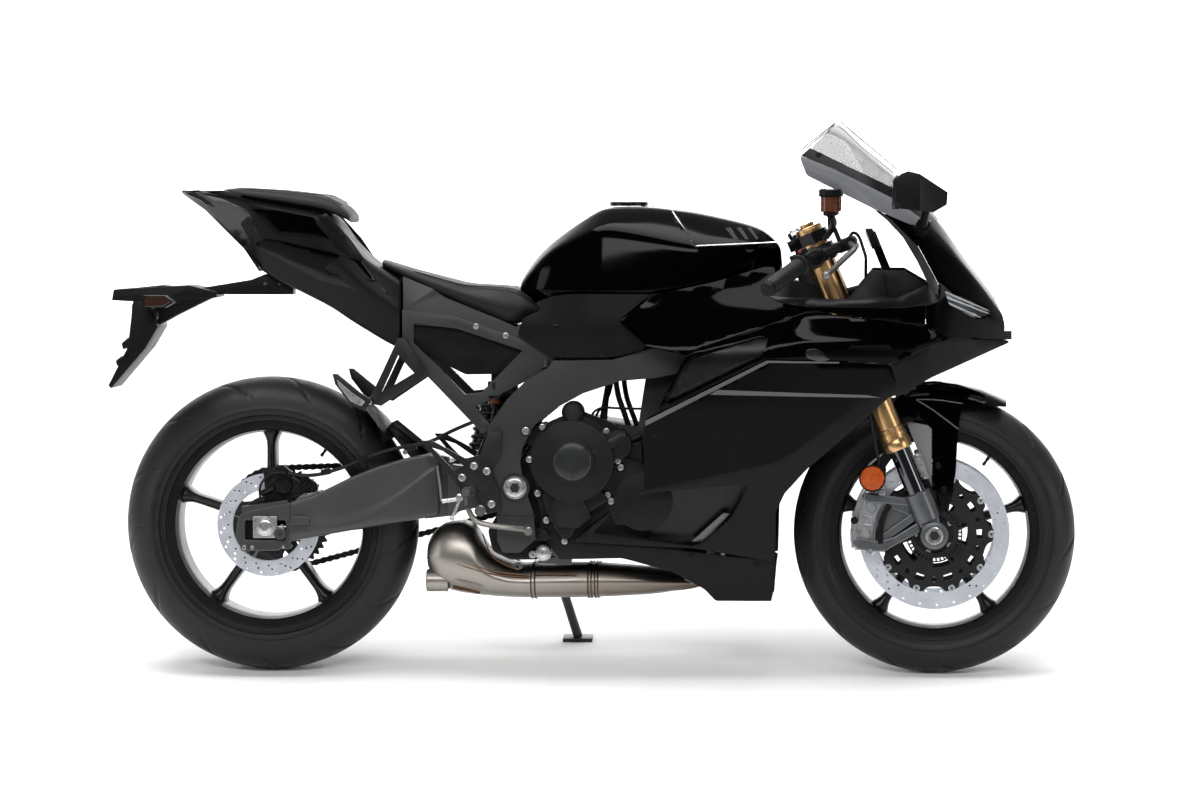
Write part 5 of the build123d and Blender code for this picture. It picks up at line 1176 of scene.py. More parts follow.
for name, rows, node_name, fill in (("rider_seat_cushion", SEAT, "rider_seat", 0.85),
                                    ("pillion_seat_cushion", PILLION, "pillion_seat", 0.9)):
    cushion = hull(name, closed(rows), 12, 10, 3)
    fit(cushion, "chassis", "seat_vinyl", VINYL, node_name)
    stitches = []
    for side in (-1, 1):
        edge = [(x, side * (chain[-1][0] + 3.0), chain[-1][1] - 2.2) for x, *chain in rows[1:-1]]
        stitches.append(seam("seam", split_long(edge, 30, False)))
    fit(join(name + "_seams", stitches), "chassis", "seat_vinyl", THREAD)


# ---------------------------------------------------------------- main frame
# A twin-spar frame of cast and pressed aluminium in satin black, welded to the head tube, with the
# swingarm's pivot through both plates under a plated ring.
FRAME_PAINT = finish("satin_black_frame_paint", "#2A2A2B", 0.36, 0.7, 0.012, spread=0.12, ior=1.42,
                     patch_mm=120)
PLATED = finish("zinc_plated_steel", "#BDBEBE", 0.3, 0.35, 0.006, metallic=1.0, spread=0.18, patch_mm=8)
# A near-black for real joint lines, also used as painted shade in sockets, holes, grooves and recesses.
SHADE_AND_JOINT_BLACK = finish("painted_shade_and_joint_black", "#040404", 0.7, 0.5, 0.01, spread=0.2)
PIVOT, PIVOT_PLATE = Vector((-154, 0, 400)), 146.0


def skin_of(*names):
    """The faces of some nodes, to land small parts on."""
    points, faces = [], []
    for name in names:
        mesh, first = node_solid(name), len(points)
        points += [vertex.co.copy() for vertex in mesh.vertices]
        faces += [tuple(first + i for i in face.vertices) for face in mesh.polygons]
    return BVHTree.FromPolygons(points, faces)


def land(skin, x, z, side=-1, out=0.0):
    """Where a line from the side first meets a skin."""
    hit = skin.ray_cast(Vector((x, side * 600, z)), Vector((0, -side, 0)))[0]
    return (x, (hit.y if hit else side * 120) + side * out, z)


def rod(start, end, radius, sides=24, soft=0.8):
    """A bar with its end edges broken."""
    length = (Vector(end) - Vector(start)).length
    bar = lathe("rod",
                [(0.05, 0), (radius - soft, 0), (radius, soft), (radius, length - soft),
                 (radius - soft, length), (0.05, length)], sides, False)
    bar.data.flip_normals()
    bar.matrix_basis = Matrix.Translation(start) @ facing(Vector(end) - Vector(start), "Y", "Z")
    return bar


frame_skin = skin_of("main_frame")
fit(from_solid("main_frame", 4, 30, 3), "chassis", "frame_paint", FRAME_PAINT, "main_frame")
plated, dark = [], []
for side in (-1, 1):
    plated.append(side_bolt((PIVOT.x, side * PIVOT_PLATE, PIVOT.z), 19.5, 7))
    plated.append(side_bolt(land(frame_skin, -131, 521, side, -0.5), 7.2, 4))
    dark.append(lathe("seat_ring",
                      [(24, side * 144), (31, side * 144), (31, side * 146.8), (24, side * 146.8)], 48))
    dark[-1].location = PIVOT
    # The dark hex inside each pivot bolt's socket is painted shade.
    dark.append(rod((PIVOT.x, side * (PIVOT_PLATE + 3), PIVOT.z),
                    (PIVOT.x, side * (PIVOT_PLATE + 7.3), PIVOT.z), 11.5, 6))
    dark.append(lathe("seat_ring",
                      [(8, side * 144), (12.5, side * 144), (12.5, side * 146.6), (8, side * 146.6)], 32))
    dark[-1].location = (-131, 0, 521)
    joint = prism([(-195, 340.4), (-110, 338.6), (-110, 340.4), (-195, 342.2)], side * 145.6, side * 146.5)
    dark.append(joint)
fit(join("frame_plated_rings", plated), "chassis", "axle_steel", PLATED)
fit(join("frame_joint_lines_and_socket_shade", dark), "chassis", "black_steel", SHADE_AND_JOINT_BLACK)

# ---------------------------------------------------------------- subframe and under-seat tray
# Black welded tubes behind the main frame, with a ribbed moulded tray under the rider's seat. Two
# plated clips sit on each upper rail.
fit(from_solid("subframe", 3, 30, 2), "chassis", "black_steel", FRAME_PAINT, "subframe")
clips = []
for side in (-1, 1):
    for x, z in ((-239, 741), (-176, 722)):
        clips.append(side_bolt((x, side * 117, z), 5, 3))
fit(join("rail_clips", clips), "chassis", "axle_steel", PLATED)
SHELF = [(-396, 744), (-280, 736), (-140, 692), (-76, 668), (-76, 648), (-134, 640), (-262, 638), (-336, 674),
         (-392, 708)]
shelves = [panel("tray_side", SHELF, lambda x, z: 100.5, side, 3, mesh_mm=18,
                 ribs=[([(-380, 716), (-262, 662), (-100, 658)], 2.5, 12)]) for side in (-1, 1)]
fit(join("under_seat_tray", shelves), "chassis", "matt_plastic", MATT)

# ---------------------------------------------------------------- engine
# Die-cast cases painted matt black, the clutch under a round domed cover with a raised centre and a
# clutch arm, held round the rim by plated cap screws. A plated oil fitting sits at the sump.
ENGINE = finish("black_engine_casting", "#0B0B0C", 0.44, 1.3, 0.045, spread=0.15, ior=1.3, patch_mm=45)
COVER = finish("smooth_black_cover_paint", "#212323", 0.26, 0.9, 0.01, spread=0.12, ior=1.38, patch_mm=60)
CLUTCH = Vector((-29, 0, 458))
fit(from_solid("engine_block", 4), "chassis", "engine_alloy", ENGINE, "engine_block")
fit(from_solid("engine_covers", 3), "chassis", "cover_paint", ENGINE, "engine_covers")
RIM_BOLTS = [(-37, 557), (-96, 529), (-124, 460), (-106, 388), (-88, 331), (-49, 287), (40, 520), (64, 458),
             (70, 444), (42, 385), (50, 372)]
FLANGE = [(-104, 499), (-128, 478), (-130, 453), (-116, 418), (-110, 383), (-100, 326), (-84, 295),
          (-55, 277), (-21, 299), (57, 362), (109, 401), (118, 433), (115, 500), (85, 492), (57, 536),
          (25, 548), (-21, 566), (-87, 538)]
case = [plate("case_flange", rounded(FLANGE, 9), [], 12, 2, -126)]
TAIL_COVER = [(-96, 384), (-90, 360), (-69, 314), (-49, 289), (-33, 296), (-17, 332), (5, 349), (46, 374),
              (20, 410), (-70, 410)]
case.append(plate("cover_tail", rounded(TAIL_COVER, 7), [], 30, 4, -147))
dome = lathe("dome",
             [(95, -118), (95, -136), (92, -139), (88.5, -139), (87, -142), (86.6, -150), (82, -163),
              (74, -172), (62, -178), (52, -180), (48.5, -180), (47, -178.6), (45.6, -180), (44, -190),
              (39, -196.4), (36, -197.6), (20, -198.6), (0.05, -199)], 128, False)
dome.location = CLUTCH
cap = lathe("cap",
            [(24, -118), (24, -146), (21.5, -150), (17.5, -150), (16.6, -148.4), (4, -148.8), (0.05, -149)],
            64, False)
cap.location = (-31, 0, 560)
case += [cap, rod((10, -176, 472), (84, -156, 513), 13, 32, 3),
         rod((30, -150, 484), (84, -142, 513), 17, 32, 3), rod((78, -130, 510), (78, -166, 510), 9),
         rod((-91, -118, 300), (-91, -150, 300), 10.6, 32, 2)]
for x, z in RIM_BOLTS:
    case.append(rod((x, -118, z), (x, -143, z), 9.2, 20, 1.5))
    out = Vector((x, 0, z)) - CLUTCH
    if out.length < 120:
        foot = CLUTCH + out * (80 / out.length)
        case.append(prism([(foot.x - out.z * 0.07, foot.z + out.x * 0.07),
                           (x - out.z * 0.06, z + out.x * 0.06), (x + out.z * 0.06, z - out.x * 0.06),
                           (foot.x + out.z * 0.07, foot.z - out.x * 0.07)], -139, -118))
for (x1, z1), (x2, z2) in (((70, 440), (112, 452)), ((66, 420), (104, 408)), ((60, 400), (96, 384)),
                           ((88, 500), (114, 512))):
    case.append(rod((x1, -128, z1), (x2, -130, z2), 5, 12))
case.append(plate("case_rear",
                  rounded([(-216, 306), (-198, 336), (-170, 420), (-98, 539), (-60, 520), (-77, 275),
                           (-99, 244), (-168, 243), (-206, 262)], 8), [], 60, 6, -70))
fit(join("engine_case_edge", case), "chassis", "engine_alloy", ENGINE)
fit(dome, "chassis", "cover_paint", COVER)
# Dark cords on the dome and a dark plate below it are painted shade along the cover's grooves and in a
# recess.
lines = [seam("line",
              [(-1, -197.5, 490), (-14, -199.3, 472), (-24, -199.4, 448), (-30, -198.6, 424),
               (-34, -193, 413)], 1.2),
         seam("line",
              [(-58, -192, 426), (-50, -191, 417), (-42, -184, 406), (-41, -181, 396), (-41, -175, 384)],
              1.3),
         seam("line", [(-34, -192, 412), (-32, -184, 404), (-32, -181, 396), (-32, -175, 384)], 1.3),
         plate("recess_shade", rounded([(-70, 345), (-31, 345), (-36, 327), (-65, 327)], 2), [],
               1, 0.2, -162)]
fit(join("clutch_cover_groove_shade", lines), "chassis", "black_alloy", SHADE_AND_JOINT_BLACK)
heads = [side_bolt((x, -143, z), 5.4, 5.5) for x, z in RIM_BOLTS] + [side_bolt((78, -166, 510), 4.5, 4)]
fitting = lathe("fitting",
                [(14, -118), (17.5, -120), (17.5, -133), (15, -136), (11, -136.5), (10, -141), (6, -142),
                 (0.05, -142)], 64, False,
                lambda turn, row: 0.9 * math.sin(turn * 16) if row in (1, 2) else 0)
fitting.location = (-95, 0, 261)
heads += [fitting, side_bolt((-118, -126, 257), 5, 6), rod((-118, -100, 257), (-118, -127, 257), 8)]
fit(join("engine_plated_screws", heads), "chassis", "axle_steel", PLATED)
HOSE = finish("black_rubber_hose", "#080809", 0.44, 0.8, 0.02, spread=0.2, ior=1.3)
ENGINE_HOSES = (([(40, -70, 660), (38, -72, 600), (30, -76, 510)], 5),
                ([(54, -80, 650), (58, -84, 600), (74, -88, 560), (92, -88, 505)], 6),
                ([(70, -56, 650), (74, -56, 600), (88, -60, 560), (108, -60, 510)], 5.5),
                ([(-4, -90, 520), (2, -92, 552), (24, -94, 570), (66, -94, 566), (112, -94, 566)], 2.6),
                ([(6, -66, 520), (12, -66, 552), (30, -68, 572), (48, -70, 606), (52, -70, 650)], 2.6),
                ([(24, -40, 520), (30, -40, 580), (46, -40, 650)], 7))
fit(join("engine_hoses", [seam("hose", route, radius) for route, radius in ENGINE_HOSES]), "chassis",
    "hose_rubber", HOSE)

# ---------------------------------------------------------------- drive chain
# A 525-size roller chain: pairs of waisted side plates riveted through rollers, one link in two
# narrower than the next, round the wheel's sprocket and a 16-tooth drive sprocket.
CHAIN_STEEL = finish("oiled_chain_steel", "#3C3B3A", 0.36, 0.4, 0.004, metallic=1.0, spread=0.25, patch_mm=9)
DRIVE, DRIVE_TEETH = Vector((-65, 0, 410)), 16
big, small = (TOOTH_PITCH / 2 / math.sin(math.pi / teeth) for teeth in (TEETH, DRIVE_TEETH))
run = Vector((DRIVE.x - REAR_AXLE.x, DRIVE.z - REAR_AXLE.z))
slope, dip = math.atan2(run.y, run.x), math.asin((big - small) / run.length)
top, low = slope + math.pi / 2 - dip, slope - math.pi / 2 + dip
straight = run.length * math.cos(dip)
rear_arc, front_arc = big * (2 * math.pi - top + low), small * (top - low)
loop_length = rear_arc + front_arc + 2 * straight


def on_circle(centre, radius, turn):
    """A place on a sprocket's pitch circle."""
    return Vector((centre.x + radius * math.cos(turn), centre.z + radius * math.sin(turn)))


def on_loop(distance):
    """A place on the pitch line: back round the wheel, forward below, round the drive, back above."""
    distance %= loop_length
    if distance < rear_arc:
        return on_circle(REAR_AXLE, big, top + distance / big)
    distance -= rear_arc
    if distance < straight:
        forward = Vector((math.cos(low + math.pi / 2), math.sin(low + math.pi / 2)))
        return on_circle(REAR_AXLE, big, low) + forward * distance
    distance -= straight
    if distance < front_arc:
        return on_circle(DRIVE, small, low + distance / small)
    back = Vector((math.cos(top + math.pi / 2), math.sin(top + math.pi / 2)))
    return on_circle(DRIVE, small, top) + back * (distance - front_arc)


count = 2 * round(loop_length / TOOTH_PITCH / 2)
pitch, CHEEK_RADIUS, WAIST_HALF = loop_length / count, 7, 4.8
waist = []
for end, first in ((1, -120), (-1, 60)):
    for turn in range(first, first + 241, 40):
        x, z = polar(CHEEK_RADIUS, turn)
        waist.append((end * pitch / 2 + x, z))
    waist.append((0, end * WAIST_HALF))
NARROW, WIDE, CHEEK_THICK, PIN_RADIUS, ROLLER_RADIUS = 5.4, 8.2, 1.9, 2.6, 5.1
links = []
for number in range(count):
    near, far = on_loop(number * pitch), on_loop((number + 1) * pitch)
    middle, turn = (near + far) / 2, math.atan2(far.y - near.y, far.x - near.x)
    out = WIDE if number % 2 else NARROW
    for side in (-1, 1):
        cheek = plate("cheek", waist, [], CHEEK_THICK)
        spot = (middle.x, CHAIN_Y + side * out, middle.y)
        cheek.matrix_basis = Matrix.Translation(spot) @ Matrix.Rotation(-turn, 4, "Y")
        links.append(cheek)
    for half, radius, sides in ((9.6, PIN_RADIUS, 8), (4.4, ROLLER_RADIUS, 12)):
        links.append(rod((near.x, CHAIN_Y - half, near.y), (near.x, CHAIN_Y + half, near.y), radius, sides,
                         0.3))
fit(join("drive_chain_links", links), "chassis", "chain_steel", CHAIN_STEEL, "drive_chain")
pinion = sprocket(DRIVE_TEETH, 6.6, [ring(11, 20)])
pinion.location.y = CHAIN_Y
nut = lathe("nut", [(11, CHAIN_Y - 18), (19, CHAIN_Y - 18), (19, CHAIN_Y + 8), (11, CHAIN_Y + 8)], 6)
shaft = lathe("shaft", [(0.05, 82), (11.5, 82), (11.5, CHAIN_Y + 10), (0.05, CHAIN_Y + 10)], 24, False)
pinion = join("drive_sprocket", [pinion, nut, shaft])
pinion.location = DRIVE
fit(pinion, "chassis", "sprocket_steel", SPROCKET)

# ---------------------------------------------------------------- swingarm
# A pressed and welded aluminium arm in satin black. The right leg swells along one crease and ends in
# a cast block with a slot, where a square plated plate and a screw set the axle.
ARM_PAINT = finish("satin_black_arm_paint", "#363637", 0.34, 0.7, 0.01, spread=0.12, ior=1.42, patch_mm=130)
arm = from_solid("swingarm", 0)
carve(arm, prism([(-800, 200), (-350, 200), (-350, 520), (-800, 520)], -220, -90))
carve(arm, prism([(-352, 200), (-300, 200), (-300, 520), (-352, 520)], -220, -97))
fit(ease(arm, 4, 30, 3), "chassis", "frame_paint", ARM_PAINT, "swingarm")
# The right leg's stations: x, the heights of bottom, crease, shoulder and top, half width, middle
ARM_ROWS = ((-640, 282, 306, 334, 365, 17, -121), (-579, 293, 312, 336, 384, 17, -121),
            (-505, 306, 318, 344, 421, 17, -118), (-450, 316, 345, 365, 443, 16.5, -116),
            (-394, 325, 384, 396, 460, 15.5, -114), (-345, 333, 424, 434, 470, 15, -112),
            (-318, 338, 440, 448, 464, 15, -104))
leg_stations = []
for x, bottom, crease, upper, top, wide, _ in ARM_ROWS:
    leg_stations.append((x, (wide * 0.72, bottom), (wide * 0.94, bottom + 9), (wide, crease),
                         (wide * 0.8, upper), (wide * 0.7, top - 6), (wide * 0.55, top)))
leg_skin = hull("swingarm_leg", leg_stations, 8, 4, 2)
for vertex in leg_skin.data.vertices:
    x = vertex.co.x
    for one, other in zip(ARM_ROWS, ARM_ROWS[1:]):
        if one[0] <= x <= other[0] or other is ARM_ROWS[-1]:
            vertex.co.y += between(one[6], other[6], min(1, max(0, (x - one[0]) / (other[0] - one[0]))))
            break
END_BLOCK = [(-745, 337), (-728, 346), (-700, 353), (-641, 365), (-634, 365), (-634, 282), (-640, 274),
             (-660, 264), (-736, 262), (-752, 290)]
END_SLOT = [(-731, 328), (-644, 328), (-644, 286), (-731, 286)]
end_parts = [plate("arm_end", rounded(END_BLOCK, 5), [rounded(END_SLOT, 4)], 32, 2.5, -120),
             plate("boss", rounded([(-632, 338), (-592, 336), (-592, 318), (-632, 318)], 5), [], 12, 2, -137),
             prism([(-739, 357), (-640, 371), (-640, 366), (-739, 341)], -134, -112),
             rod((-655, -134, 300), (-655, -146, 300), 13, 28, 1.5)]
for x, z in ((-733, 270), (-640, 274)):
    end_parts.append(rod((x, -108, z), (x, -139, z), 8))
fit(join("swingarm_right_leg", [leg_skin] + end_parts), "chassis", "frame_paint", ARM_PAINT)
# A dark rod in the boss's threaded hole is painted shade.
fit(join("stand_thread_hole_shade", [rod((-655, -146.4, 300), (-655, -140, 300), 4.2)]), "chassis", "black_steel",
    SHADE_AND_JOINT_BLACK)
AXLE_SPOT = (REAR_AXLE.x, REAR_AXLE.z)
axle_metal = [plate("axle_plate", rounded([(-713, 337), (-662, 337), (-662, 291), (-713, 291)], 2),
                    [ring(12, 24, AXLE_SPOT)], 6, 0.8, -139), side_bolt((-687, -141, 315), 14, 10),
              rod((-668, -126, 313), (-640, -126, 313), 4),
              lathe("adjuster_nut", [(4, -2.8), (7.5, -2.8), (7.5, 2.8), (4, 2.8)], 6),
              side_bolt((-716, -136, 270), 3.2, 3), side_bolt((-648, -136, 272), 3.2, 3),
              side_bolt((-733, -139, 270), 4, 2)]
axle_metal[3].matrix_basis = placed((-652, -126, 313), 90, "Z")
axle_metal.append(plate("axle_plate", rounded([(-713, 337), (-662, 337), (-662, 293), (-713, 293)], 2),
                        [ring(12, 24, AXLE_SPOT)], 6, 0.8, 152))
axle_metal.append(side_bolt((-687, 154, 315), 14, 8))
fit(join("rear_axle_fittings", axle_metal), "chassis", "axle_steel", PLATED)
fit(from_solid("chassis_shafts", 1), "chassis", "axle_steel", PLATED, "chassis_shafts")



def speed_ring(name, rim_radius, bore, slot_inner, slot_outer, half_slot, y):
    """The slotted ring that a wheel's speed sensor reads, 40 slots round."""
    slots = [arc_slot(slot_inner, slot_outer, n * 9 - half_slot, n * 9 + half_slot, 2) for n in range(40)]
    return plate(name, ring(rim_radius, 96), [bore] + slots, 2, 0.3, y)


toothed = speed_ring("rear_speed_ring", 59, ring(34, 40), 50, 56, 2.4, -91.6)
toothed.location += REAR_AXLE
fit(toothed, "rear_wheel", "sprocket_steel", CARRIER)

# ---------------------------------------------------------------- rear brake
# One small black caliper on a plated bracket over the axle, its hose looped to the arm and clipped
# along the arm's top edge.
CALIPER_BLACK = finish("black_anodised_caliper", "#0B0B0C", 0.3, 0.9, 0.014, spread=0.2, ior=1.34,
                       patch_mm=20)
fit(from_solid("rear_caliper", 2), "chassis", "caliper_black", CALIPER_BLACK, "rear_caliper")
BODY = [(-697, 385), (-681, 403), (-665, 417), (-675, 440), (-654, 446), (-632, 428), (-608, 424),
        (-580, 406), (-578, 389), (-612, 384), (-640, 381)]
piston_cap = lathe("piston_cap",
                   [(19, -106), (19, -111), (17, -114), (12, -114), (11, -112.6), (0.05, -112.6)], 48, False)
slide_cap = lathe("slide_cap", [(10, -106), (10, -112), (8, -114), (3, -114), (2.6, -111), (0.05, -111)], 32,
                  False)
piston_cap.location, slide_cap.location = (-651, 0, 400), (-601, 0, 402)
body_parts = [plate("half", rounded(BODY, 6), [], 13, 2.5, -100.5), piston_cap, slide_cap,
              rod((-700, -108, 383), (-672, -110, 396), 6.5), rod((-632, -110, 420), (-615, -110, 408), 5)]
fit(join("rear_caliper_body", body_parts), "chassis", "caliper_black", CALIPER_BLACK)
bracket = plate("bracket",
                rounded([(-703, 356), (-684, 376), (-636, 372), (-599, 383), (-574, 391), (-571, 380),
                         (-631, 362), (-684, 346)], 3), [ring(5, 14, (-650, 364))], 6, 0.8, -100)
fit(join("rear_caliper_bracket", [bracket, side_bolt((-579, -103, 385), 5, 5)]), "chassis", "axle_steel",
    PLATED)
sensor = hull("speed_sensor",
              [(-25, (4, -6), (7, 0), (4, 6)), (-14, (7, -12), (9, 0), (7, 12)),
               (14, (7, -12), (9, 0), (7, 12)), (25, (4, -6), (7, 0), (4, 6))], 5, 4, 2)
sensor.matrix_basis = placed((-711, -108, 359), -32, "Y")
fit(sensor, "chassis", "matt_plastic", HOSE)
hoses = [seam("hose",
              [(-646, -112, 428), (-672, -116, 432), (-694, -116, 414), (-704, -116, 392), (-700, -114, 372)],
              2.6),
         seam("hose",
              [(-640, -112, 428), (-600, -118, 418), (-526, -116, 438), (-479, -114, 460), (-416, -112, 481),
               (-356, -110, 490), (-325, -110, 500), (-290, -112, 520), (-240, -112, 540)], 4)]
for x, z, turn in ((-479, 459, 24), (-376, 482, 12), (-560, 430, 12)):
    clip = prism(rounded([(-10, -6), (10, -6), (10, 7), (-10, 7)], 2), -8, 8)
    clip.matrix_basis = placed((x, -113, z), -turn, "Y")
    hoses.append(clip)
fit(join("rear_brake_hose", hoses), "chassis", "hose_rubber", HOSE)
RESERVOIR_BROWN = finish("amber_reservoir_plastic", "#4A230D", 0.26, 0.5, 0.006, coat=0.2, spread=0.15,
                         patch_mm=30)
CUP_SIZES = ((576, 606, 12.5, 32, 2), (606, 624, 14.5, 32, 2), (566, 577, 6, 24, 0.8))
cup, lid, neck = (rod((-201, -104, low), (-201, -104, high), *size) for low, high, *size in CUP_SIZES)
strap = prism([(-212, 588), (-190, 588), (-190, 594), (-212, 594)], -118, -104)
feed = seam("hose", [(-201, -104, 568), (-204, -106, 530), (-236, -110, 470), (-256, -120, 400)], 4)
fit(cup, "chassis", "switch_plastic", RESERVOIR_BROWN)
fit(join("rear_reservoir_lid", [lid, neck, strap, feed]), "chassis", "matt_plastic", HOSE)

# ---------------------------------------------------------------- shock absorber and hugger
# A single gas shock with a black coil spring over its body, and a moulded inner mudguard over the
# tyre, held to the arm by one plated screw.
fit(from_solid("shock_absorber", 2), "chassis", "black_alloy", CALIPER_BLACK, "shock_absorber")
coil, COIL_STEPS, COIL_TURNS = [], 120, 7
for step in range(COIL_STEPS + 1):
    turn, share = step / COIL_STEPS * 2 * math.pi * COIL_TURNS, step / COIL_STEPS
    coil.append((-230 + 28 * share + 33 * math.cos(turn), 33 * math.sin(turn), 476 + 118 * share))
fit(seam("spring", coil, 4.6), "chassis", "black_alloy", FRAME_PAINT)
fit(from_solid("rear_hugger", 1), "chassis", "matt_plastic", MATT, "rear_hugger")
fit(side_bolt((-392, -100, 472), 4.5, 3), "chassis", "axle_steel", PLATED)

# ---------------------------------------------------------------- fork
# An upside-down fork: gold anodised outer tubes with turned collars above hard-chromed stanchions,
# each in a cast foot with ribbed arms that carry the caliper.
RAKE = 22.6
FORK = placed(FRONT_AXLE, -RAKE, "Y")
UP_LEG = Matrix.Rotation(math.radians(90), 4, "X")
FORK_Y = 105.0
GOLD = ground_steel("gold_anodised_aluminium", "#C6A070", 0.3, 2.5)
CHROME = finish("dark_chromed_steel", "#55565A", 0.1, 0.4, 0.0008, metallic=1.0, spread=0.1)
CAST = finish("shot_blasted_casting", "#5A5C5E", 0.4, 1.0, 0.03, metallic=0.85, spread=0.12, patch_mm=18)


def in_fork(piece):
    """Leans a piece drawn with the fork's legs upright and the axle at the origin."""
    piece.matrix_basis = FORK @ piece.matrix_basis
    return piece


# The cast ribs of a foot: outline, thickness, bevel and distance from the middle of the bike
FOOT_RIBS = (([(-16, 8), (-22, 34), (-20, 70), (22, 70), (24, 30), (18, 4)], 30, 4, 105),
             ([(-18, 92), (-20, 74), (-60, 96), (-104, 118), (-112, 132), (-98, 138), (-60, 116)], 15, 3.5,
              108), ([(-20, 78), (-24, 44), (-88, 32), (-116, 30), (-92, 104), (-60, 94)], 7, 2, 102),
             ([(-22, 84), (-30, 56), (-66, 90), (-82, 112), (-72, 114), (-46, 94)], 12, 3, 106.5),
             ([(-20, 40), (-22, 18), (-80, 12), (-112, 8), (-160, 34), (-166, 50), (-152, 58), (-112, 34),
               (-80, 30)], 17, 3.5, 108),
             ([(-24, 62), (-26, 44), (-96, 28), (-120, 34), (-112, 42)], 12, 3, 107))
tubes, chromes, feet, top_caps = [], [], [], []
for side in (-1, 1):
    place = FORK @ Matrix.Translation((0, side * FORK_Y, 0)) @ UP_LEG
    tube = lathe("tube",
                 [(22, 197), (30, 196.5), (30.8, 198), (30.8, 215), (29.5, 217.5), (29.5, 221), (28, 221.8),
                  (28, 224.4), (29.6, 225.4), (29.6, 233), (28, 234), (28, 236.4), (29, 237.4), (28.6, 244),
                  (27, 246), (27, 699), (26, 700), (22, 700)], 72)
    stanchion = lathe("stanchion", [(21.5, 90), (21.5, 300), (20, 300), (20, 90)], 64)
    foot = lathe("foot", [(21.8, 98), (26.6, 98), (28.8, 96), (29, 60), (27, 34), (0.05, 30)], 64, False)
    top_cap = lathe("cap",
                    [(26.4, 698), (26.4, 703), (25, 704.5), (16, 704.5), (15, 703), (13, 703), (13, 712),
                     (11.8, 713.5), (0.05, 713.5)], 48, False)
    for piece, group in ((tube, tubes), (stanchion, chromes), (foot, feet), (top_cap, top_caps)):
        piece.matrix_basis = place
        group.append(piece)
    boss = lathe("boss", [(13, -20), (24, -21), (29, -18.5), (29.6, 16), (29.6, 19), (13, 19)], 64)
    boss.matrix_basis = FORK @ placed((0, side * FORK_Y, 0), 180 if side > 0 else 0, "Z")
    feet.append(boss)
    for outline, thick, bevel, y in FOOT_RIBS:
        feet.append(in_fork(plate("rib", rounded(outline, 5), [], thick, bevel, side * y)))
fit(join("fork_tubes", tubes), "steering", "gold_anodised", GOLD, "fork_outers")
fit(join("fork_stanchions", chromes), "steering", "axle_steel", CHROME)
fit(join("fork_feet", feet), "steering", "cast_alloy", CAST, "fork_sliders")
fit(join("fork_caps", top_caps), "steering", "gold_anodised", GOLD)
fit(from_solid("front_axle", 1), "steering", "axle_steel", PLATED, "front_axle")
# Each axle end gets a plated collar and, inside it, a dark hex that is painted shade in the axle's hollow.
axle_ends, axle_hollows = [], []
for side in (-1, 1):
    collar = lathe("collar", [(11.5, 121), (11.5, 130.5), (13, 132.5), (17, 132.5), (18.5, 131), (18.5, 121)],
                   48)
    collar.matrix_basis = placed(FRONT_AXLE, 180 if side < 0 else 0, "Z")
    axle_ends.append(collar)
    inner, outer = (FRONT_AXLE + Vector((0, side * y, 0)) for y in (118, 130.6))
    axle_hollows.append(rod(inner, outer, 10.6, 6))
fit(join("front_axle_ends", axle_ends), "steering", "axle_steel", PLATED)
fit(join("front_axle_socket_shade", axle_hollows), "steering", "axle_steel", SHADE_AND_JOINT_BLACK)
slots_ring = speed_ring("front_speed_ring", 60, ring(40, 48), 50, 57, 2.6, -73)
slots_ring.location += FRONT_AXLE
fit(slots_ring, "front_wheel", "sprocket_steel", CARRIER)

# ---------------------------------------------------------------- front calipers
# Four-piston radial calipers, each machined from one block and left satin silver, over black pads.
# Two plated bolts hold each one to the arms of the fork's foot.
CALIPER = finish("satin_machined_caliper", "#B0B2B5", 0.3, 0.8, 0.012, metallic=0.95, spread=0.12,
                 patch_mm=14)
CALIPER_TURN = 145.0


def bent(inner, outer, half_span):
    """The outline of a block bent round the axle."""
    turns = [CALIPER_TURN - half_span + half_span * i / 4 for i in range(9)]
    return [polar(outer, t) for t in turns] + [polar(inner, t) for t in reversed(turns)]


silver, pads_and_shade, hardware = [], [], []
for side in (-1, 1):
    for outline, thick, bevel, y in ((bent(122, 171, 24), 27, 4, 90), (bent(128, 166, 21), 6, 2.5, 103),
                                     (bent(122, 171, 24), 15, 3, 50), (bent(167, 178, 22), 58, 3, 73),
                                     (bent(134, 152, 4), 8, 2, 105.5)):
        silver.append(in_fork(plate("block", rounded(outline, 3, 2), [], thick, bevel, side * y)))
    for turn in (-12, 12):
        x, z = polar(146, CALIPER_TURN + turn)
        port = lathe("port",
                     [(0.05, 108), (11, 108), (12.5, 106.5), (12.5, 100), (14.5, 100), (14.5, 104)][::-1], 40,
                     False)
        port.matrix_basis = placed((x, 0, z), 180 if side < 0 else 0, "Z")
        silver.append(in_fork(port))
    # The two thin blocks are the pads; the third, 22 mm thick, is a dark block of painted shade between the
    # caliper body and the fork's arms.
    for outline, thick, bevel, y in ((bent(107, 124, 19), 8, 1.2, 77), (bent(107, 124, 19), 6, 1.2, 56),
                                     (bent(108, 121, 22), 22, 2, 106)):
        pads_and_shade.append(in_fork(plate("pad", rounded(outline, 2), [], thick, bevel, side * y)))
    for turn, reach in ((-27, 143), (27, 140)):
        x, z = polar(reach, CALIPER_TURN + turn)
        hardware.append(in_fork(side_bolt((x, side * 112, z), 6, 6)))
        silver.append(in_fork(rod((x, side * 88, z), (x, side * 113, z), 9.5, 24, 2)))
    x, z = polar(172, 147)
    pads_and_shade.append(in_fork(rod((x, side * 94, z), (x, side * 112, z), 8, 20, 1.5)))
fit(join("front_calipers_machined", silver), "steering", "cast_alloy", CALIPER, "front_calipers")
fit(join("front_brake_pads_and_painted_shade", pads_and_shade), "steering", "black_alloy", CALIPER_BLACK)

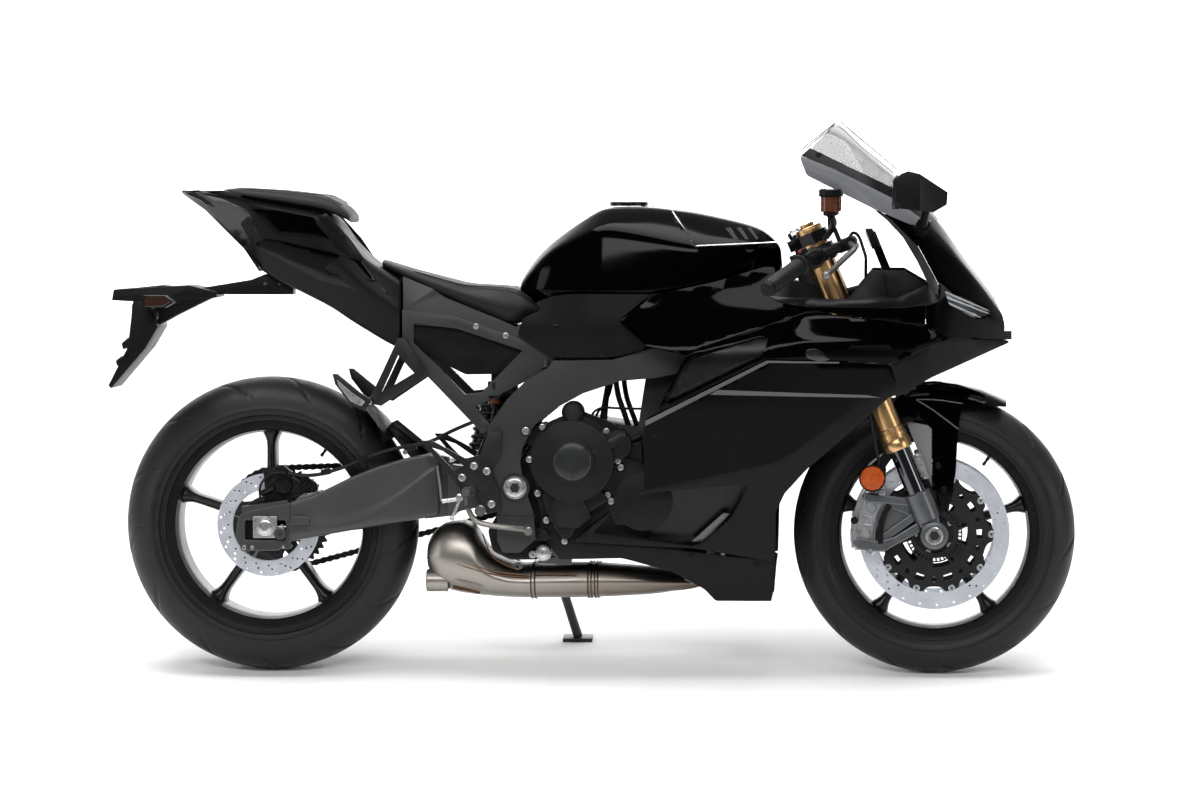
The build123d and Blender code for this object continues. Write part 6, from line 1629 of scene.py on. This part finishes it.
# ---------------------------------------------------------------- front fender
# A gloss moulding over the tyre with a pointed front and guards down to the axle. Plated and black
# screws hold it to the fork's feet.
fit(from_solid("front_fender", 1.2, 40), "steering", "matt_plastic", GLOSS, "front_fender")
GAP_GREY = finish("grey_gap_sheet", "#6C6C6E", 0.5, 0.6, 0.014, spread=0.08)
# Grey cords along the fender's upper edges are painted highlights, where the edges catch the light.
edges = []
for side in (-1, 1):
    for radius, route in ((1.6, [(694, 77, 586), (722, 78, 570), (752, 78, 548), (783, 76, 524)]),
                          (1.4, [(694, 77, 586), (730, 77.5, 588), (790, 74, 578), (824, 68, 574)])):
        edges.append(seam("edge", [(x, side * y, z) for x, y, z in route], radius))
fit(join("fender_painted_highlights", edges), "steering", "satin_black", GREY_FILM_AND_EDGE_HIGHLIGHT)
# A flat grey sheet fills the gap between each fork foot and the fender's guard.
inner = [prism([(673, 540), (727, 530), (727, 402)], side * 71, side * 73) for side in (-1, 1)]
fit(join("fender_gap_sheets", inner), "steering", "matt_plastic", GAP_GREY)
dark_bolts = []
for side in (-1, 1):
    for x, z in ((741, 446), (753, 396)):
        dark_bolts.append(side_bolt((x, side * 74, z), 5, 2.6))
    for x, z in ((697, 464), (713, 424)):
        hardware.append(side_bolt((x, side * 90, z), 4.6, 3.4))
    hardware.append(plate("strap", rounded([(688, 470), (702, 474), (722, 420), (708, 414)], 5), [], 4, 0.8,
                          side * 88))
    dark_bolts.append(prism([(700, 420), (716, 424), (730, 380), (712, 376)], side * 76, side * 90))
fit(join("fork_hardware", hardware), "steering", "axle_steel", PLATED)
fit(join("fender_screws", dark_bolts), "steering", "black_steel", SCREW)

# Amber reflectors, faceted inside, on straps behind the fork.
AMBER = finish("amber_reflector", "#A2430D", 0.14, 3.4, 0.9, coat=0.5, spread=0.6, patch_mm=9)
REFLECTOR_X, REFLECTOR_Y, REFLECTOR_Z = 602, 156, 423
lenses, cups = [], []
for side in (-1, 1):
    lens_disc = lathe("lens", [(25.5, -4), (26.5, -1), (25, 1.6), (0.05, 3.2)], 12, False)
    cup = lathe("cup", [(0.05, -8), (27, -8), (28.4, -6), (28.4, 1), (26.8, 1), (26.8, -4)], 48, False)
    for piece, group in ((lens_disc, lenses), (cup, cups)):
        piece.matrix_basis = placed((REFLECTOR_X, side * REFLECTOR_Y, REFLECTOR_Z), 0 if side > 0 else 180,
                                    "Z")
        group.append(piece)
    cups.append(rod((REFLECTOR_X, side * 150, REFLECTOR_Z), (REFLECTOR_X, side * 114, REFLECTOR_Z), 7))
    cups.append(plate("strap", rounded([(592, 426), (606, 412), (648, 470), (632, 486)], 6), [], 4, 0.8,
                      side * 114))
fit(join("reflector_lenses", lenses), "steering", "lamp_red", AMBER)
fit(join("reflector_cups", cups), "steering", "matt_plastic", MATT)

# ---------------------------------------------------------------- yokes, bars and levers
# Forged black yokes with pinch bolts, clip-on bars below the upper one, and levers in bare grey
# alloy. The grips are ribbed rubber, and a cup of brake or clutch fluid stands on each side.
fit(from_solid("triple_clamps", 3, 30, 3), "steering", "black_alloy", CALIPER_BLACK, "triple_clamps")
nuts = []
for side in (-1, 1):
    for height in (464, 680):
        for forward, y in ((24, 62), (34, 72)):
            nuts.append(in_fork(bolt((forward, side * y, height), (0.4, -side, 0), 5, 4)))
stem_nut = lathe("stem_nut",
                 [(0.05, 712), (9, 712), (10, 710), (10, 708), (15, 708), (17, 705), (17, 696)][::-1], 6,
                 False)
stem_nut.matrix_basis = FORK @ Matrix.Translation((-30, 0, 0)) @ UP_LEG
nuts.append(stem_nut)
fit(join("yoke_bolts", nuts), "steering", "axle_steel", PLATED)
BAR_ROOT = Vector((16, -139, 642))
GRIP_INNER, GRIP_OUTER = Vector((-34, -232, 639)), Vector((-112, -340, 620))
LEVER_ALLOY = finish("grey_lever_alloy", "#6E6B68", 0.34, 0.6, 0.01, metallic=0.8, spread=0.12, patch_mm=20)


def is_lever(centre):
    """The bars' outer bodies are the two levers."""
    return abs(centre.y) > 240


fit(from_solid("clip_on_bars", 1.2, keep=lambda centre: not is_lever(centre)), "steering", "black_alloy",
    CALIPER_BLACK, "clip_on_bars")
fit(from_solid("clip_on_bars", 0, keep=is_lever), "steering", "cast_alloy", LEVER_ALLOY)
controls = carve(from_solid("bar_controls", 0), cutter([(430, 952), (600, 952), (600, 1080), (430, 1080)]))
fit(ease(controls, 1.6, 34), "steering", "matt_plastic", MATT, "bar_controls")
GRIP_RUBBER = finish("ribbed_grip_rubber", "#0A0A0B", 0.5, 1.4, 0.05, spread=0.15, ior=1.3)
CUP_X, CUP_Y = 512, 158
grips, boxes, accents, cups, lids = [], [], [], [], []
for side in (-1, 1):
    root, inner_end, outer_end = (Vector((p.x, p.y * -side, p.z)) for p in (BAR_ROOT, GRIP_INNER, GRIP_OUTER))
    length = (outer_end - inner_end).length
    profile = [(11.5, 8), (22, 8), (23, 10), (23, 13), (21, 15), (17, 16)]
    for start in (18 + step * 6.4 for step in range(16)):
        profile += [(17.3, start), (17.9, start + 1), (17.9, start + 3.6), (17.3, start + 4.6)]
    profile += [(17, length), (17, length + 4), (15.5, length + 5), (15.5, length + 14), (13.5, length + 16),
                (0.05, length + 16)]
    grip = lathe("grip", profile, 40, False)
    grip.data.flip_normals()
    grip.matrix_basis = Matrix.Translation(inner_end) @ facing(outer_end - inner_end, "Y", "Z")
    grips.append(in_fork(grip))
    for share, half, tall, wide_mm in ((0.8, 23, 17, 20), (0.46, 15, 15, 18)):
        middle = root.lerp(inner_end, share)
        body_box = prism(rounded([(-half, -tall), (half, -tall), (half, tall), (-half, tall)], 8), -wide_mm,
                         wide_mm)
        ease(body_box, 4, 40, 3)
        body_box.matrix_basis = Matrix.Translation(middle) @ facing(inner_end - root, "X", "Z")
        boxes.append(in_fork(body_box))
    middle = root.lerp(inner_end, 0.8)
    for away, group in ((-11, accents), (4, accents), (13, boxes)):
        foot = middle + Vector((away * 0.4, side * away, 4))
        group.append(in_fork(rod(foot, foot + Vector((-2, 0, 24)), 5.5, 20, 1.2)))
    for group, x, low, high, radius, sides, soft in (
            (cups, CUP_X, 984, 1017, 21, 40, 2), (lids, CUP_X, 1016, 1032, 24.5, 40, 2),
            (lids, CUP_X, 976, 985, 15, 32, 1.5), (lids, CUP_X + 2, 940, 978, 6, 20, 1)):
        group.append(rod((x, side * CUP_Y, low), (CUP_X, side * CUP_Y, high), radius, sides, soft))
    for turn in (20, 200):
        x, y = polar(17, turn)
        lids.append(bolt((CUP_X + x, side * CUP_Y + y, 1031.8), (0, 0, 1), 3, 1.4))
    feed = [(506, 158, 980), (520, 168, 966), (514, 176, 944), (500, 172, 926)]
    lids.append(seam("hose", [(x, side * y, z) for x, y, z in feed], 5))
fit(join("grips_ribbed", grips), "steering", "hose_rubber", GRIP_RUBBER)
fit(join("switch_boxes", boxes), "steering", "switch_plastic", MIRROR_PLASTIC)
RED_SWITCH = finish("red_switch_plastic", "#8E1512", 0.36, 0.6, 0.01, spread=0.1)
fit(join("switch_buttons", accents), "steering", "switch_plastic", RED_SWITCH)
fit(join("fluid_cups", cups), "steering", "switch_plastic", RESERVOIR_BROWN)
fit(join("fluid_lids", lids), "steering", "matt_plastic", MIRROR_PLASTIC)

# ---------------------------------------------------------------- brake hoses
# Rubber hoses from the master cylinder to a block on the lower yoke and on to each caliper, ending in
# plated banjo unions.
fit(from_solid("brake_hoses", 0), "steering", "hose_rubber", HOSE, "brake_hoses")
unions = []
for side in (-1, 1):
    unions.append(in_fork(rod((-78, side * 104, 146), (-78, side * 118, 146), 7, 6, 0.8)))
    unions.append(in_fork(rod((-76, side * 116, 148), (-62, side * 122, 168), 4.6, 16, 0.6)))
fit(join("banjo_unions", unions), "steering", "axle_steel", PLATED)

# ---------------------------------------------------------------- exhaust
# A stamped stainless silencer under the engine, its halves joined by welded seams and bands, fed by
# three header pipes. Heat has tinted the steel straw and brown towards the engine.
STEEL = finish("brushed_stainless", "#928D87", 0.36, 1.2, 0.01, metallic=1.0, spread=0.16, patch_mm=70)
tree = STEEL.node_tree
shader = tree.nodes["Principled BSDF"]
plain = shader.inputs["Base Color"].links[0].from_socket
spot = node(tree, "ShaderNodeTexCoord")
split = node(tree, "ShaderNodeSeparateXYZ", links={0: spot.outputs["Object"]})
wander = node(tree, "ShaderNodeTexNoise", {"Scale": 14.0, "Detail": 3.0}, {"Vector": spot.outputs["Object"]})
shift = node(tree, "ShaderNodeMath", {1: 0.09}, {0: wander.outputs["Fac"]}, operation="MULTIPLY")
along_x = node(tree, "ShaderNodeMath", {}, {0: split.outputs["X"], 1: shift.outputs["Value"]},
               operation="ADD")
heat = node(tree, "ShaderNodeMapRange", {"From Min": -0.1, "From Max": 0.26, "To Min": 0.0, "To Max": 0.75},
            {"Value": along_x.outputs["Value"]})
tint = node(tree, "ShaderNodeMixRGB", {"Color2": linear("#57473A")},
            {"Fac": heat.outputs["Result"], "Color1": plain})
tree.links.new(tint.outputs["Color"], shader.inputs["Base Color"])
stretch = node(tree, "ShaderNodeMapping", {"Scale": (1.0, 16.0, 16.0)}, {"Vector": spot.outputs["Object"]})
brush = node(tree, "ShaderNodeTexNoise", {"Scale": 30.0, "Detail": 5.0},
             {"Vector": stretch.outputs["Vector"]})
brush_bump = node(tree, "ShaderNodeBump", {"Strength": 0.35, "Distance": 0.00012},
                  {"Height": brush.outputs["Fac"]})
tree.links.new(brush_bump.outputs["Normal"], shader.inputs["Normal"])
WELD = finish("heat_tinted_weld", "#5E4636", 0.36, 1.6, 0.25, metallic=1.0, spread=0.3, patch_mm=10)
SILENCER = ((-350, 70, 226, 270), (-336, 90, 190, 306), (-300, 104, 172, 321), (-250, 107, 165, 319),
            (-230, 107, 163, 270), (-196, 105, 160, 239), (-150, 99, 158, 228), (-118, 96, 158, 231),
            (10, 80, 159, 231), (131, 64, 165, 223), (196, 56, 175, 208), (233, 50, 184, 200))


def silencer_at(x, grow=0.0):
    """The silencer's outline at one place, from the bottom round to the top."""
    for one, other in zip(SILENCER, SILENCER[1:]):
        if one[0] <= x <= other[0]:
            half, low, high = between(one[1:], other[1:], (x - one[0]) / (other[0] - one[0]))
            edge = (high - low) * 0.3
            return (x, (0.001, low - grow), (half * 0.66, low - grow), (half + grow, low + edge),
                    (half + grow, high - edge), (half * 0.72, high + grow), (0.001, high + grow))


parts = [hull("silencer", [silencer_at(row[0]) for row in SILENCER[:-1]] + [silencer_at(232.9)], 12, 16, 2)]
for x, wide_mm in ((-120, 7), (0, 6), (14, 6)):
    parts.append(hull("band", [silencer_at(x - wide_mm / 2, 1.6), silencer_at(x + wide_mm / 2, 1.6)], 1, 16,
                      2))
for y in (-70, 0, 70):
    parts.append(seam("header",
                      [(186, y, 470), (272, y, 480), (272, y, 380), (270, y, 236), (236, y * 0.5, 196),
                       (176, y * 0.4, 192)], 19))
    parts.append(rod((196, y, 470), (206, y, 470), 30, 40, 2))
parts.append(lathe("outlet", [(21, 0), (24, 0), (24, 44), (21, 46), (21, 20)], 48))
parts[-1].matrix_basis = placed((-304, -60, 196), 92, "Z")
fit(join("silencer_stamped", parts), "chassis", "brushed_steel", STEEL, "exhaust")
beads = []
for side in (-1, 1):
    for route in ([(-348, 246), (-318, 248), (-262, 228), (-211, 213), (-160, 208), (-127, 206)],
                  [(-346, 252), (-316, 256), (-256, 234), (-205, 219), (-160, 213), (-127, 211)],
                  [(-113, 213), (-70, 214), (-27, 210)],
                  [(-226, 300), (-216, 262), (-190, 236), (-150, 222)]):
        beads.append(seam("bead", [(x, side * (silencer_at(x)[3][0] - 0.6), z) for x, z in route], 1.5))
for x in (-124.4, -115.6, -3.6, 3.4, 10.6, 17.6):
    half = silencer_at(x, 1.4)[1:]
    loop = [Vector((x, -y, z)) for y, z in half] + [Vector((x, y, z)) for y, z in reversed(half)]
    smooth = []
    for number, place in enumerate(loop):
        smooth += [place.lerp(loop[number - 1], 0.22), place.lerp(loop[(number + 1) % len(loop)], 0.22)]
    beads.append(seam("ring", smooth + smooth[:2], 1.3))
beads.append(plate("slot", rounded([(-292, 182), (-232, 170), (-232, 176), (-290, 190)], 3), [], 3, 0.5, -99))
fit(join("silencer_welds", beads), "chassis", "brushed_steel", WELD)
lug = [plate("lug", rounded([(-170, 232), (-150, 222), (-140, 226), (-146, 240)], 4),
             [ring(3.5, 12, (-153, 230))], 4, 0.8, -98),
       plate("shield", rounded([(-112, 236), (-38, 232), (-36, 246), (-60, 250), (-104, 244)], 3), [], 3, 0.8,
             -92)]
fit(join("silencer_brackets", lug), "chassis", "brushed_steel", CAST)

# ---------------------------------------------------------------- radiator
# A brazed aluminium core between plastic tanks, painted black, its tubes and fins drawn coarser (one
# tube each 9 mm) than the real 1.5 mm fins, which are too fine to show.
CORE = finish("black_radiator_core", "#131314", 0.46, 0.6, 0.02, metallic=0.4, spread=0.2)
fit(from_solid("radiator", 2), "chassis", "radiator_alloy", CORE, "radiator")
RADIATOR_FRONT = FRONT_AXLE_X - 361


def core_bar(forward, low, high, y_low, y_high):
    """A bar that stands forward from the core's face."""
    near, far = RADIATOR_FRONT - 1, RADIATOR_FRONT + forward
    return prism([(near, low), (far, low), (far, high), (near, high)], y_low, y_high)


tubes = [core_bar(2, z, z + 1.8, -143, 143) for z in range(340, 606, 9)]
fins = [core_bar(1, 336, 606, y - 0.8, y + 0.8) for y in range(-140, 141, 14)]
fit(join("radiator_tubes", tubes + fins), "chassis", "radiator_alloy", CARRIER)

# ---------------------------------------------------------------- footrests and pedals
# Cast rearset plates, knurled pegs, a forged grey brake pedal and gear lever with plated links, and
# the pillion pegs folded up behind.
REST_ALLOY = finish("black_rearset_casting", "#101011", 0.4, 0.8, 0.02, spread=0.15, ior=1.38, patch_mm=25)
rests = from_solid("footrests", 0)
for low, high in ((-230, -161), (161, 230)):
    carve(rests, prism([(-216, 290), (-90, 290), (-90, 348), (-216, 360)], low, high))
fit(ease(rests, 2.2, 34, 3), "chassis", "rest_alloy", REST_ALLOY, "footrests")
alloy, plated, knurled = [], [], []
for side in (-1, 1):
    route = [(-252, 166, 358), (-244, 168, 332), (-206, 172, 321), (-150, 182, 316), (-122, 194, 314)]
    alloy.append(seam("pedal", [(x, side * y, z) for x, y, z in route], 6.2))
    alloy.append(rod((-226, side * 158, 352), (-226, side * 174, 352), 12, 32, 2))
    alloy.append(rod((-124, side * 186, 315), (-120, side * 216, 312), 9, 28, 2))
    for x, z in ((-240, 447), (-265, 422), (-213, 436), (-203, 366)):
        plated.append(side_bolt((x, side * 159.6, z), 6.6, 4))
    plated.append(rod((-264, side * 172, 388), (-285, side * 178, 338), 3.2, 16))
    plated.append(rod((-287, side * 178, 333), (-284, side * 178, 340), 5, 16, 1.5))
    plated.append(rod((-309, side * 152, 371), (-268, side * 156, 377), 5, 20, 1))
    plated.append(rod((-270, side * 150, 380), (-270, side * 176, 380), 8, 24, 2))
    alloy.append(rod((-319, side * 140, 446), (-309, side * 152, 371), 3.6, 16))
    peg = lathe("peg",
                [(0.05, 0), (10, 0), (11, 2)]
                + [(11 if step % 2 else 9.8, 6 + step * 3.5) for step in range(22)]
                + [(11, 85), (9, 90), (0.05, 90)], 32, False)
    peg.data.flip_normals()
    start, end = Vector((-246, side * 161, 392)), Vector((-250, side * 252, 396))
    peg.matrix_basis = Matrix.Translation(start) @ facing(end - start, "Y", "Z")
    knurled.append(peg)
    knurled.append(rod((-250, side * 240, 386), (-250, side * 240, 368), 4, 16, 1.5))
    plated.append(side_bolt((-462, side * 158.6, 581), 4.5, 2.5))
    plated.append(plate("peg_face",
                        rounded([(-531, 630), (-527, 617), (-501, 583), (-478, 573), (-470, 583),
                                 (-499, 602)], 3), [], 2, 0.6, side * 167))
fit(join("pedals_forged", alloy), "chassis", "rest_alloy", LEVER_ALLOY)
fit(join("rearset_plated", plated), "chassis", "axle_steel", PLATED)
fit(join("pegs_knurled", knurled), "chassis", "rest_alloy", CAST)

# ---------------------------------------------------------------- plate bracket and indicators
# A moulded stalk under the tail with a hood, a bare plate holder, a lamp, a red reflector and two
# slim indicators in smoked lenses.
fit(from_solid("plate_bracket", 1.6, 30, 2), "chassis", "matt_plastic", MATT, "plate_bracket")
SMOKED = finish("smoked_indicator_lens", "#2C1A10", 0.1, 0.5, 0.002, coat=0.6, spread=0.15)
lenses = []
for side in (-1, 1):
    loop = [between(p, (-914, 793), 0.2)
            for p in ((-950, 780), (-945, 806), (-900, 806), (-880, 792), (-900, 780))]
    lenses.append(plate("lens", rounded(loop, 3), [], 5, 1.4, side * 150.5))
fit(join("rear_indicator_lenses", lenses), "chassis", "lamp_glass", SMOKED)
reflector = prism([(-1000, 670), (-1003, 668), (-1018, 636), (-1015, 634)], -34, 34)
fit(join("rear_reflector", [reflector]), "chassis", "lamp_red", RED_LENS)
trim = [seam("line",
             [(-1010, side * 62.6, 804), (-930, side * 62.6, 804), (-884, side * 62.6, 800),
              (-868, side * 40, 796)], 1.2) for side in (-1, 1)]
for loop, half in (([(-984, 746), (-966, 742), (-961, 786), (-982, 787)], 70),
                   ([(-1005, 702), (-989, 716), (-984, 704), (-1001, 688)], 70),
                   ([(-1018, 664), (-1004, 676), (-1000, 664), (-1014, 652)], 70),
                   ([(-944, 756), (-928, 752), (-924, 778), (-942, 782)], 66)):
    trim.append(ease(prism(loop, -half, half), 3, 40))
trim += [rod((-936, side * 66, 770), (-936, side * 74, 770), 9, 24, 2) for side in (-1, 1)]
trim += [side_bolt((-974, side * 70, 764), 4.5, 2.5) for side in (-1, 1)]
trim += [bolt((x, side * 28, 829), (0, side, 0.2), 4, 2) for x in (-700, -668) for side in (-1, 1)]
fit(join("plate_bracket_trim", trim), "chassis", "matt_plastic", SATIN)

# ---------------------------------------------------------------- side stand
# A forged black leg with its foot plate welded on. It turns on a bolt under the left of the frame
# and holds up the parked bike.
fit(from_solid("side_stand", 1.5), "side_stand", "black_steel", FRAME_PAINT, "side_stand")

# ---------------------------------------------------------------- instrument and small fittings
# A flat display, dark when off, flush indicators let into the fairing, a cast blade and a dark wall
# inside each vent, and the beads along the windscreen's edge.
GLASS = finish("dark_display_glass", "#050607", 0.05, 0.5, 0.0006, coat=0.8, spread=0.15)
fit(prism([(597.4, 909), (596, 908.6), (584, 943.4), (585.4, 943.8)], -74, 74), "chassis", "lamp_glass",
    GLASS)
ovals, fillets, ducts = [], [], []
for side in (-1, 1):
    ovals.append(panel("oval", [(462, 697), (488, 700), (515, 676), (492, 671), (464, 680)], fairing_width,
                       side, 4, lift=3.2, mesh_mm=8, corner=8, edge=1.2))
    fillets.append(panel("vent_blade", [(220, 287), (250, 285), (302, 347), (288, 349)],
                         lambda x, z: fairing_width(x, z) - 12, side, 2, mesh_mm=14, corner=3, edge=0.5))
    ducts.append(panel("duct",
                       [(205, 268), (130, 268), (132, 400), (217, 440), (330, 448), (372, 420), (368, 272)],
                       lambda x, z: fairing_width(x, z) - 34, side, 3, mesh_mm=24, corner=6, edge=0.8))
fit(join("vent_inner_panels", ducts), "chassis", "satin_black", SATIN)
fit(join("flush_indicators", ovals), "chassis", "lamp_glass", LAMP_PLASTIC)
fit(join("vent_blades", fillets), "chassis", "cast_alloy", CAST)
edge_beads = [seam("bead", route, 1.4) for route in screen_edges]
fit(join("screen_edge_beads", edge_beads), "chassis", "matt_plastic", MATT)
